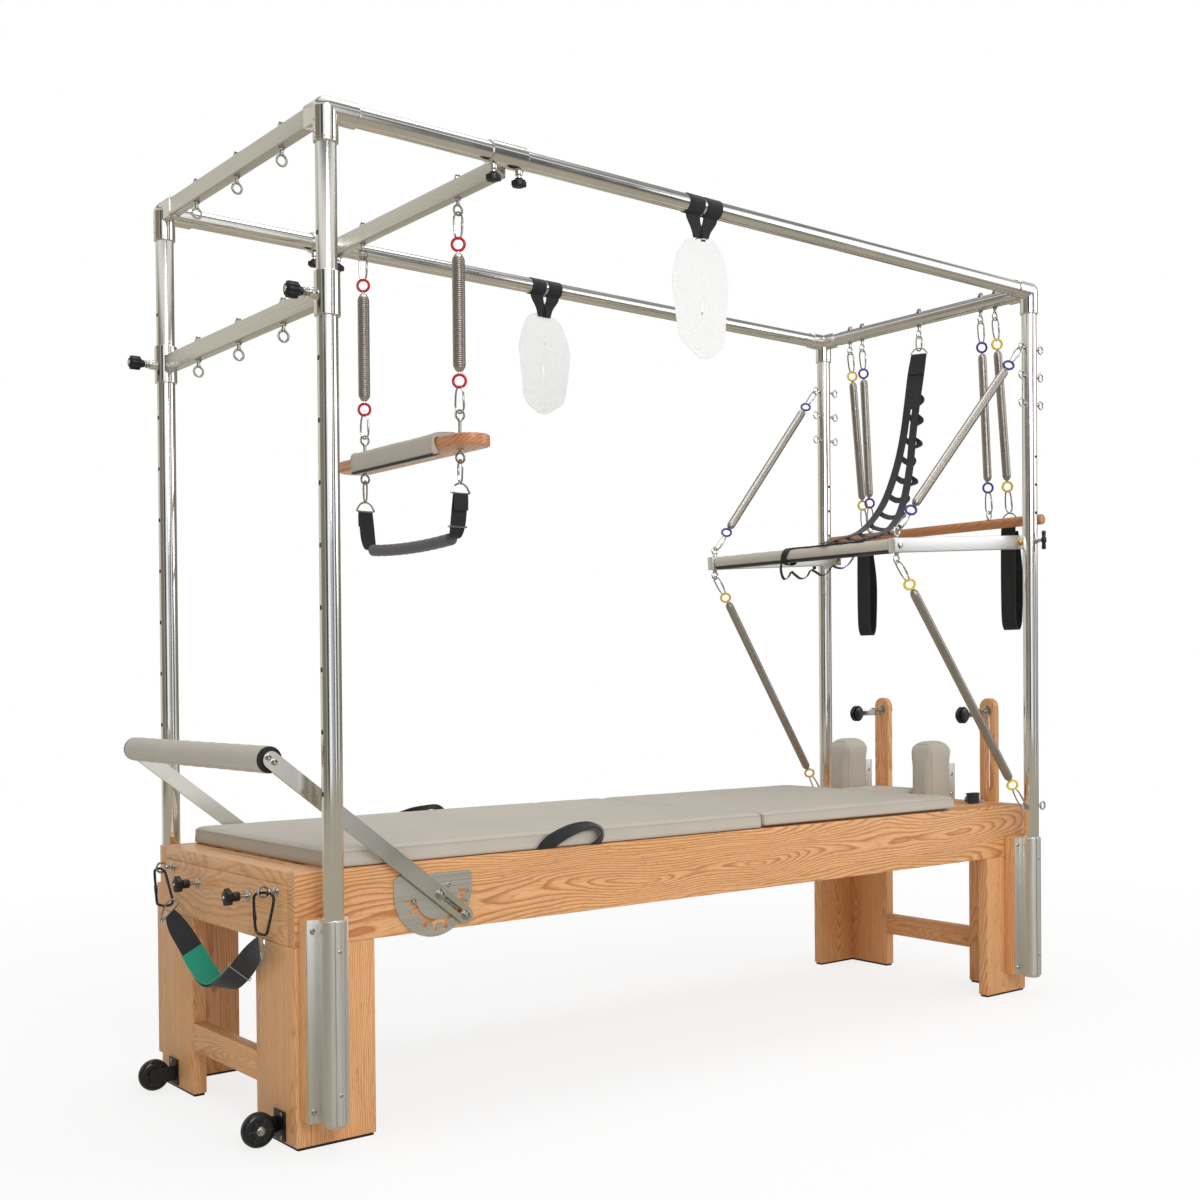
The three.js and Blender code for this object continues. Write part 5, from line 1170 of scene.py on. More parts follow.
def build_beam(node, x, z, reach, round_tube, eyes, sizes, body):
    """A beam across the frame with eye bolts under it and cap nuts on top."""
    shape = bmesh.new()
    if round_tube:
        rod(shape, (x, -reach, z), (x, reach, z), sizes.tube / 2, sides=48)
        depth = sizes.tube
    else:
        depth = BEAM_DROP * 2
        block(shape, (x - 12.5 * MM, -reach, z - depth / 2), (x + 12.5 * MM, reach, z + depth / 2),
              sizes.beam_edge, 4)
    keep(f"{node}_bar", shape, body, "steel" if round_tube else "plate_across", node)
    shape = bmesh.new()
    for y in eyes:
        eye_bolt(shape, (x, y, z - depth / 2), (0, 0, -1), EYE_REACH)
        cap_nut(shape, (x, y, z + depth / 2 - (0.6 * MM if round_tube else 0)), (0, 0, 1))
    keep(f"{node}_eyes", shape, body, "chrome")


def clamp_sleeve(shape, centre, axis, half, outer, bore):
    """A sleeve round a tube, its rims softened."""
    inner = bore + 0.3 * MM
    turned(shape, [(inner, -half), (outer - MM, -half), (outer, MM - half), (outer, half - MM), (outer - MM, half),
                   (inner, half)], centre, axis, 48)


def build_crossbars(sizes):
    """The sliding beam on the top rails, and the beam with its plungers on the foot posts."""
    outer, radius = sizes.clamp / 2, sizes.tube / 2
    x, reach = centre_of("crossbar_sliding")[0], POST_Y - 19 * MM
    build_beam("crossbar_sliding", x, RAIL_Z - BEAM_DROP, reach, False, (-TRAPEZE_Y, TRAPEZE_Y), sizes,
               "crossbar_sliding")
    for name, side in SIDES:
        y = side * POST_Y
        shape = bmesh.new()
        clamp_sleeve(shape, (x, y, RAIL_Z), (1, 0, 0), 45 * MM, outer, radius)
        for way in (-1, 1):
            foot = x + way * 33 * MM, y, RAIL_Z - outer
            rod(shape, (*foot[:2], foot[2] + 2 * MM), (*foot[:2], foot[2] - 9 * MM), 8 * MM, sides=28, edge=0.8 * MM)
            rod(shape, foot, (*foot[:2], foot[2] - 18 * MM), 4 * MM, sides=18)
        keep(f"slider_sleeve_{name}", shape, "crossbar_sliding", "steel", "crossbar_sliding")
        shape = bmesh.new()
        for way in (-1, 1):
            star_knob(shape, (x + way * 33 * MM, y, RAIL_Z - outer - 15 * MM), (0, 0, -1), 16.5 * MM, 19 * MM)
        keep(f"slider_knobs_{name}", shape, "crossbar_sliding", "plastic", sharp=45)

    build_beam("crossbar_foot", POST_X, FOOT_BEAM_Z, reach, False, (-TRAPEZE_Y, 0, TRAPEZE_Y), sizes,
               "crossbar_foot")
    for name, side in SIDES:
        y, level = side * POST_Y, centre_of(f"plunger_{name}")[2]
        shape = bmesh.new()
        clamp_sleeve(shape, (POST_X, y, FOOT_BEAM_Z), (0, 0, 1), 43.5 * MM, outer, radius)
        rod(shape, (POST_X - radius, y, level), (at(-42, 0, 0).x, y, level), 11 * MM, sides=32, edge=1.2 * MM)
        keep(f"crossbar_sleeve_{name}", shape, "crossbar_foot", "steel", "crossbar_foot")
        shape = bmesh.new()
        star_knob(shape, at(-54, 0, 0) + Vector((0, y, level)), (-1, 0, 0), 16 * MM, 36 * MM, 10)
        keep(f"plunger_knob_{name}", shape, f"plunger_{name}", "plastic", f"plunger_{name}", sharp=50)
        shape = bmesh.new()
        rod(shape, (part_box(f"plunger_{name}")[1].x, y, level), (at(-56, 0, 0).x, y, level), 7 * MM, sides=24,
            edge=0.8 * MM)
        for start, end, wide, sides in ((-46, -50, 9.5, 28), (-88, -91, 6, 24)):
            rod(shape, (at(start, 0, 0).x, y, level), (at(end, 0, 0).x, y, level), wide * MM, sides=sides,
                edge=0.8 * MM)
        keep(f"plunger_pin_{name}", shape, f"plunger_{name}", "chrome")


def star_knob(shape, base, out, radius, height, lobes=6):
    """A clamp knob with finger lobes round its rim."""
    base, way = Vector(base), Vector(out).normalized()
    turned(shape, [(0, 0), (radius * 0.5, 0), (radius * 0.62, height * 0.2), (radius * 0.9, height * 0.32),
                   (radius * 0.9, height * 0.86), (radius * 0.6, height), (0, height)], base, way, 36, closed=False)
    out1 = way.orthogonal().normalized()
    out2 = way.cross(out1)
    for k in range(lobes):
        a = 2 * math.pi * k / lobes
        spot = base + (out1 * math.cos(a) + out2 * math.sin(a)) * radius * 0.8
        rod(shape, spot + way * height * 0.3, spot + way * height * 0.9, radius * 0.24, sides=16, edge=radius * 0.08)


# ---------------------------------------------------------------- springs
FACING = Vector((0.78, -0.62, 0))      # the way the hooks lie, across the photo's line of sight


def coil_spring(name, start, end, hook, outer, ring_tone, body, thick, swell=1.75):
    """A wound spring between two eyes, with a snap hook and a coloured ring at each end.

    The wire is drawn thicker than its pitch by the swell, so that the curls close up as they do in the photo."""
    start, end = Vector(start), Vector(end)
    way = (end - start).normalized()
    sag = 5.3 * MM
    ring_d, neck = bpy.context.scene.trapeze_soft.ring, 8 * MM
    hooks = bmesh.new()
    for which, origin, line in (("top", start + way * sag, way), ("end", end - way * sag, -way)):
        loop_link(hooks, origin - line * 1.5 * MM, origin + line * (hook + 3 * MM), 19 * MM, 4.4 * MM, FACING)
        centre = origin + line * (hook + ring_d / 2)
        shape = bmesh.new()
        flat = FACING - line * FACING.dot(line)
        ring(shape, centre, line.cross(flat), (ring_d - 1.6 * MM) / 2, 6.6 * MM, 32, 12)
        keep(f"{name}_ring_{which}", shape, body, ring_tone)
        body_start = origin + line * (hook + ring_d + neck)
        wire(hooks, [centre + line * (ring_d / 2 - 3 * MM), body_start + line * 3 * MM], 2.2 * MM, steps=1, sides=2)
        turned(hooks, [(0, 0), (outer * 0.2, 0), (outer * 0.3, 2.5 * MM), (outer * 0.4, 8 * MM), (0, 8 * MM)],
               body_start - line * 2 * MM, line, 24, closed=False)
    keep(f"{name}_hooks", hooks, body, "chrome", name)
    lead = hook + ring_d + neck + sag
    a, b = start + way * lead, end - way * lead
    shape = bmesh.new()
    helix(shape, a, b, outer / 2 - thick * swell, thick * swell, (b - a).length / thick)
    keep(f"{name}_coil", shape, body, "spring", name, sharp=0)


def build_springs(sizes):
    """All the springs: trapeze, push-through bar, roll-down bar and foot loops."""
    slim, wide, thick = sizes.slim_coil, sizes.trapeze_coil, sizes.coil_wire
    slide_x, slide_z = centre_of("crossbar_sliding")[0], RAIL_Z - BEAM_DROP * 2 - EYE_REACH
    post_eye, hook = HEAD_X - 36.5 * MM, 62 * MM
    bar_x, _, bar_z = centre_of("push_bar_pad")
    lift = 38 * MM
    dowel_x = centre_of("rolldown_bar")[0]
    head_z = RAIL_Z - bpy.context.scene.trapeze_frame.tube / 2 - EYE_REACH
    for name, side in SIDES:
        y = side * TRAPEZE_Y
        coil_spring(f"trapeze_spring_{name}", (slide_x, y, slide_z), (slide_x, y, TRAPEZE_TOP + 50 * MM), 56 * MM,
                    wide, "red", "trapeze", thick * 1.35, 0.72)
        for which, eye, way, ring_tone in (("upper", 0, 1, "blue"), ("lower", -1, -1, "yellow")):
            held = (post_eye, side * POST_Y, POST_EYES[eye] * MM)
            moved = (bar_x, side * ARM_Y, bar_z + way * lift)
            coil_spring(f"push_spring_{which}_{name}", *(held, moved)[::way], hook, slim, ring_tone,
                        ("frame", "push_bar", held, moved), thick)
        y = side * ROLLDOWN_Y
        coil_spring(f"rolldown_spring_{name}", (HEAD_X, y, head_z), (dowel_x, y, SPRING_END), hook, slim, "blue",
                    "rolldown", thick)
        y = side * LOOP_Y
        coil_spring(f"loop_spring_{name}", (HEAD_X, y, head_z), (at(2345.5, 0, 0).x, y, SPRING_END), hook, slim,
                    "yellow", f"foot_loop_{name}", thick)


# ---------------------------------------------------------------- bars, straps and loops
def build_push_bar():
    """The push-through bar's arms, eyes and rod, with its padded roll."""
    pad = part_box("push_bar_pad")
    bar_x, _, bar_z = centre_of("push_bar_pad")
    slope = math.atan2(PIVOT_Z - bar_z, HEAD_X - bar_x)
    reach = math.hypot(PIVOT_Z - bar_z, HEAD_X - bar_x)
    tail, wide, deep = 20 * MM, 25 * MM, 40 * MM
    for name, side in SIDES:
        arm_y = side * ARM_Y
        shape = bmesh.new()
        made = bmesh.ops.create_cube(shape, size=1)["verts"]
        bmesh.ops.scale(shape, vec=(reach + tail * 2, wide, deep), verts=made)
        rounded(shape, list(shape.edges), 2.5 * MM, 4)
        bmesh.ops.rotate(shape, verts=shape.verts, cent=(0, 0, 0), matrix=Matrix.Rotation(-slope, 3, "Y"))
        bmesh.ops.translate(shape, vec=((bar_x + HEAD_X) / 2, arm_y, (bar_z + PIVOT_Z) / 2), verts=shape.verts)
        keep(f"push_arm_{name}", shape, "push_bar", "arm_aluminium", "push_bar_frame")
        shape = bmesh.new()
        for way in (-1, 1):
            eye_bolt(shape, (bar_x, arm_y, bar_z + way * deep / 2), (0, 0, way), 18 * MM)
        for way in (-1, 1):
            face = arm_y + way * wide / 2
            pin(shape, bar_x, bar_z, face, face + way * 1.4 * MM, 10 * MM, sides=28, edge=0.5 * MM)
        keep(f"push_arm_eyes_{name}", shape, "push_bar", "chrome")
    shape = bmesh.new()
    pin(shape, bar_x, bar_z, -ARM_Y, ARM_Y, 12 * MM)
    keep("push_bar_rod", shape, "push_bar", "steel")
    padded_roll("push_bar_cover", pad, 19 * MM, "push_bar", "push_bar_pad")
    shape = bmesh.new()
    y0, y1 = pad[0].y + 3 * MM, pad[1].y - 3 * MM
    spread = [(bar_x + 19.6 * MM * math.cos(a), bar_z + 19.6 * MM * math.sin(a))
              for a in (math.radians(-142 + 110 * k / 10) for k in range(11))]
    band(shape, [(Vector((x, 0, z)), (y1 - y0) / 2, (0, 1, 0)) for x, z in spread], 1.4 * MM, steps=1)
    keep("push_bar_underside", shape, "push_bar", "underside")


def build_trapeze():
    """The trapeze board with its eyes, pad and sling."""
    x, half = centre_of("trapeze_bar")[0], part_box("trapeze_bar")[1].y
    top, thick, wide = TRAPEZE_TOP, 26 * MM, 90 * MM
    radius = wide / 2
    shape = bmesh.new()
    outline = arc(x, half - radius, radius, 0, 180, 24) + arc(x, radius - half, radius, 180, 360, 24)
    plate(shape, [(u, v, top - thick) for u, v in outline], (0, 0, thick))
    rims = [e for e in shape.edges if abs(e.verts[0].co.z - e.verts[1].co.z) < 1e-6]
    rounded(shape, rims, 5 * MM, 4)
    keep("trapeze_board", shape, "trapeze", "trapeze_board", "trapeze_bar")
    for name, side in SIDES:
        y = side * TRAPEZE_Y
        shape = bmesh.new()
        rod(shape, (x, y, top), (x, y, top + 3 * MM), 10 * MM, sides=28, edge=0.6 * MM)
        eye_bolt(shape, (x, y, top + 2 * MM), (0, 0, 1), 48 * MM)
        rod(shape, (x, y, top - thick), (x, y, top - thick - 2 * MM), 9 * MM, sides=28, edge=0.5 * MM)
        eye_bolt(shape, (x, y, top - thick), (0, 0, -1), 20 * MM, nut=False)
        keep(f"trapeze_eyes_{name}", shape, "trapeze", "chrome")
    trapeze_cover(x, top, thick, wide)
    build_sling(x)


def trapeze_cover(x, top, thick, wide):
    """A soft pad draped over the middle of the board, open under it, with a black lining."""
    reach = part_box("trapeze_pad")[1].y
    edge = wide / 2 + 1.2 * MM
    section = [(-edge + 10 * MM, top - thick - 13 * MM), (-edge - 5 * MM, top - thick - 14 * MM),
               (-edge - 11 * MM, top - thick - 4 * MM), (-edge - 11 * MM, top - 10 * MM),
               (-edge - 6 * MM, top + 7 * MM), (-edge + 18 * MM, top + 13 * MM), (0, top + 15 * MM),
               (edge - 16 * MM, top + 13 * MM),
               (edge - 3 * MM, top + 7.5 * MM), (edge, top + 1 * MM), (0, top + 0.8 * MM), (-edge, top + 0.8 * MM),
               (-edge - 0.6 * MM, top - thick + 2 * MM), (-edge + 10 * MM, top - thick - 3 * MM)]
    line = flow([(u, 0, v) for u, v in section], 4, True)
    shape = bmesh.new()
    outline = [(x + p.x, p.z) for p in line]
    slab(shape, outline, -reach, reach)
    long_edges = [e for e in shape.edges if abs(e.verts[0].co.y - e.verts[1].co.y) > 0.1]
    bmesh.ops.subdivide_edges(shape, edges=long_edges, cuts=36, use_grid_fill=True)
    centre_x = x - 8 * MM
    for v in shape.verts:
        drawn = max(0.0, abs(v.co.y) / reach - 0.965) / 0.035
        drawn_in = Vector((centre_x + (v.co.x - centre_x) * 0.97, v.co.y, v.co.z - (v.co.z - top) * 0.12))
        v.co = v.co.lerp(drawn_in, drawn)
        swell = noise.noise(Vector((v.co.x * 14, v.co.y * 9, v.co.z * 14)))
        if v.co.z > top + 3 * MM or v.co.x < x - wide / 2 - 6 * MM:
            v.co += Vector((-0.3, 0, 0.6)) * swell * 1.6 * MM
    keep("trapeze_pad_cover", shape, "trapeze", "vinyl", "trapeze_pad", sharp=60)
    shape = bmesh.new()
    lining = [(-edge + 14 * MM, top - thick - 8 * MM), (-edge - 2 * MM, top - thick - 14.5 * MM),
              (-edge - 9.6 * MM, top - thick - 10.5 * MM)]
    band(shape, [(Vector((x + u, 0, v)), reach - 2 * MM, (0, 1, 0)) for u, v in lining], 1.2 * MM, steps=5)
    keep("trapeze_pad_lining", shape, "trapeze", "underside")
    shape = bmesh.new()
    for side in (-1, 1):
        trail = flow([(x + u, side * (reach - 1.5 * MM), v) for u, v in section[2:9]], 3)
        wire(shape, trail, 1.3 * MM, steps=1, sides=1)
    keep("trapeze_pad_piping", shape, "trapeze", "piping")


def build_sling(x):
    """The webbing loop under the trapeze, with its hooks, rings and foam grip."""
    eye_z, ring_top, grip_z = 1434 * MM, 1381 * MM, 1256 * MM
    soft = bpy.context.scene.trapeze_soft
    straps, metalwork, stitches = bmesh.new(), bmesh.new(), bmesh.new()
    for _, side in SIDES:
        y = side * TRAPEZE_Y
        loop_link(metalwork, (x, y, eye_z - 4 * MM), (x, y, ring_top - 3 * MM), 17 * MM, 4.4 * MM, (0, 1, 0))
        dee(metalwork, (x, y, ring_top - 26 * MM), 44 * MM, -22 * MM, 4.4 * MM, (1, 0, 0), (0, 0, -1))
        low_y, in_y = side * 203 * MM, side * 191 * MM
        path = [(x, y, ring_top - 29 * MM), (x, y - side * 5 * MM, grip_z + 62 * MM), (x, low_y, grip_z + 26 * MM),
                (x, in_y, grip_z + 3 * MM), (x, side * 168 * MM, grip_z)]
        widths = (19, 20, 19.5, 16, 12)
        band(straps, [(p, w * MM, (1, 0, 0)) for p, w in zip(path, widths)], soft.webbing, steps=5)
        fold = [(x, y + side * 3 * MM, ring_top - 64 * MM), (x, y + side * 3.4 * MM, ring_top - 36 * MM),
                (x, y + side * 1 * MM, ring_top - 25.5 * MM), (x, y - side * 2.4 * MM, ring_top - 32 * MM)]
        band(straps, [(p, 18.6 * MM, (1, 0, 0)) for p in fold], soft.webbing, steps=5)
        keeper = [(x + u * 21.5 * MM, low_y + (v * 4.4 - side * 2) * MM, grip_z + 25 * MM) for u, v in
                  ((-1, 1), (1, 1), (1, -1), (-1, -1))]
        if side < 0:      # the photo shows a keeper on the right side only
            wire(metalwork, keeper, 2 * MM, closed=True, steps=1, sides=2)
        for u in (-15, 15):
            wire(stitches, [(x + u * MM, y - side * 2 * MM, ring_top - 66 * MM),
                            (x + u * MM, y - side * 5.4 * MM, grip_z + 60 * MM)], 0.5 * MM, steps=1, sides=1)
    keep("sling_webbing", straps, "sling", "webbing", "trapeze_sling")
    keep("sling_metal", metalwork, "sling", "chrome")
    keep("sling_stitches", stitches, "sling", "thread")
    shape = bmesh.new()
    half, steps, r = 182 * MM, 30, 14 * MM
    profile = [(0, -half), (r - 3 * MM, -half), (r - 0.6 * MM, -half + 3 * MM)]
    profile += [(r + 0.5 * MM * math.sin(k * 2.3), -half + 6 * MM + (half * 2 - 12 * MM) * k / steps)
                for k in range(steps + 1)]
    profile += [(r - 0.6 * MM, half - 3 * MM), (r - 3 * MM, half), (0, half)]
    turned(shape, profile, (x, 0, grip_z), (0, 1, 0), 32, closed=False)
    for v in shape.verts:
        v.co.z -= 7 * MM * (1 - (v.co.y / half) ** 2)
    keep("sling_grip", shape, "sling", "foam", "trapeze_sling", sharp=60)


def build_rolldown():
    """The roll-down dowel with its two eyes."""
    x, z, reach = centre_of("rolldown_bar")[0], 1394 * MM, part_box("rolldown_bar")[1].y
    shape = bmesh.new()
    rod(shape, (x, -reach, z), (x, reach, z), 15 * MM, sides=40, edge=3 * MM, segments=4)
    keep("rolldown_dowel", shape, "rolldown", "dowel", "rolldown_bar")
    shape = bmesh.new()
    for side in (-1, 1):
        y = side * ROLLDOWN_Y
        rod(shape, (x, y, z + 14 * MM), (x, y, z + 16.5 * MM), 8 * MM, sides=26, edge=0.6 * MM)
        eye_bolt(shape, (x, y, z + 15 * MM), (0, 0, 1), 14 * MM, nut=False)
    keep("rolldown_eyes", shape, "rolldown", "chrome")


# A foot loop's outline: shares of its depth and of its fall.
LOOP_SHARES = ((0.25, 0), (0.05, 0.1), (0, 0.45), (0.05, 0.85), (0.22, 0.97), (0.5, 1), (0.78, 0.97), (0.95, 0.85),
               (1, 0.45), (0.8, 0.1))


def build_foot_loops(sizes):
    """The two foot loops under their springs."""
    inner, depth = at(2335.5, 0, 0).x, 40 * MM
    top, fall, half = 1398 * MM, 323 * MM, 25 * MM
    for name, side in SIDES:
        y = side * LOOP_Y
        ring_x = inner + LOOP_SHARES[0][0] * depth
        shape = bmesh.new()
        dee(shape, (ring_x, y, top + 4 * MM), 50 * MM, -24 * MM, 4.6 * MM, (0, 1, 0), (0, 0, -1))
        keep(f"foot_loop_ring_{name}", shape, f"foot_loop_{name}", "chrome", f"loop_spring_{name}")
        shape = bmesh.new()
        path = [(inner + u * depth, y, top - v * fall) for u, v in LOOP_SHARES]
        path[0], path[-1] = (ring_x - 2 * MM, y, top + 1 * MM), (ring_x + 9 * MM, y, top - 26 * MM)
        path = [(ring_x + 3 * MM, y, top - 2 * MM)] + path
        band(shape, [(p, half, (0, 1, 0)) for p in path], sizes.webbing * 1.3, steps=6)
        keep(f"foot_loop_band_{name}", shape, f"foot_loop_{name}", "webbing", f"loop_spring_{name}")
        shape = bmesh.new()
        low = [(inner + u * depth, y, top - v * fall + 2.2 * MM) for u, v in LOOP_SHARES[2:9]]
        band(shape, [(p, half - 3 * MM, (0, 1, 0)) for p in low], 3 * MM, steps=6)
        keep(f"foot_loop_lining_{name}", shape, f"foot_loop_{name}", "rubber")
        shape = bmesh.new()
        for v in (-20, 20):
            wire(shape, [(p[0] - 1.8 * MM, p[1] + v * MM, p[2]) for p in path[2:5]], THREAD, steps=5, sides=1)
        keep(f"foot_loop_stitches_{name}", shape, f"foot_loop_{name}", "thread")


def build_fleece(sizes):
    """The fleece loops: a tufted sleeve on straps round each top rail."""
    top, roll, wide = 1984 * MM, 33 * MM, 176 * MM
    mean = wide / 2 - roll
    bore = 21 * MM + 1.2 * MM
    for name, side in SIDES:
        x, y = centre_of(f"fleece_loop_{name}")[0], side * POST_Y
        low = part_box(f"fleece_loop_{name}")[0].z
        middle, stretch = (top + low) / 2, (top - low - wide) / 2
        shape = bmesh.new()
        place = Matrix.Translation((x + mean, y, middle)) @ Matrix.Rotation(math.pi / 2, 4, "X")
        made = bmesh.ops.create_circle(shape, cap_ends=False, segments=40, radius=roll, matrix=place)["verts"]
        bmesh.ops.spin(shape, geom=made + list(shape.edges), cent=(x, y, middle), axis=(0, 1, 0), dvec=(0, 0, 0),
                       angle=2 * math.pi, steps=96, use_merge=True, use_duplicate=False)
        for v in shape.verts:
            flat = Vector((v.co.x - x, 0, v.co.z - middle))
            u = math.atan2(flat.z, flat.x)
            out = flat.normalized()
            across = (flat.length - mean) * (1.7 if flat.length < mean else 1.0)
            swell = 1 + 0.11 * math.sin(3 * u + side) + 0.07 * math.sin(7 * u)
            core = Vector((mean * out.x, 0, mean * out.z + max(-1, min(1, 1.6 * math.sin(u))) * stretch))
            v.co = Vector((x, y, middle)) + core + out * across * swell + Vector((0, (v.co.y - y) * swell * 0.82, 0))
        bmesh.ops.recalc_face_normals(shape, faces=shape.faces)
        shape.normal_update()
        for v in shape.verts:
            tuft = noise.fractal(v.co * 95, 1.0, 2.0, 4) + 0.6 * noise.fractal(v.co * 32, 1.0, 2.0, 2)
            v.co += v.normal * (tuft * 0.32) * sizes.fleece_tuft
        keep(f"fleece_sleeve_{name}", shape, f"fleece_{name}", "fleece", f"fleece_loop_{name}", sharp=0,
             levels=1)
        shape = bmesh.new()
        for way in (-1, 1):
            strap_x = x + way * 28 * MM
            loop = [(Vector((strap_x, y + (bore + MM) * math.sin(a), RAIL_Z + (bore + MM) * math.cos(a))), 23 * MM,
                     (1, 0, 0)) for a in (2 * math.pi * k / 20 for k in range(20))]
            band(shape, loop, sizes.webbing, closed=True, steps=2)
            fall = ((28, 4, RAIL_Z - bore - MM, 22), (25, 3, RAIL_Z - 36 * MM, 20), (13, 1, top + 12 * MM, 16),
                    (7, 0, top - 12 * MM, 14))
            band(shape, [((x + way * u * MM, y - v * MM, z), w * MM, (1, 0, 0)) for u, v, z, w in fall],
                 sizes.webbing * 1.6, steps=6)
        keep(f"fleece_straps_{name}", shape, f"fleece_{name}", "webbing", f"fleece_loop_{name}")
        shape = bmesh.new()
        for way in (-1, 1):
            for u in (-16, 16):
                line = [(x + way * 28 * MM + u * MM, y - 5.6 * MM, RAIL_Z - bore - 2 * MM),
                        (x + way * 26 * MM + u * MM * 0.9, y - 5.6 * MM, RAIL_Z - 36 * MM)]
                wire(shape, line, THREAD, steps=1, sides=1)
        keep(f"fleece_stitches_{name}", shape, f"fleece_{name}", "thread")


# The ladder strap's middle from the head beam down to the push-through bar: x, y, z and half its width, in mm.
LADDER_ROUTE = (
    (2279, 0, 1944, 24), (2264, 0, 1880, 26), (2238, -5, 1780, 25), (2209, -13, 1680, 26), (2169, -27, 1580, 32),
    (2109, -46, 1480, 40), (2038, -69, 1412, 48), (1955, -94, 1366, 52), (1864, -116, 1342, 53),
    (1792, -131, 1328, 52), (1752, -141, 1318, 50), (1735, -146, 1315, 48))


LADDER_TILT = Vector((0.45, -0.89, 0))      # the way its rungs lie
LADDER_SOLID = 13                           # points of its route before the two edge straps part
LADDER_EDGE = 11.5 * MM                     # half the width of an edge strap


def build_ladder(sizes):
    """The ladder strap between the head beam and the push-through bar."""
    route = flow([at(x, y, z) for x, y, z, _ in LADDER_ROUTE], 8)
    spread = [v.x for v in flow([Vector((w * MM, 0, 0)) for *_, w in LADDER_ROUTE], 8)]
    straps, stitches = bmesh.new(), bmesh.new()
    edge, solid, tilt = LADDER_EDGE, LADDER_SOLID, LADDER_TILT
    for way in (-1, 1):
        stations = [(p + tilt * way * (w - edge), edge, tilt) for p, w in zip(route, spread)][solid:]
        band(straps, stations, sizes.webbing, steps=1)
        for u in (-8, 8):
            seam = [p + tilt * u * MM + Vector((-1.2 * MM, 0, 1.2 * MM)) for p, *_ in stations[::2]]
            wire(stitches, seam, 0.4 * MM, steps=1, sides=1)
    top_band = [(p, w, tilt) for p, w in zip(route[:solid + 5], spread)]
    band(straps, top_band, sizes.webbing * 1.2, steps=1)
    hem = [(p + Vector((-3.2 * MM, -2 * MM, 0)), w * 0.96, a) for p, w, a in top_band[:9]]
    band(straps, hem, sizes.webbing, steps=1)
    add_rungs(straps, route, spread, sizes.webbing)
    bending = ("frame", "push_bar", route[0], route[-1])
    keep("ladder_webbing", straps, bending, "webbing", "ladder_strap")
    keep("ladder_stitches", stitches, bending, "thread")
    shape = bmesh.new()
    apex = route[0]
    hook_top = Vector((HEAD_X, 0, RAIL_Z - bpy.context.scene.trapeze_frame.tube / 2 - 32 * MM))
    loop_link(shape, hook_top, apex + Vector((0, 0, 12 * MM)), 18 * MM, 4.6 * MM, FACING)
    dee(shape, apex + Vector((0, 0, 2 * MM)), 46 * MM, -18 * MM, 4 * MM, tilt, (0, 0, -1))
    keep("ladder_hook", shape, "frame", "chrome", "ladder_strap")
    build_ladder_tail(sizes.webbing)


def add_rungs(straps, route, spread, webbing):
    """A slack rung and a foot loop beside it at every step of the ladder."""
    edge, tilt = LADDER_EDGE, LADDER_TILT
    travel, due = 0.0, 0.0
    for i in range(LADDER_SOLID, len(route) - 3):
        travel += (route[i] - route[i - 1]).length
        if travel < due:
            continue
        due += 74 * MM
        half = spread[i] - edge
        line = (route[i + 1] - route[i - 1]).normalized()
        loop = Vector((0.5, -0.6, 0)) * 10 * MM + Vector((0, 0, -13 * MM)) + line * 8 * MM
        points = []
        for k in range(7):
            share = k / 6 * 2 - 1
            points.append((route[i] + tilt * share * half + loop * (1 - share * share), 10.5 * MM, line))
        band(straps, points, webbing, steps=3)
        belly = Vector((0.8, -0.5, -0.2)) * (11 + 8 * math.sin(i * 1.9)) * MM
        points = [(route[i] + tilt * half, 9 * MM, tilt + line * 0.3),
                  (route[i] + tilt * (half + 6 * MM) + belly * 0.8 + line * 12 * MM, 10 * MM, tilt + line * 0.3),
                  (route[i] + tilt * (half + 5 * MM) + belly + line * 30 * MM, 10 * MM, tilt),
                  (route[i] + tilt * half + line * 46 * MM, 9 * MM, tilt)]
        band(straps, points, webbing, steps=4)


# The ladder's tail: along the bar's pad, and the drape under it, in mm.
TAIL_RUN = ((-1, -252, 0.5), (1, -180, 0.6), (-2, -120, 1.2), (0, -60, 0.4), (1, 0, 1.4), (0, 44, 1))
TAIL_DRAPE = ((54, -6), (62, -34), (52, -62), (34, -60), (22, -44), (8, -52), (-16, -66), (-40, -62), (-56, -44),
              (-74, -50), (-100, -62), (-124, -54), (-138, -38), (-158, -44), (-182, -46), (-204, -34), (-222, -14))


def build_ladder_tail(webbing):
    """The ladder's end: laid along the push-through bar, looped round it and hung under it."""
    low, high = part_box("push_bar_pad")
    bar_x, _, bar_z = centre_of("push_bar_pad")
    lie, loop_y = high.z + 1.8 * MM, 42 * MM
    shape = bmesh.new()
    band(shape, [(Vector((bar_x + u * MM, y * MM, lie + v * MM)), 11 * MM, (1, 0, 0)) for u, y, v in TAIL_RUN],
         webbing, steps=5)
    hoop = [(Vector((bar_x + (23 + 3 * math.cos(a)) * MM * math.sin(a), loop_y + 6 * MM * math.sin(a * 2),
                     bar_z + (25 - 3 * math.cos(a)) * MM * math.cos(a))), 11 * MM, (0, 1, 0.1))
            for a in (2 * math.pi * k / 20 for k in range(20))]
    band(shape, hoop, webbing, closed=True, steps=2)
    band(shape, [(Vector((bar_x - 14 * MM, y * MM, low.z + z * MM + 16 * MM)), 5.5 * MM, (0.9, 0.2, 0.35))
                 for y, z in TAIL_DRAPE], webbing, steps=4)
    keep("ladder_tail", shape, "push_bar", "webbing")


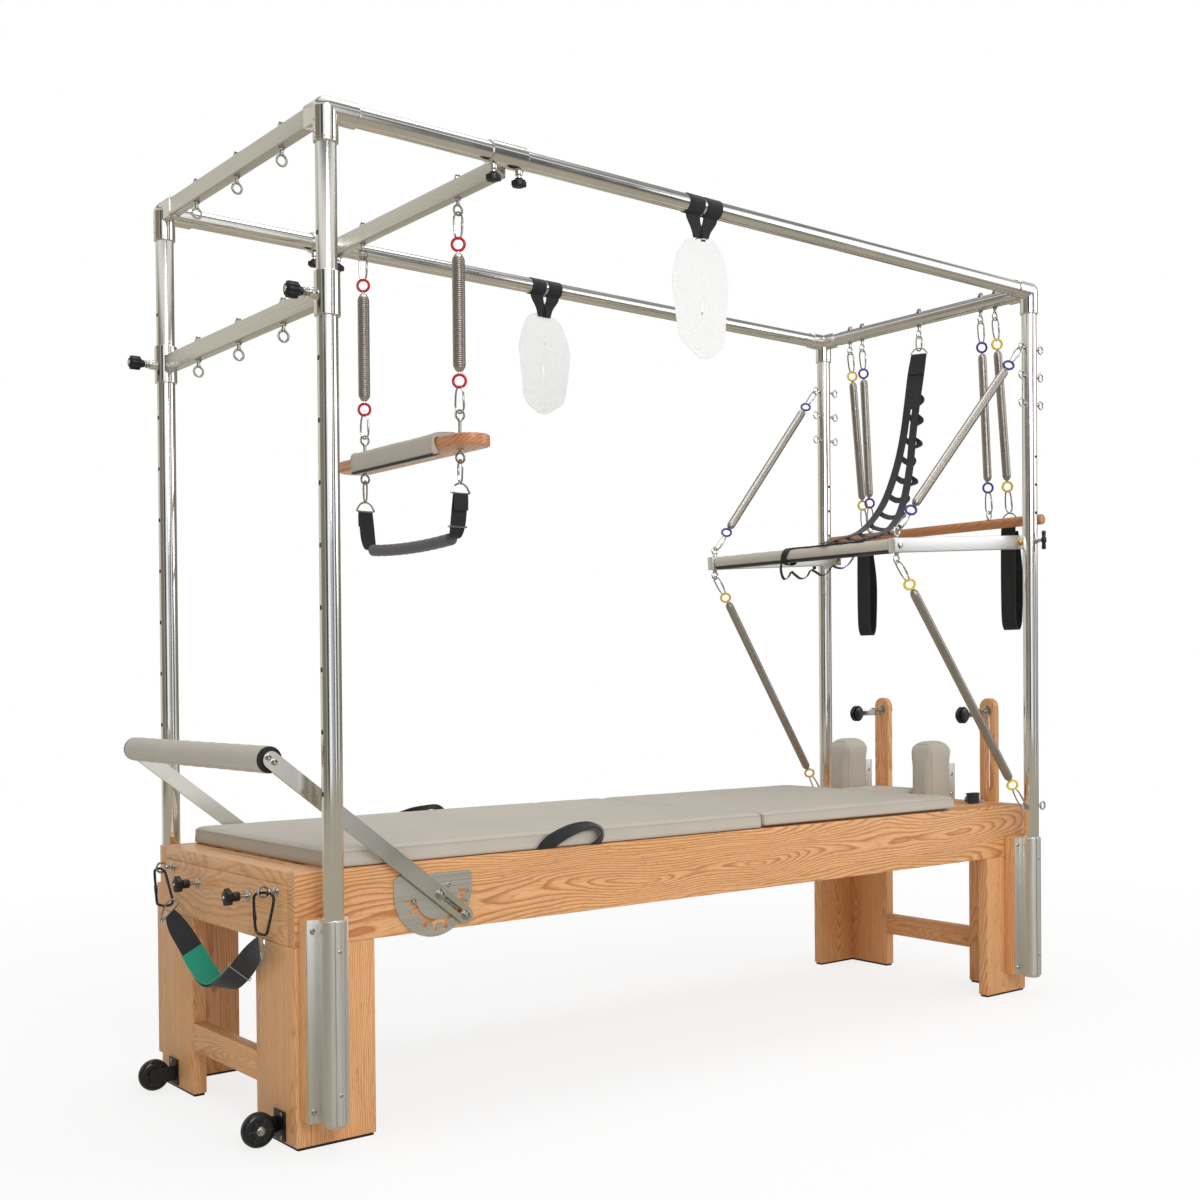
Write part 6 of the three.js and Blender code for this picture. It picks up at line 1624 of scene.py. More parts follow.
# The foot strap's line from left to right: y and z, half its width, all in mm, and its width direction.
FOOT_STRAP = (
    (218, 413, 13, (0.5, -0.3, 0.62)), (200, 402, 18, (0.6, -0.3, 0.62)), (172, 387, 22, (0.7, -0.3, 0.6)),
    (130, 366, 23.5, (0.76, -0.3, 0.58)), (89, 343, 24, (0.8, -0.3, 0.54)), (42, 315, 24, (0.88, -0.16, 0.36)),
    (0, 294, 24, (0.97, -0.04, 0.14)), (-46, 288, 24, (0.98, -0.02, -0.16)), (-95, 303, 24, (0.84, -0.24, -0.44)),
    (-150, 334, 24, (0.68, -0.36, -0.62)), (-205, 372, 24, (0.3, -0.46, -0.74)),
    (-246, 399, 23, (-0.1, -0.54, -0.83)))
# Each carabiner's outline: mm across and the share of its height from the top.
CARABINERS = {
    "left": ((-13, 0.03), (-5, 0), (3, 0.03), (9, 0.14), (15, 0.5), (20, 0.84), (17, 0.96), (4, 1), (-12, 0.97),
             (-16, 0.88), (-16, 0.5), (-16, 0.12)),
    "right": ((-18, 0.07), (-9, 0), (10, 0), (19, 0.06), (20.5, 0.2), (14, 0.55), (7, 0.88), (3, 0.98), (-7, 0.98),
              (-17, 0.88), (-19, 0.5), (-19.5, 0.18)),
}


def build_foot_strap(sizes):
    """The foot strap between the end board's eyes, with its green pad."""
    x, eye_y, top, low = at(-82, 0, 0).x, 264 * MM, 510 * MM, 426 * MM
    hooks, metalwork = bmesh.new(), bmesh.new()
    for name, side in SIDES:
        shift = -4 * MM if side < 0 else -14 * MM
        points = [Vector((x, side * eye_y + shift * v, top + (low - top) * v)) + FACING * u * MM
                  for u, v in CARABINERS[name]]
        wire(hooks, points, 3 * MM, closed=True, steps=5, sides=3)
        a, b = points[-2] * 0.85 + points[-1] * 0.15, points[-2] * 0.6 + points[-3] * 0.4
        rod(hooks, a, b, 3.8 * MM, sides=18, edge=0.8 * MM)
    keep("foot_strap_carabiners", hooks, "foot_strap", "gloss_black")
    line = laid([(Vector((x, y * MM, z * MM)), half * MM, way) for y, z, half, way in FOOT_STRAP], 8)
    for (spot, half, way, _), bow in ((line[0], Vector((0, 0.42, 0.9))), (line[-1], Vector((0, -0.72, 0.7)))):
        dee(metalwork, spot, 50 * MM, 26 * MM, 4.4 * MM, way, bow)
    i = int(len(line) * 0.82)
    spot, half, way, normal = line[i]
    corners = [spot + way * u * 27 * MM + normal * v * 3.2 * MM for u, v in ((-1, 1), (1, 1), (1, -1), (-1, -1))]
    wire(metalwork, corners, 1.5 * MM, closed=True, steps=1, sides=2)
    keep("foot_strap_rings", metalwork, "foot_strap", "chrome", "foot_strap")
    shape = bmesh.new()
    band(shape, lifted(line, 0), sizes.webbing * 1.3, steps=1)
    for part in (line[:20], line[-24:]):
        band(shape, lifted(part, -2.9 * MM, 0.98), sizes.webbing, steps=1)
    keep("foot_strap_band", shape, "foot_strap", "webbing", "foot_strap")
    soft = line[int(len(line) * 0.36):int(len(line) * 0.8)]
    shape = bmesh.new()
    band(shape, lifted(soft, 3 * MM, 1.05), 3.4 * MM, steps=1)
    keep("foot_strap_green", shape, "foot_strap", "green")
    shape = bmesh.new()
    for share in (-0.92, -0.35, 0.35, 0.92):
        stitch(shape, soft[1:-1], share, 4.7 * MM, 0.6 * MM)
    keep("foot_strap_green_lines", shape, "foot_strap", "green_thread")


def build_loose_strap(sizes):
    """The short black strap with two D-rings that stands folded on the carriage board by the right shoulder rest."""
    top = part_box("carriage_frame")[1].z
    x, y, half = at(2192, 0, 0).x, -262 * MM, 15 * MM
    shape = bmesh.new()
    fold = ((-30, 0), (-19, -11), (14, -11), (28, -1), (15, 9), (-18, 9))
    for line, closed in ((fold, True), (((-16, -2), (0, -4), (13, -1)), False)):
        band(shape, [(Vector((x + u * MM, y + v * MM, top + half + 1.2 * MM)), half, (0, 0, 1)) for u, v in line],
             sizes.webbing * 1.4, closed=closed, steps=5)
    keep("loose_strap_band", shape, "carriage", "webbing")
    shape = bmesh.new()
    for way in (-1, 1):
        dee(shape, (x + way * 29 * MM - 2 * MM, y - 4 * MM, top + 14 * MM), 26 * MM, 15 * MM, 3.2 * MM, (0, 0.15, 1),
            (way, -0.25, -0.2))
    keep("loose_strap_rings", shape, "carriage", "chrome")


# ---------------------------------------------------------------- pads
CLOTH_FRAMES = 12      # the length of the pressure run
CLOTH_PRESSURE = 4.0


def swollen(shape, low, voxel, cap):
    """Puffs a padded block with cloth under pressure, its underside pinned, and no point moving past the cap."""
    mesh = bpy.data.meshes.new("pad")
    shape.to_mesh(mesh)
    pad = bpy.data.objects.new("pad", mesh)
    bpy.context.scene.collection.objects.link(pad)
    remesh = pad.modifiers.new("Remesh", "REMESH")
    remesh.mode = "VOXEL"
    remesh.voxel_size = voxel
    graph = bpy.context.evaluated_depsgraph_get()
    fine = bpy.data.meshes.new_from_object(pad.evaluated_get(graph))
    pad.modifiers.clear()
    pad.data = fine
    bpy.data.meshes.remove(mesh)
    held = pad.vertex_groups.new(name="held")
    held.add([v.index for v in fine.vertices if v.co.z < low.z + voxel], 1.0, "REPLACE")
    before = [v.co.copy() for v in fine.vertices]
    cloth = pad.modifiers.new("Cloth", "CLOTH")
    cloth.settings.use_pressure = True
    cloth.settings.uniform_pressure_force = CLOTH_PRESSURE
    cloth.settings.vertex_group_mass = "held"
    cloth.settings.effector_weights.gravity = 0
    cloth.settings.quality = 4
    cloth.collision_settings.use_collision = False
    cloth.point_cache.frame_start, cloth.point_cache.frame_end = 1, CLOTH_FRAMES
    scene = bpy.context.scene
    for moment in range(1, CLOTH_FRAMES + 1):
        scene.frame_set(moment)
    graph = bpy.context.evaluated_depsgraph_get()
    puffed = pad.evaluated_get(graph).to_mesh()
    for index, vertex in enumerate(puffed.vertices):
        step = vertex.co - before[index]
        if step.length > cap:
            step *= cap / step.length
        fine.vertices[index].co = before[index] + step
    pad.evaluated_get(graph).to_mesh_clear()
    pad.modifiers.clear()
    scene.frame_set(1)
    shape.clear()
    shape.from_mesh(fine)
    bpy.data.objects.remove(pad)
    bpy.data.meshes.remove(fine)
    bmesh.ops.smooth_vert(shape, verts=shape.verts, factor=0.5, use_axis_x=True, use_axis_y=True, use_axis_z=True)


def corner_points(low, high, corner, steps):
    """Points round a box seen from above, along its four rounded corners."""
    x0, x1, y0, y1 = low.x + corner, high.x - corner, low.y + corner, high.y - corner
    spots = []
    for cx, cy, start in ((x1, y1, 0), (x0, y1, 90), (x0, y0, 180), (x1, y0, 270)):
        spots += arc(cx, cy, corner, start, start + 90, steps)
    return spots


def domed(shape, low, high, corner, dome):
    """A block with rounded upright corners whose top is drawn in along a quarter circle."""
    steps = 7
    face = shape.faces.new([shape.verts.new((u, v, low.z)) for u, v in corner_points(low, high, corner, 6)])
    middle, half = (low + high) / 2, (high - low) / 2
    before = 0.0
    for k in range(steps + 1):
        a = math.pi / 2 * k / steps * 0.94
        inset, level = dome * (1 - math.cos(a)), high.z - dome + dome * math.sin(a)
        verts, face = pulled(shape, face, (0, 0, level - face.verts[0].co.z))
        scale = [(size - inset) / (size - before) for size in (half.x, half.y)]
        place = Matrix.Translation(-Vector((middle.x, middle.y, 0)))
        bmesh.ops.scale(shape, vec=(*scale, 1), space=place, verts=verts)
        before = inset
    bmesh.ops.recalc_face_normals(shape, faces=shape.faces)


def cushion(name, node, body, sizes, voxel=6 * MM, cap=2.4 * MM, edge=None, dents=(), dome=None):
    """An upholstered block: softened edges, crowned top and drawn-in sides."""
    lo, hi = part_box(node) if isinstance(node, str) else node
    edge = edge or sizes.pad_round
    inset = cap * 0.6
    low = Vector((lo.x + inset, lo.y + inset, lo.z))
    high = Vector((hi.x - inset, hi.y - inset, hi.z - inset - sizes.pad_crown * 0.3))
    shape = bmesh.new()
    if dome:
        domed(shape, low, high, edge, dome)
    else:
        bmesh.ops.create_cube(shape, size=1)
        bmesh.ops.scale(shape, vec=high - low, verts=shape.verts)
        bmesh.ops.translate(shape, vec=(low + high) / 2, verts=shape.verts)
        upper = [e for e in shape.edges if max(v.co.z for v in e.verts) > high.z - 1e-6]
        rounded(shape, upper, edge, 5)
        lower = [e for e in shape.edges if max(v.co.z for v in e.verts) < low.z + 1e-6]
        rounded(shape, lower, 2 * MM, 2)
    stands_for = node if isinstance(node, str) else ()
    swollen(shape, low, voxel, cap)
    middle, half = (lo + hi) / 2, (hi - lo) / 2
    for v in shape.verts:
        u, w = (v.co.x - middle.x) / half.x, (v.co.y - middle.y) / half.y
        rise = max(0.0, (v.co.z - low.z) / (high.z - low.z))
        crown = max(0.0, (1 - u ** 4) * (1 - w ** 4))
        wave = noise.noise(Vector((v.co.x * 5, v.co.y * 5, 1.7))) * 0.5 + noise.noise(v.co * 16) * 0.25
        v.co.z += rise * (sizes.pad_crown * (crown - 0.4) * 0.5 + wave * 1.2 * MM)
        for place, depth, width in dents:
            v.co.z -= rise * depth * math.exp(-((v.co.x - place - w * w * 4 * MM) / width) ** 2)
        for axis, share in ((0, u), (1, w)):
            other = w if axis == 0 else u
            pull = 1.6 * MM * (1 - other * other) * max(0, abs(share) - 0.9) / 0.1
            v.co[axis] -= math.copysign(pull * (0.4 + 0.6 * rise), share)
    return keep(name, shape, body, "vinyl", stands_for, sharp=0)


def sewn(name, pad, trail, body, radius, closed=True):
    """A seam laid on the surface of a finished pad."""
    skin = BVHTree.FromPolygons([v.co for v in pad.data.vertices], [tuple(p.vertices) for p in pad.data.polygons])
    points = []
    for spot in trail:
        place, normal, _, _ = skin.find_nearest(spot)
        points.append(place + normal * radius * 0.2)
    shape = bmesh.new()
    wire(shape, points, radius, closed=closed, steps=1, sides=1)
    keep(name, shape, body, "piping")


def edge_trail(lo, hi, z):
    """Points round a pad's sides at one height."""
    corner, steps = 8 * MM, 24
    spots = [Vector((x, y, z)) for x, y in corner_points(lo, hi, corner, 5)]
    full = []
    for i, spot in enumerate(spots):
        following = spots[(i + 1) % len(spots)]
        count = steps if (following - spot).length > 3 * corner else 1
        full += [spot.lerp(following, k / count) for k in range(count)]
    return full


# A mat handle's line: x, y and z, half its width, all in mm, and its width direction.
MAT_HANDLE = (
    (563, 341, 556.6, 21, (1, 0, 0)), (588, 343.5, 575, 16.5, (0.64, 0.14, -0.75)),
    (628, 342, 591, 14, (0.38, 0.42, -0.8)), (672, 337, 600.5, 13.5, (0.12, 0.8, -0.56)),
    (700, 338, 601.5, 13, (-0.15, 0.88, -0.4)),
    (720, 346, 592, 12, (-0.6, 0.75, -0.2)), (725, 347, 577, 12, (-0.75, 0.65, 0)),
    (717, 344, 563, 13, (-0.95, 0.3, 0)), (711, 340, 556.8, 14, (-1, 0, 0)))


WELT_DROP = 8 * MM      # from a pad's top down to its piping


def build_pads(sizes):
    """The mat with its handles, the carriage, the headrest and the shoulder rests."""
    lo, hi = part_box("mat_insert")
    half = TABLE_Y - 5 * MM
    mat = (Vector((lo.x, -half, TABLE_TOP + 0.6 * MM)), Vector((hi.x, half, hi.z)))
    crease = at(1010, 0, 0).x
    piece = cushion("mat_cover", mat, "frame", sizes, dents=((crease, 2.6 * MM, 7 * MM),))
    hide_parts("mat_insert")
    sewn("mat_welt", piece, edge_trail(*mat, mat[1].z - WELT_DROP), "frame", sizes.seam * 0.45)
    for name, side in SIDES:
        line = laid([(at(px, side * out, pz), wide * MM, (a, side * b, c)) for px, out, pz, wide, (a, b, c)
                     in MAT_HANDLE], 6)
        shape = bmesh.new()
        band(shape, lifted(line, 0), 2.8 * MM, steps=1)
        keep(f"mat_handle_{name}", shape, "frame", "webbing")
        shape = bmesh.new()
        for share in (-0.8, 0.8):
            for height in (-1.5 * MM, 1.5 * MM):
                stitch(shape, line[2:-2], share, height)
        keep(f"mat_handle_stitches_{name}", shape, "frame", "thread")
    for node, body, voxel in (("carriage_pad", "carriage", 6 * MM), ("headrest", "headrest", 4 * MM)):
        lo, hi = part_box(node)
        piece = cushion(f"{body}_cover", node, body, sizes, voxel=voxel)
        sewn(f"{body}_welt", piece, edge_trail(lo, hi, hi.z - WELT_DROP), body, sizes.seam * 0.45)
    for name, side in SIDES:
        build_shoulder_rest(name, side, sizes)


def build_shoulder_rest(name, side, sizes):
    """A shoulder rest: its pad, seam, bracket and screws."""
    node = body = f"shoulder_rest_{name}"
    lo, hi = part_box(node)
    back = at(2177, 0, 0).x
    middle = side * 163 * MM
    pad = (Vector((lo.x, middle - 40 * MM, lo.z)), Vector((back, middle + 40 * MM, hi.z)))
    corner, dome, seam_in = 9 * MM, 32 * MM, 9 * MM
    piece = cushion(f"shoulder_pad_{name}", pad, body, sizes, voxel=4 * MM, cap=4 * MM, edge=corner,
                    dome=dome)
    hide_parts(node)
    a, b = pad
    rise = [(0.0, a.z + 4 * MM + (b.z - dome - a.z - 4 * MM) * k / 12) for k in range(12)]
    rise += [(dome * (1 - math.cos(t)), b.z - dome + dome * math.sin(t)) for t in
             (math.acos(1 - seam_in / dome) * k / 5 for k in range(6))]
    trail = []
    for inset, level in rise:
        depth = seam_in - inset
        turn = corner - math.sqrt(max(0.0, corner ** 2 - max(0.0, corner - depth) ** 2))
        trail.append(Vector((a.x + seam_in, a.y + inset + turn, level)))
    back_half = [Vector((p.x, 2 * middle - p.y, p.z)) for p in trail[::-1]]
    across = [trail[-1].lerp(back_half[0], k / 6) for k in range(1, 6)]
    sewn(f"shoulder_seam_{name}", piece, trail + across + back_half, body, MM, closed=False)
    shape = bmesh.new()
    z0, z1 = lo.z, 676 * MM
    for way in (-1, 1):
        wall = middle + way * 23 * MM
        block(shape, (back - MM, wall - 2 * MM, z0), (back + 28 * MM, wall + 2 * MM, z1), MM)
    block(shape, (back - 3 * MM, middle - 25 * MM, z0), (back + MM, middle + 25 * MM, z1), 0.8 * MM)
    keep(f"shoulder_bracket_{name}", shape, body, "aluminium")
    shape = bmesh.new()
    for z in (z0 + 26 * MM, z0 + 84 * MM):
        screw(shape, (back + MM, middle, z), (1, 0, 0), 5.5 * MM, 2.6 * MM)
        for way in (-1, 1):
            screw(shape, (back + 14 * MM, middle + way * 25 * MM, z), (0, way, 0), 5 * MM, 2.4 * MM)
    keep(f"shoulder_bracket_screws_{name}", shape, body, "chrome")


def build_carriage():
    """The carriage board, its tail and the blocks that run on the ledges."""
    lo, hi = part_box("carriage_frame")
    top, thick = hi.z, 18 * MM
    pad_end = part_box("carriage_pad")[1].x
    shape = bmesh.new()
    block(shape, (lo.x, lo.y, top - thick), (pad_end, hi.y, top), 1.6 * MM, 3)
    keep("carriage_board", shape, "carriage", "oak_cross", "carriage_frame")
    shape = bmesh.new()
    block(shape, (pad_end, -300 * MM, top - thick), (hi.x, 300 * MM, top), 1.6 * MM, 3)
    keep("carriage_tail", shape, "carriage", "oak_cross")
    blocks = bmesh.new()
    for side in (-1, 1):
        for x in (lo.x + 90 * MM, pad_end):
            block(blocks, (x - 90 * MM, side * (hi.y - 26 * MM), lo.z), (x, side * hi.y, top - thick), 2 * MM)
    keep("carriage_blocks", blocks, "carriage", "plastic")


PULLEY_KNOB = ((0, 0), (7, 0), (8, 2), (8, 8), (11, 11), (12, 14), (11.5, 20), (8, 22), (0, 22))
PULLEY_POST = 22 * MM      # its thickness


def build_pulleys():
    """The rope pulleys on their posts behind the table."""
    for name, side in SIDES:
        y = side * 209 * MM
        build_pulley_post(name, y)
        build_pulley_fork(name, y, *centre_of(f"pulley_{name}")[::2])
        build_pulley_wheel(name, y)


def build_pulley_post(name, y):
    """The oak post with a round head and a slot."""
    low, high = (corner.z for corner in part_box(f"pulley_post_{name}"))
    radius, slit = 28 * MM, 9 * MM
    outline = [(y - radius, low), (y + radius, low)] + arc(y, high - radius, radius, 0, 180, 24)
    shape = bmesh.new()
    plate(shape, [(TABLE_X1, v, z) for v, z in outline], (PULLEY_POST, 0, 0))
    rims = [e for e in shape.edges if abs(e.verts[0].co.x - e.verts[1].co.x) < 1e-6]
    rounded(shape, rims, 2.4 * MM, 3)
    cutter = bmesh.new()
    slot = arc(y, PULLEY_BOLT_Z, slit, 0, 180, 10) + arc(y, 600 * MM, slit, 180, 360, 10)
    plate(cutter, [(TABLE_X1 - 4 * MM, v, z) for v, z in slot], (PULLEY_POST + 8 * MM, 0, 0))
    carve(shape, cutter)
    keep(f"pulley_board_{name}", shape, "frame", "oak_post", f"pulley_post_{name}", sharp=30)


def build_pulley_fork(name, y, x, z):
    """The bolt through the post, the fork that holds the wheel, and its two cheeks."""
    bolt = PULLEY_BOLT_Z
    shape = bmesh.new()
    for start, end, radius, sides, edge in (
            (x + 84 * MM, TABLE_X1 + PULLEY_POST + 3 * MM, 5, 20, 0), (TABLE_X1, TABLE_X1 - 2.5 * MM, 16, 36, 0.6),
            (TABLE_X1 - 2 * MM, TABLE_X1 - 12 * MM, 9, 6, 0.8), (x + 78 * MM, x + 92 * MM, 7, 28, 1.2)):
        rod(shape, (start, y, bolt), (end, y, bolt), radius * MM, sides=sides, edge=edge * MM)
    for way in (-1, 1):
        near, far = y + way * 8.2 * MM - 1.5 * MM, y + way * 8.2 * MM + 1.5 * MM
        pin(shape, x, z, near, far, 9 * MM, sides=28, edge=0.6 * MM)
        block(shape, (x, near, z - 7 * MM), (x + 84 * MM, far, z + 13 * MM), 1.2 * MM)
    block(shape, (x + 80 * MM, y - 9.7 * MM, z - 7 * MM), (x + 84 * MM, y + 9.7 * MM, bolt + 7 * MM), 1.2 * MM)
    pin(shape, x, z, y - 10.5 * MM, y + 10.5 * MM, 4 * MM, sides=20, edge=0.6 * MM)
    keep(f"pulley_fork_{name}", shape, "frame", "chrome", f"pulley_post_{name}")
    shape = bmesh.new()
    for way in (-1, 1):
        cheek = y + way * 10.4 * MM
        pin(shape, x, z, cheek - 0.8 * MM, cheek + 0.8 * MM, 20 * MM, sides=40, edge=0.6 * MM)
    keep(f"pulley_cheeks_{name}", shape, "frame", "gloss_black")


def build_pulley_wheel(name, y):
    """The grooved wheel, and the knob of its post's bolt."""
    half, rim = 6 * MM, 25 * MM
    lower = [(4.7 * MM, -half), (9 * MM, -half), (11 * MM, -half * 0.7), (rim - 4 * MM, -half * 0.7),
             (rim - 2 * MM, -half), (rim, -half * 0.9), (rim - 0.4 * MM, -half * 0.6)]
    profile = lower + [(rim - 5 * MM, 0)] + [(r, -h) for r, h in reversed(lower)]
    shape = bmesh.new()
    turned(shape, profile, Vector(centre_of(f"pulley_{name}")), (0, 1, 0), 48)
    keep(f"pulley_wheel_{name}", shape, f"pulley_{name}", "plastic", f"pulley_{name}", sharp=45)
    shape = bmesh.new()
    turned(shape, [(r * MM, h * MM) for r, h in PULLEY_KNOB], (TABLE_X1 + PULLEY_POST, y, PULLEY_BOLT_Z), (1, 0, 0),
           32, closed=False)
    keep(f"pulley_knob_{name}", shape, "frame", "plastic", sharp=50)


# ---------------------------------------------------------------- stage
# The photo's camera: where it stands and how it is turned.
EYE = Vector((POST_X - 1.3905, -3.0127, 0.930))
VIEW_RIGHT = Vector((0.78470, -0.61983, -0.00824))
VIEW_UP = Vector((0.01326, 0.00350, 0.99991))
VIEW_BACK = Vector((-0.61974, -0.78473, 0.01097))


def build_floor():
    """A white floor that keeps the part's shadows near it and fades into the white around."""
    shape = bmesh.new()
    bmesh.ops.create_circle(shape, cap_ends=True, segments=96, radius=4.6)
    mesh = bpy.data.meshes.new("studio_floor")
    shape.to_mesh(mesh)
    shape.free()
    floor = bpy.data.objects.new("studio_floor", mesh)
    bpy.context.scene.collection.objects.link(floor)
    material, tree, shader = finish_named("studio_floor", (0.97, 0.97, 0.97), 1.0)
    shader.inputs["Specular IOR Level"].default_value = 0.0
    glow = put(tree, "Emission", Color=grey(1.0), Strength=1.0).outputs[0]
    # Painted reflection: to glossy rays the floor glows a dim taupe instead of its lit white, which draws the darker
    # lower band on the metal
    painted_reflection = put(tree, "Emission", Color=(0.4, 0.37, 0.3, 1.0), Strength=1.0).outputs[0]
    reach = worked(tree, "VectorMath", "LENGTH", put(tree, "TexCoord").outputs["Object"])
    share = put(tree, "MapRange", From_Min=1.6, From_Max=3.6, To_Min=0.8, To_Max=1.0)
    link(tree, reach, share.inputs["Value"])
    path = put(tree, "LightPath").outputs
    seen = worked(tree, "Math", "MAXIMUM", path["Is Camera Ray"], path["Is Transmission Ray"])
    part = worked(tree, "Math", "MULTIPLY", seen, share.outputs[0])
    white = chosen(tree, part, shader.outputs[0], glow)
    mirror = chosen(tree, path["Is Glossy Ray"], white, painted_reflection)
    link(tree, mirror, tree.nodes["Material Output"].inputs["Surface"])
    mesh.materials.append(material)


# The cards and flags round the part as metal sees them: degrees from the camera's back, and their colour.
STUDIO_BANDS = (
    (-180, (0.62, 0.6, 0.54)), (-98, (0.66, 0.64, 0.58)), (-90, (0.22, 0.2, 0.15)), (-44, (0.2, 0.18, 0.135)),
    (-40, (0.36, 0.36, 0.34)), (-33, (0.36, 0.36, 0.34)), (-30, (0.05, 0.06, 0.06)), (-12, (0.05, 0.06, 0.06)),
    (-9, (1, 1, 1)), (13, (1, 1, 1)), (16, (0.42, 0.46, 0.52)), (40, (0.38, 0.43, 0.5)), (43, (0.08, 0.1, 0.12)),
    (51, (0.08, 0.1, 0.12)), (54, (1, 1, 1)), (64, (1, 1, 1)), (67, (0.1, 0.1, 0.1)), (84, (0.12, 0.12, 0.12)),
    (88, (0.7, 0.7, 0.72)), (104, (0.7, 0.7, 0.72)), (109, (0.2, 0.19, 0.17)), (180, (0.2, 0.19, 0.17)))


# The same from below (0) to straight above (1).
STUDIO_LEVELS = (
    (0.0, (0.3, 0.27, 0.21)), (0.72, (0.3, 0.29, 0.27)), (0.75, (0.8, 0.8, 0.78)), (0.79, (0.8, 0.8, 0.78)),
    (0.82, (0.16, 0.17, 0.19)), (0.9, (0.34, 0.34, 0.36)), (0.93, (0.82, 0.82, 0.82)), (1.0, (0.78, 0.78, 0.8)))


def build_world():
    """White to the camera, and to metal a studio of pale cards and dark flags that draw the streaks on the tubes."""
    world = bpy.data.worlds.new("Studio")
    bpy.context.scene.world = world
    world.use_nodes = True
    tree = world.node_tree
    plain = tree.nodes["Background"]
    plain.inputs["Color"].default_value = grey(1.0)
    plain.inputs["Strength"].default_value = 0.46
    where = put(tree, "TexCoord").outputs["Generated"]
    sides = [worked(tree, "VectorMath", "DOT_PRODUCT", where, (axis.x, axis.y, 0))
             for axis in (VIEW_RIGHT, VIEW_BACK)]
    share = worked(tree, "Math", "MULTIPLY_ADD", worked(tree, "Math", "ARCTAN2", *sides), 0.5 / math.pi, 0.5)
    cards = ramp(tree, share, [((degrees + 180) / 360, card) for degrees, card in STUDIO_BANDS])
    upright = put(tree, "SeparateXYZ")
    link(tree, where, upright.inputs[0])
    level = worked(tree, "Math", "MULTIPLY_ADD", upright.outputs["Z"], 0.5, 0.5)
    overhead = ramp(tree, level, STUDIO_LEVELS)
    edge = ramp(tree, level, [(0.36, grey(1.0)), (0.4, grey(0.0)), (0.71, grey(0.0)), (0.74, grey(1.0))])
    mirror = put(tree, "Background", Strength=1.0)
    link(tree, mixed(tree, edge, cards, overhead), mirror.inputs["Color"])
    clear = put(tree, "Background", Color=grey(1.0), Strength=1.0)
    path = put(tree, "LightPath").outputs
    shiny = chosen(tree, path["Is Glossy Ray"], plain.outputs[0], mirror.outputs[0])
    direct = worked(tree, "Math", "MAXIMUM", path["Is Camera Ray"], path["Is Transmission Ray"])
    link(tree, chosen(tree, direct, shiny, clear.outputs[0]), tree.nodes["World Output"].inputs["Surface"])


# Soft round lamps: place from the part's middle on the floor, width and power.
LAMPS = (("key", (-2.2, -6.6, 4.6), 3.8, 196), ("fill", (4.8, -3.9, 3.2), 3.6, 54),
         ("top", (0.3, 0.4, 7.4), 5.0, 176))


def build_lamps():
    """The studio's lamps, turned to the part's middle."""
    middle = (cad_lo + cad_hi) / 2
    for name, place, size, power in LAMPS:
        lamp = bpy.data.lights.new(name, "AREA")
        lamp.shape, lamp.size, lamp.energy = "DISK", size, power
        holder = bpy.data.objects.new(name, lamp)
        holder.location = middle + Vector(place) - Vector((0, 0, middle.z))
        holder.rotation_euler = (middle - holder.location).to_track_quat("-Z", "Y").to_euler()
        bpy.context.scene.collection.objects.link(holder)


def build_camera():
    """The photo's camera, as fitted to the part."""
    lens = bpy.data.cameras.new("Camera")
    lens.sensor_width, lens.lens = 36, 44.36
    lens.shift_x, lens.shift_y = 0.0015, 0.0814
    lens.clip_end = 60
    camera = bpy.data.objects.new("Camera", lens)
    turn = Matrix((VIEW_RIGHT, VIEW_UP, VIEW_BACK)).transposed().to_4x4()
    camera.matrix_world = Matrix.Translation(EYE) @ turn
    bpy.context.scene.collection.objects.link(camera)
    bpy.context.scene.camera = camera


# ---------------------------------------------------------------- operators
class TRAPEZE_OT_stage(Operator):
    """Add the pale floor, the soft studio light and the camera"""
    bl_idname = "trapeze.stage"
    bl_label = "Stage"

    def execute(self, context):
        context.scene.view_settings.view_transform = "Standard"
        build_world()
        build_floor()
        build_lamps()
        build_camera()
        return {"FINISHED"}


class TRAPEZE_OT_table(Operator):
    """Dress the oak table: rails, ends, stretchers, legs and wheels"""
    bl_idname = "trapeze.table"
    bl_label = "Oak table"

    def execute(self, context):
        sizes = context.scene.trapeze_table
        build_boards(sizes)
        build_end_fittings()
        build_wheels(sizes)
        build_sockets()
        return {"FINISHED"}


class TRAPEZE_OT_footbar(Operator):
    """Dress the foot bar, its arms and its locking plates"""
    bl_idname = "trapeze.footbar"
    bl_label = "Foot bar"

    def execute(self, context):
        build_footbar_plates()
        build_footbar_arms()
        build_footbar_roll()
        return {"FINISHED"}


class TRAPEZE_OT_frame(Operator):
    """Dress the tube frame and its corner fittings"""
    bl_idname = "trapeze.frame"
    bl_label = "Tube frame"

    def execute(self, context):
        build_frame_tubes(context.scene.trapeze_frame)
        return {"FINISHED"}


class TRAPEZE_OT_crossbars(Operator):
    """Dress the flat beams that cross the frame, with their eyes and clamps"""
    bl_idname = "trapeze.crossbars"
    bl_label = "Cross beams"

    def execute(self, context):
        build_crossbars(context.scene.trapeze_frame)
        return {"FINISHED"}


class TRAPEZE_OT_springs(Operator):
    """Wind the springs, with their hooks and coloured rings"""
    bl_idname = "trapeze.springs"
    bl_label = "Springs"

    def execute(self, context):
        build_springs(context.scene.trapeze_soft)
        return {"FINISHED"}


class TRAPEZE_OT_push_bar(Operator):
    """Dress the push-through bar, its pad and its pivots"""
    bl_idname = "trapeze.push_bar"
    bl_label = "Push bar"

    def execute(self, context):
        build_push_bar()
        return {"FINISHED"}


class TRAPEZE_OT_trapeze(Operator):
    """Dress the trapeze board, its draped pad and its sling"""
    bl_idname = "trapeze.trapeze"
    bl_label = "Trapeze"

    def execute(self, context):
        build_trapeze()
        return {"FINISHED"}


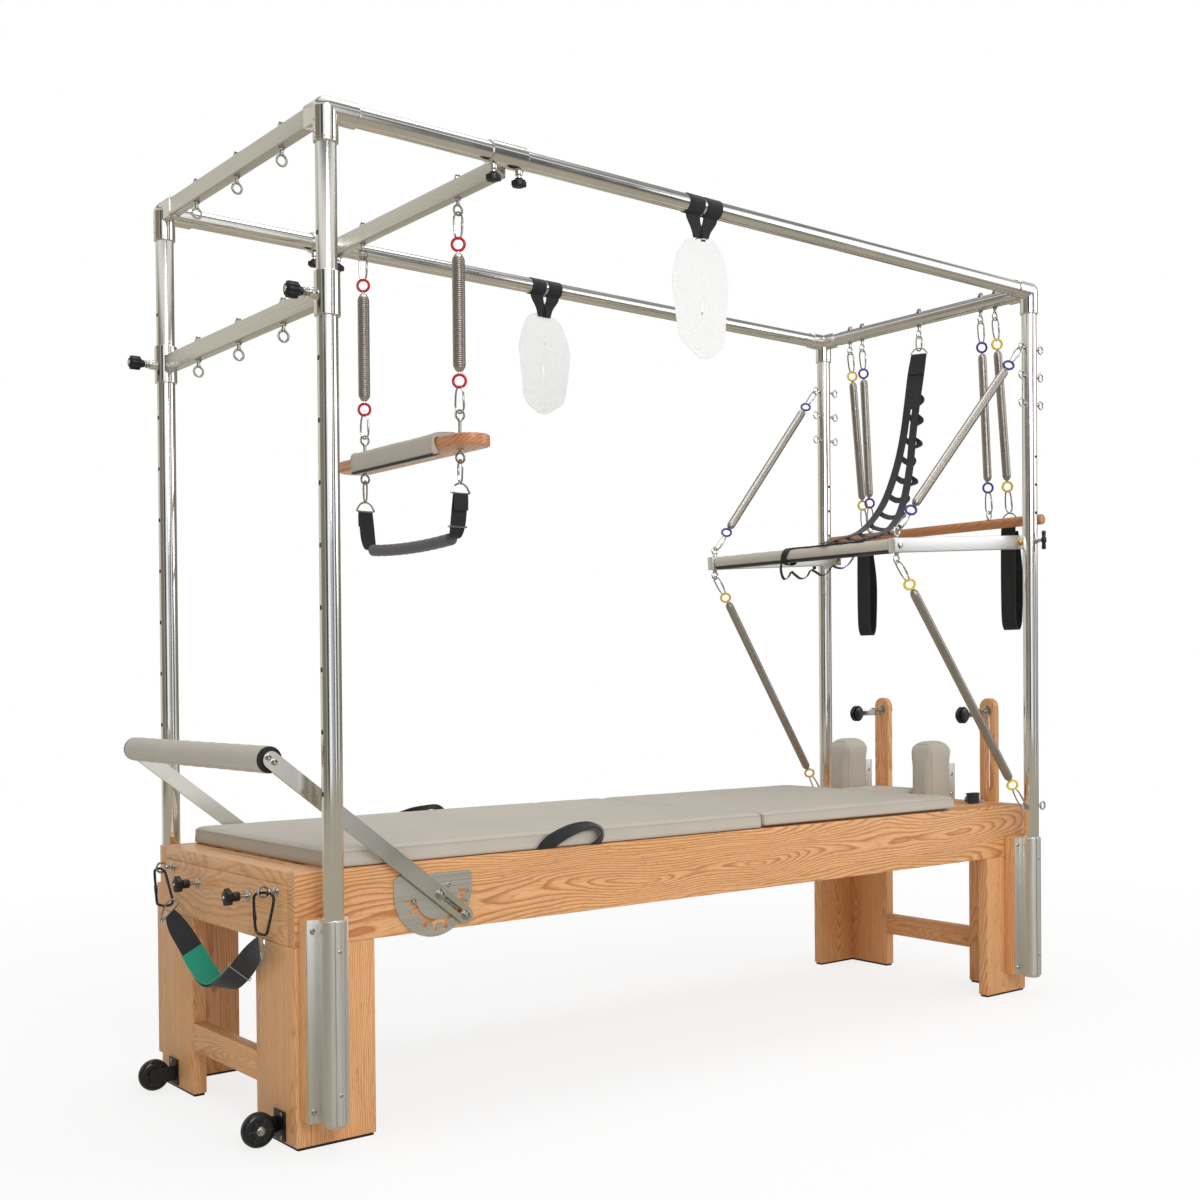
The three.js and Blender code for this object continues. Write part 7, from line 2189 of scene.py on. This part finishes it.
class TRAPEZE_OT_rolldown(Operator):
    """Turn the roll-down dowel and fit its eyes"""
    bl_idname = "trapeze.rolldown"
    bl_label = "Roll-down bar"

    def execute(self, context):
        build_rolldown()
        return {"FINISHED"}


class TRAPEZE_OT_straps(Operator):
    """Sew the foot loops, the ladder strap, the foot strap and the loose strap"""
    bl_idname = "trapeze.straps"
    bl_label = "Straps"

    def execute(self, context):
        sizes = context.scene.trapeze_soft
        build_foot_loops(sizes)
        build_ladder(sizes)
        build_foot_strap(sizes)
        build_loose_strap(sizes)
        return {"FINISHED"}


class TRAPEZE_OT_fleece(Operator):
    """Hang the two fleece loops from the top rails"""
    bl_idname = "trapeze.fleece"
    bl_label = "Fleece loops"

    def execute(self, context):
        build_fleece(context.scene.trapeze_soft)
        return {"FINISHED"}


class TRAPEZE_OT_pads(Operator):
    """Upholster the mat, the carriage, the headrest and the shoulder rests"""
    bl_idname = "trapeze.pads"
    bl_label = "Pads"

    def execute(self, context):
        build_pads(context.scene.trapeze_table)
        return {"FINISHED"}


class TRAPEZE_OT_carriage(Operator):
    """Dress the carriage board, its blocks and the rope pulleys behind it"""
    bl_idname = "trapeze.carriage"
    bl_label = "Carriage and pulleys"

    def execute(self, context):
        build_carriage()
        build_pulleys()
        return {"FINISHED"}


PIECES = (TRAPEZE_OT_table, TRAPEZE_OT_footbar, TRAPEZE_OT_frame, TRAPEZE_OT_crossbars, TRAPEZE_OT_springs,
          TRAPEZE_OT_push_bar, TRAPEZE_OT_trapeze, TRAPEZE_OT_rolldown, TRAPEZE_OT_straps, TRAPEZE_OT_fleece,
          TRAPEZE_OT_pads, TRAPEZE_OT_carriage)


class TRAPEZE_PT_panel(Panel):
    """Sizes, colours and pieces of the trapeze table"""
    bl_idname = "TRAPEZE_PT_panel"
    bl_label = "Trapeze Table"
    bl_space_type = "VIEW_3D"
    bl_region_type = "UI"
    bl_category = "Trapeze Table"

    def draw(self, context):
        scene = context.scene
        for title, group in (("Table", scene.trapeze_table), ("Frame", scene.trapeze_frame),
                             ("Springs and cloth", scene.trapeze_soft), ("Finishes", scene.trapeze_finishes)):
            box = self.layout.box()
            box.label(text=title)
            for name in group.__annotations__:
                box.prop(group, name)
        self.layout.operator(TRAPEZE_OT_stage.bl_idname)
        for piece in PIECES:
            self.layout.operator(piece.bl_idname)


CLASSES = (TableSizes, FrameSizes, SoftSizes, Finishes, TRAPEZE_OT_stage, *PIECES, TRAPEZE_PT_panel)
GROUPS = {"trapeze_table": TableSizes, "trapeze_frame": FrameSizes, "trapeze_soft": SoftSizes,
          "trapeze_finishes": Finishes}


def register():
    for made in CLASSES:
        bpy.utils.register_class(made)
    for name, group in GROUPS.items():
        setattr(bpy.types.Scene, name, PointerProperty(type=group))


def unregister():
    for name in GROUPS:
        delattr(bpy.types.Scene, name)
    for made in reversed(CLASSES):
        bpy.utils.unregister_class(made)


def main():
    register()
    bpy.ops.trapeze.stage()
    for piece in PIECES:
        getattr(bpy.ops.trapeze, piece.bl_idname.split(".")[1])()


if __name__ == "__main__":
    main()
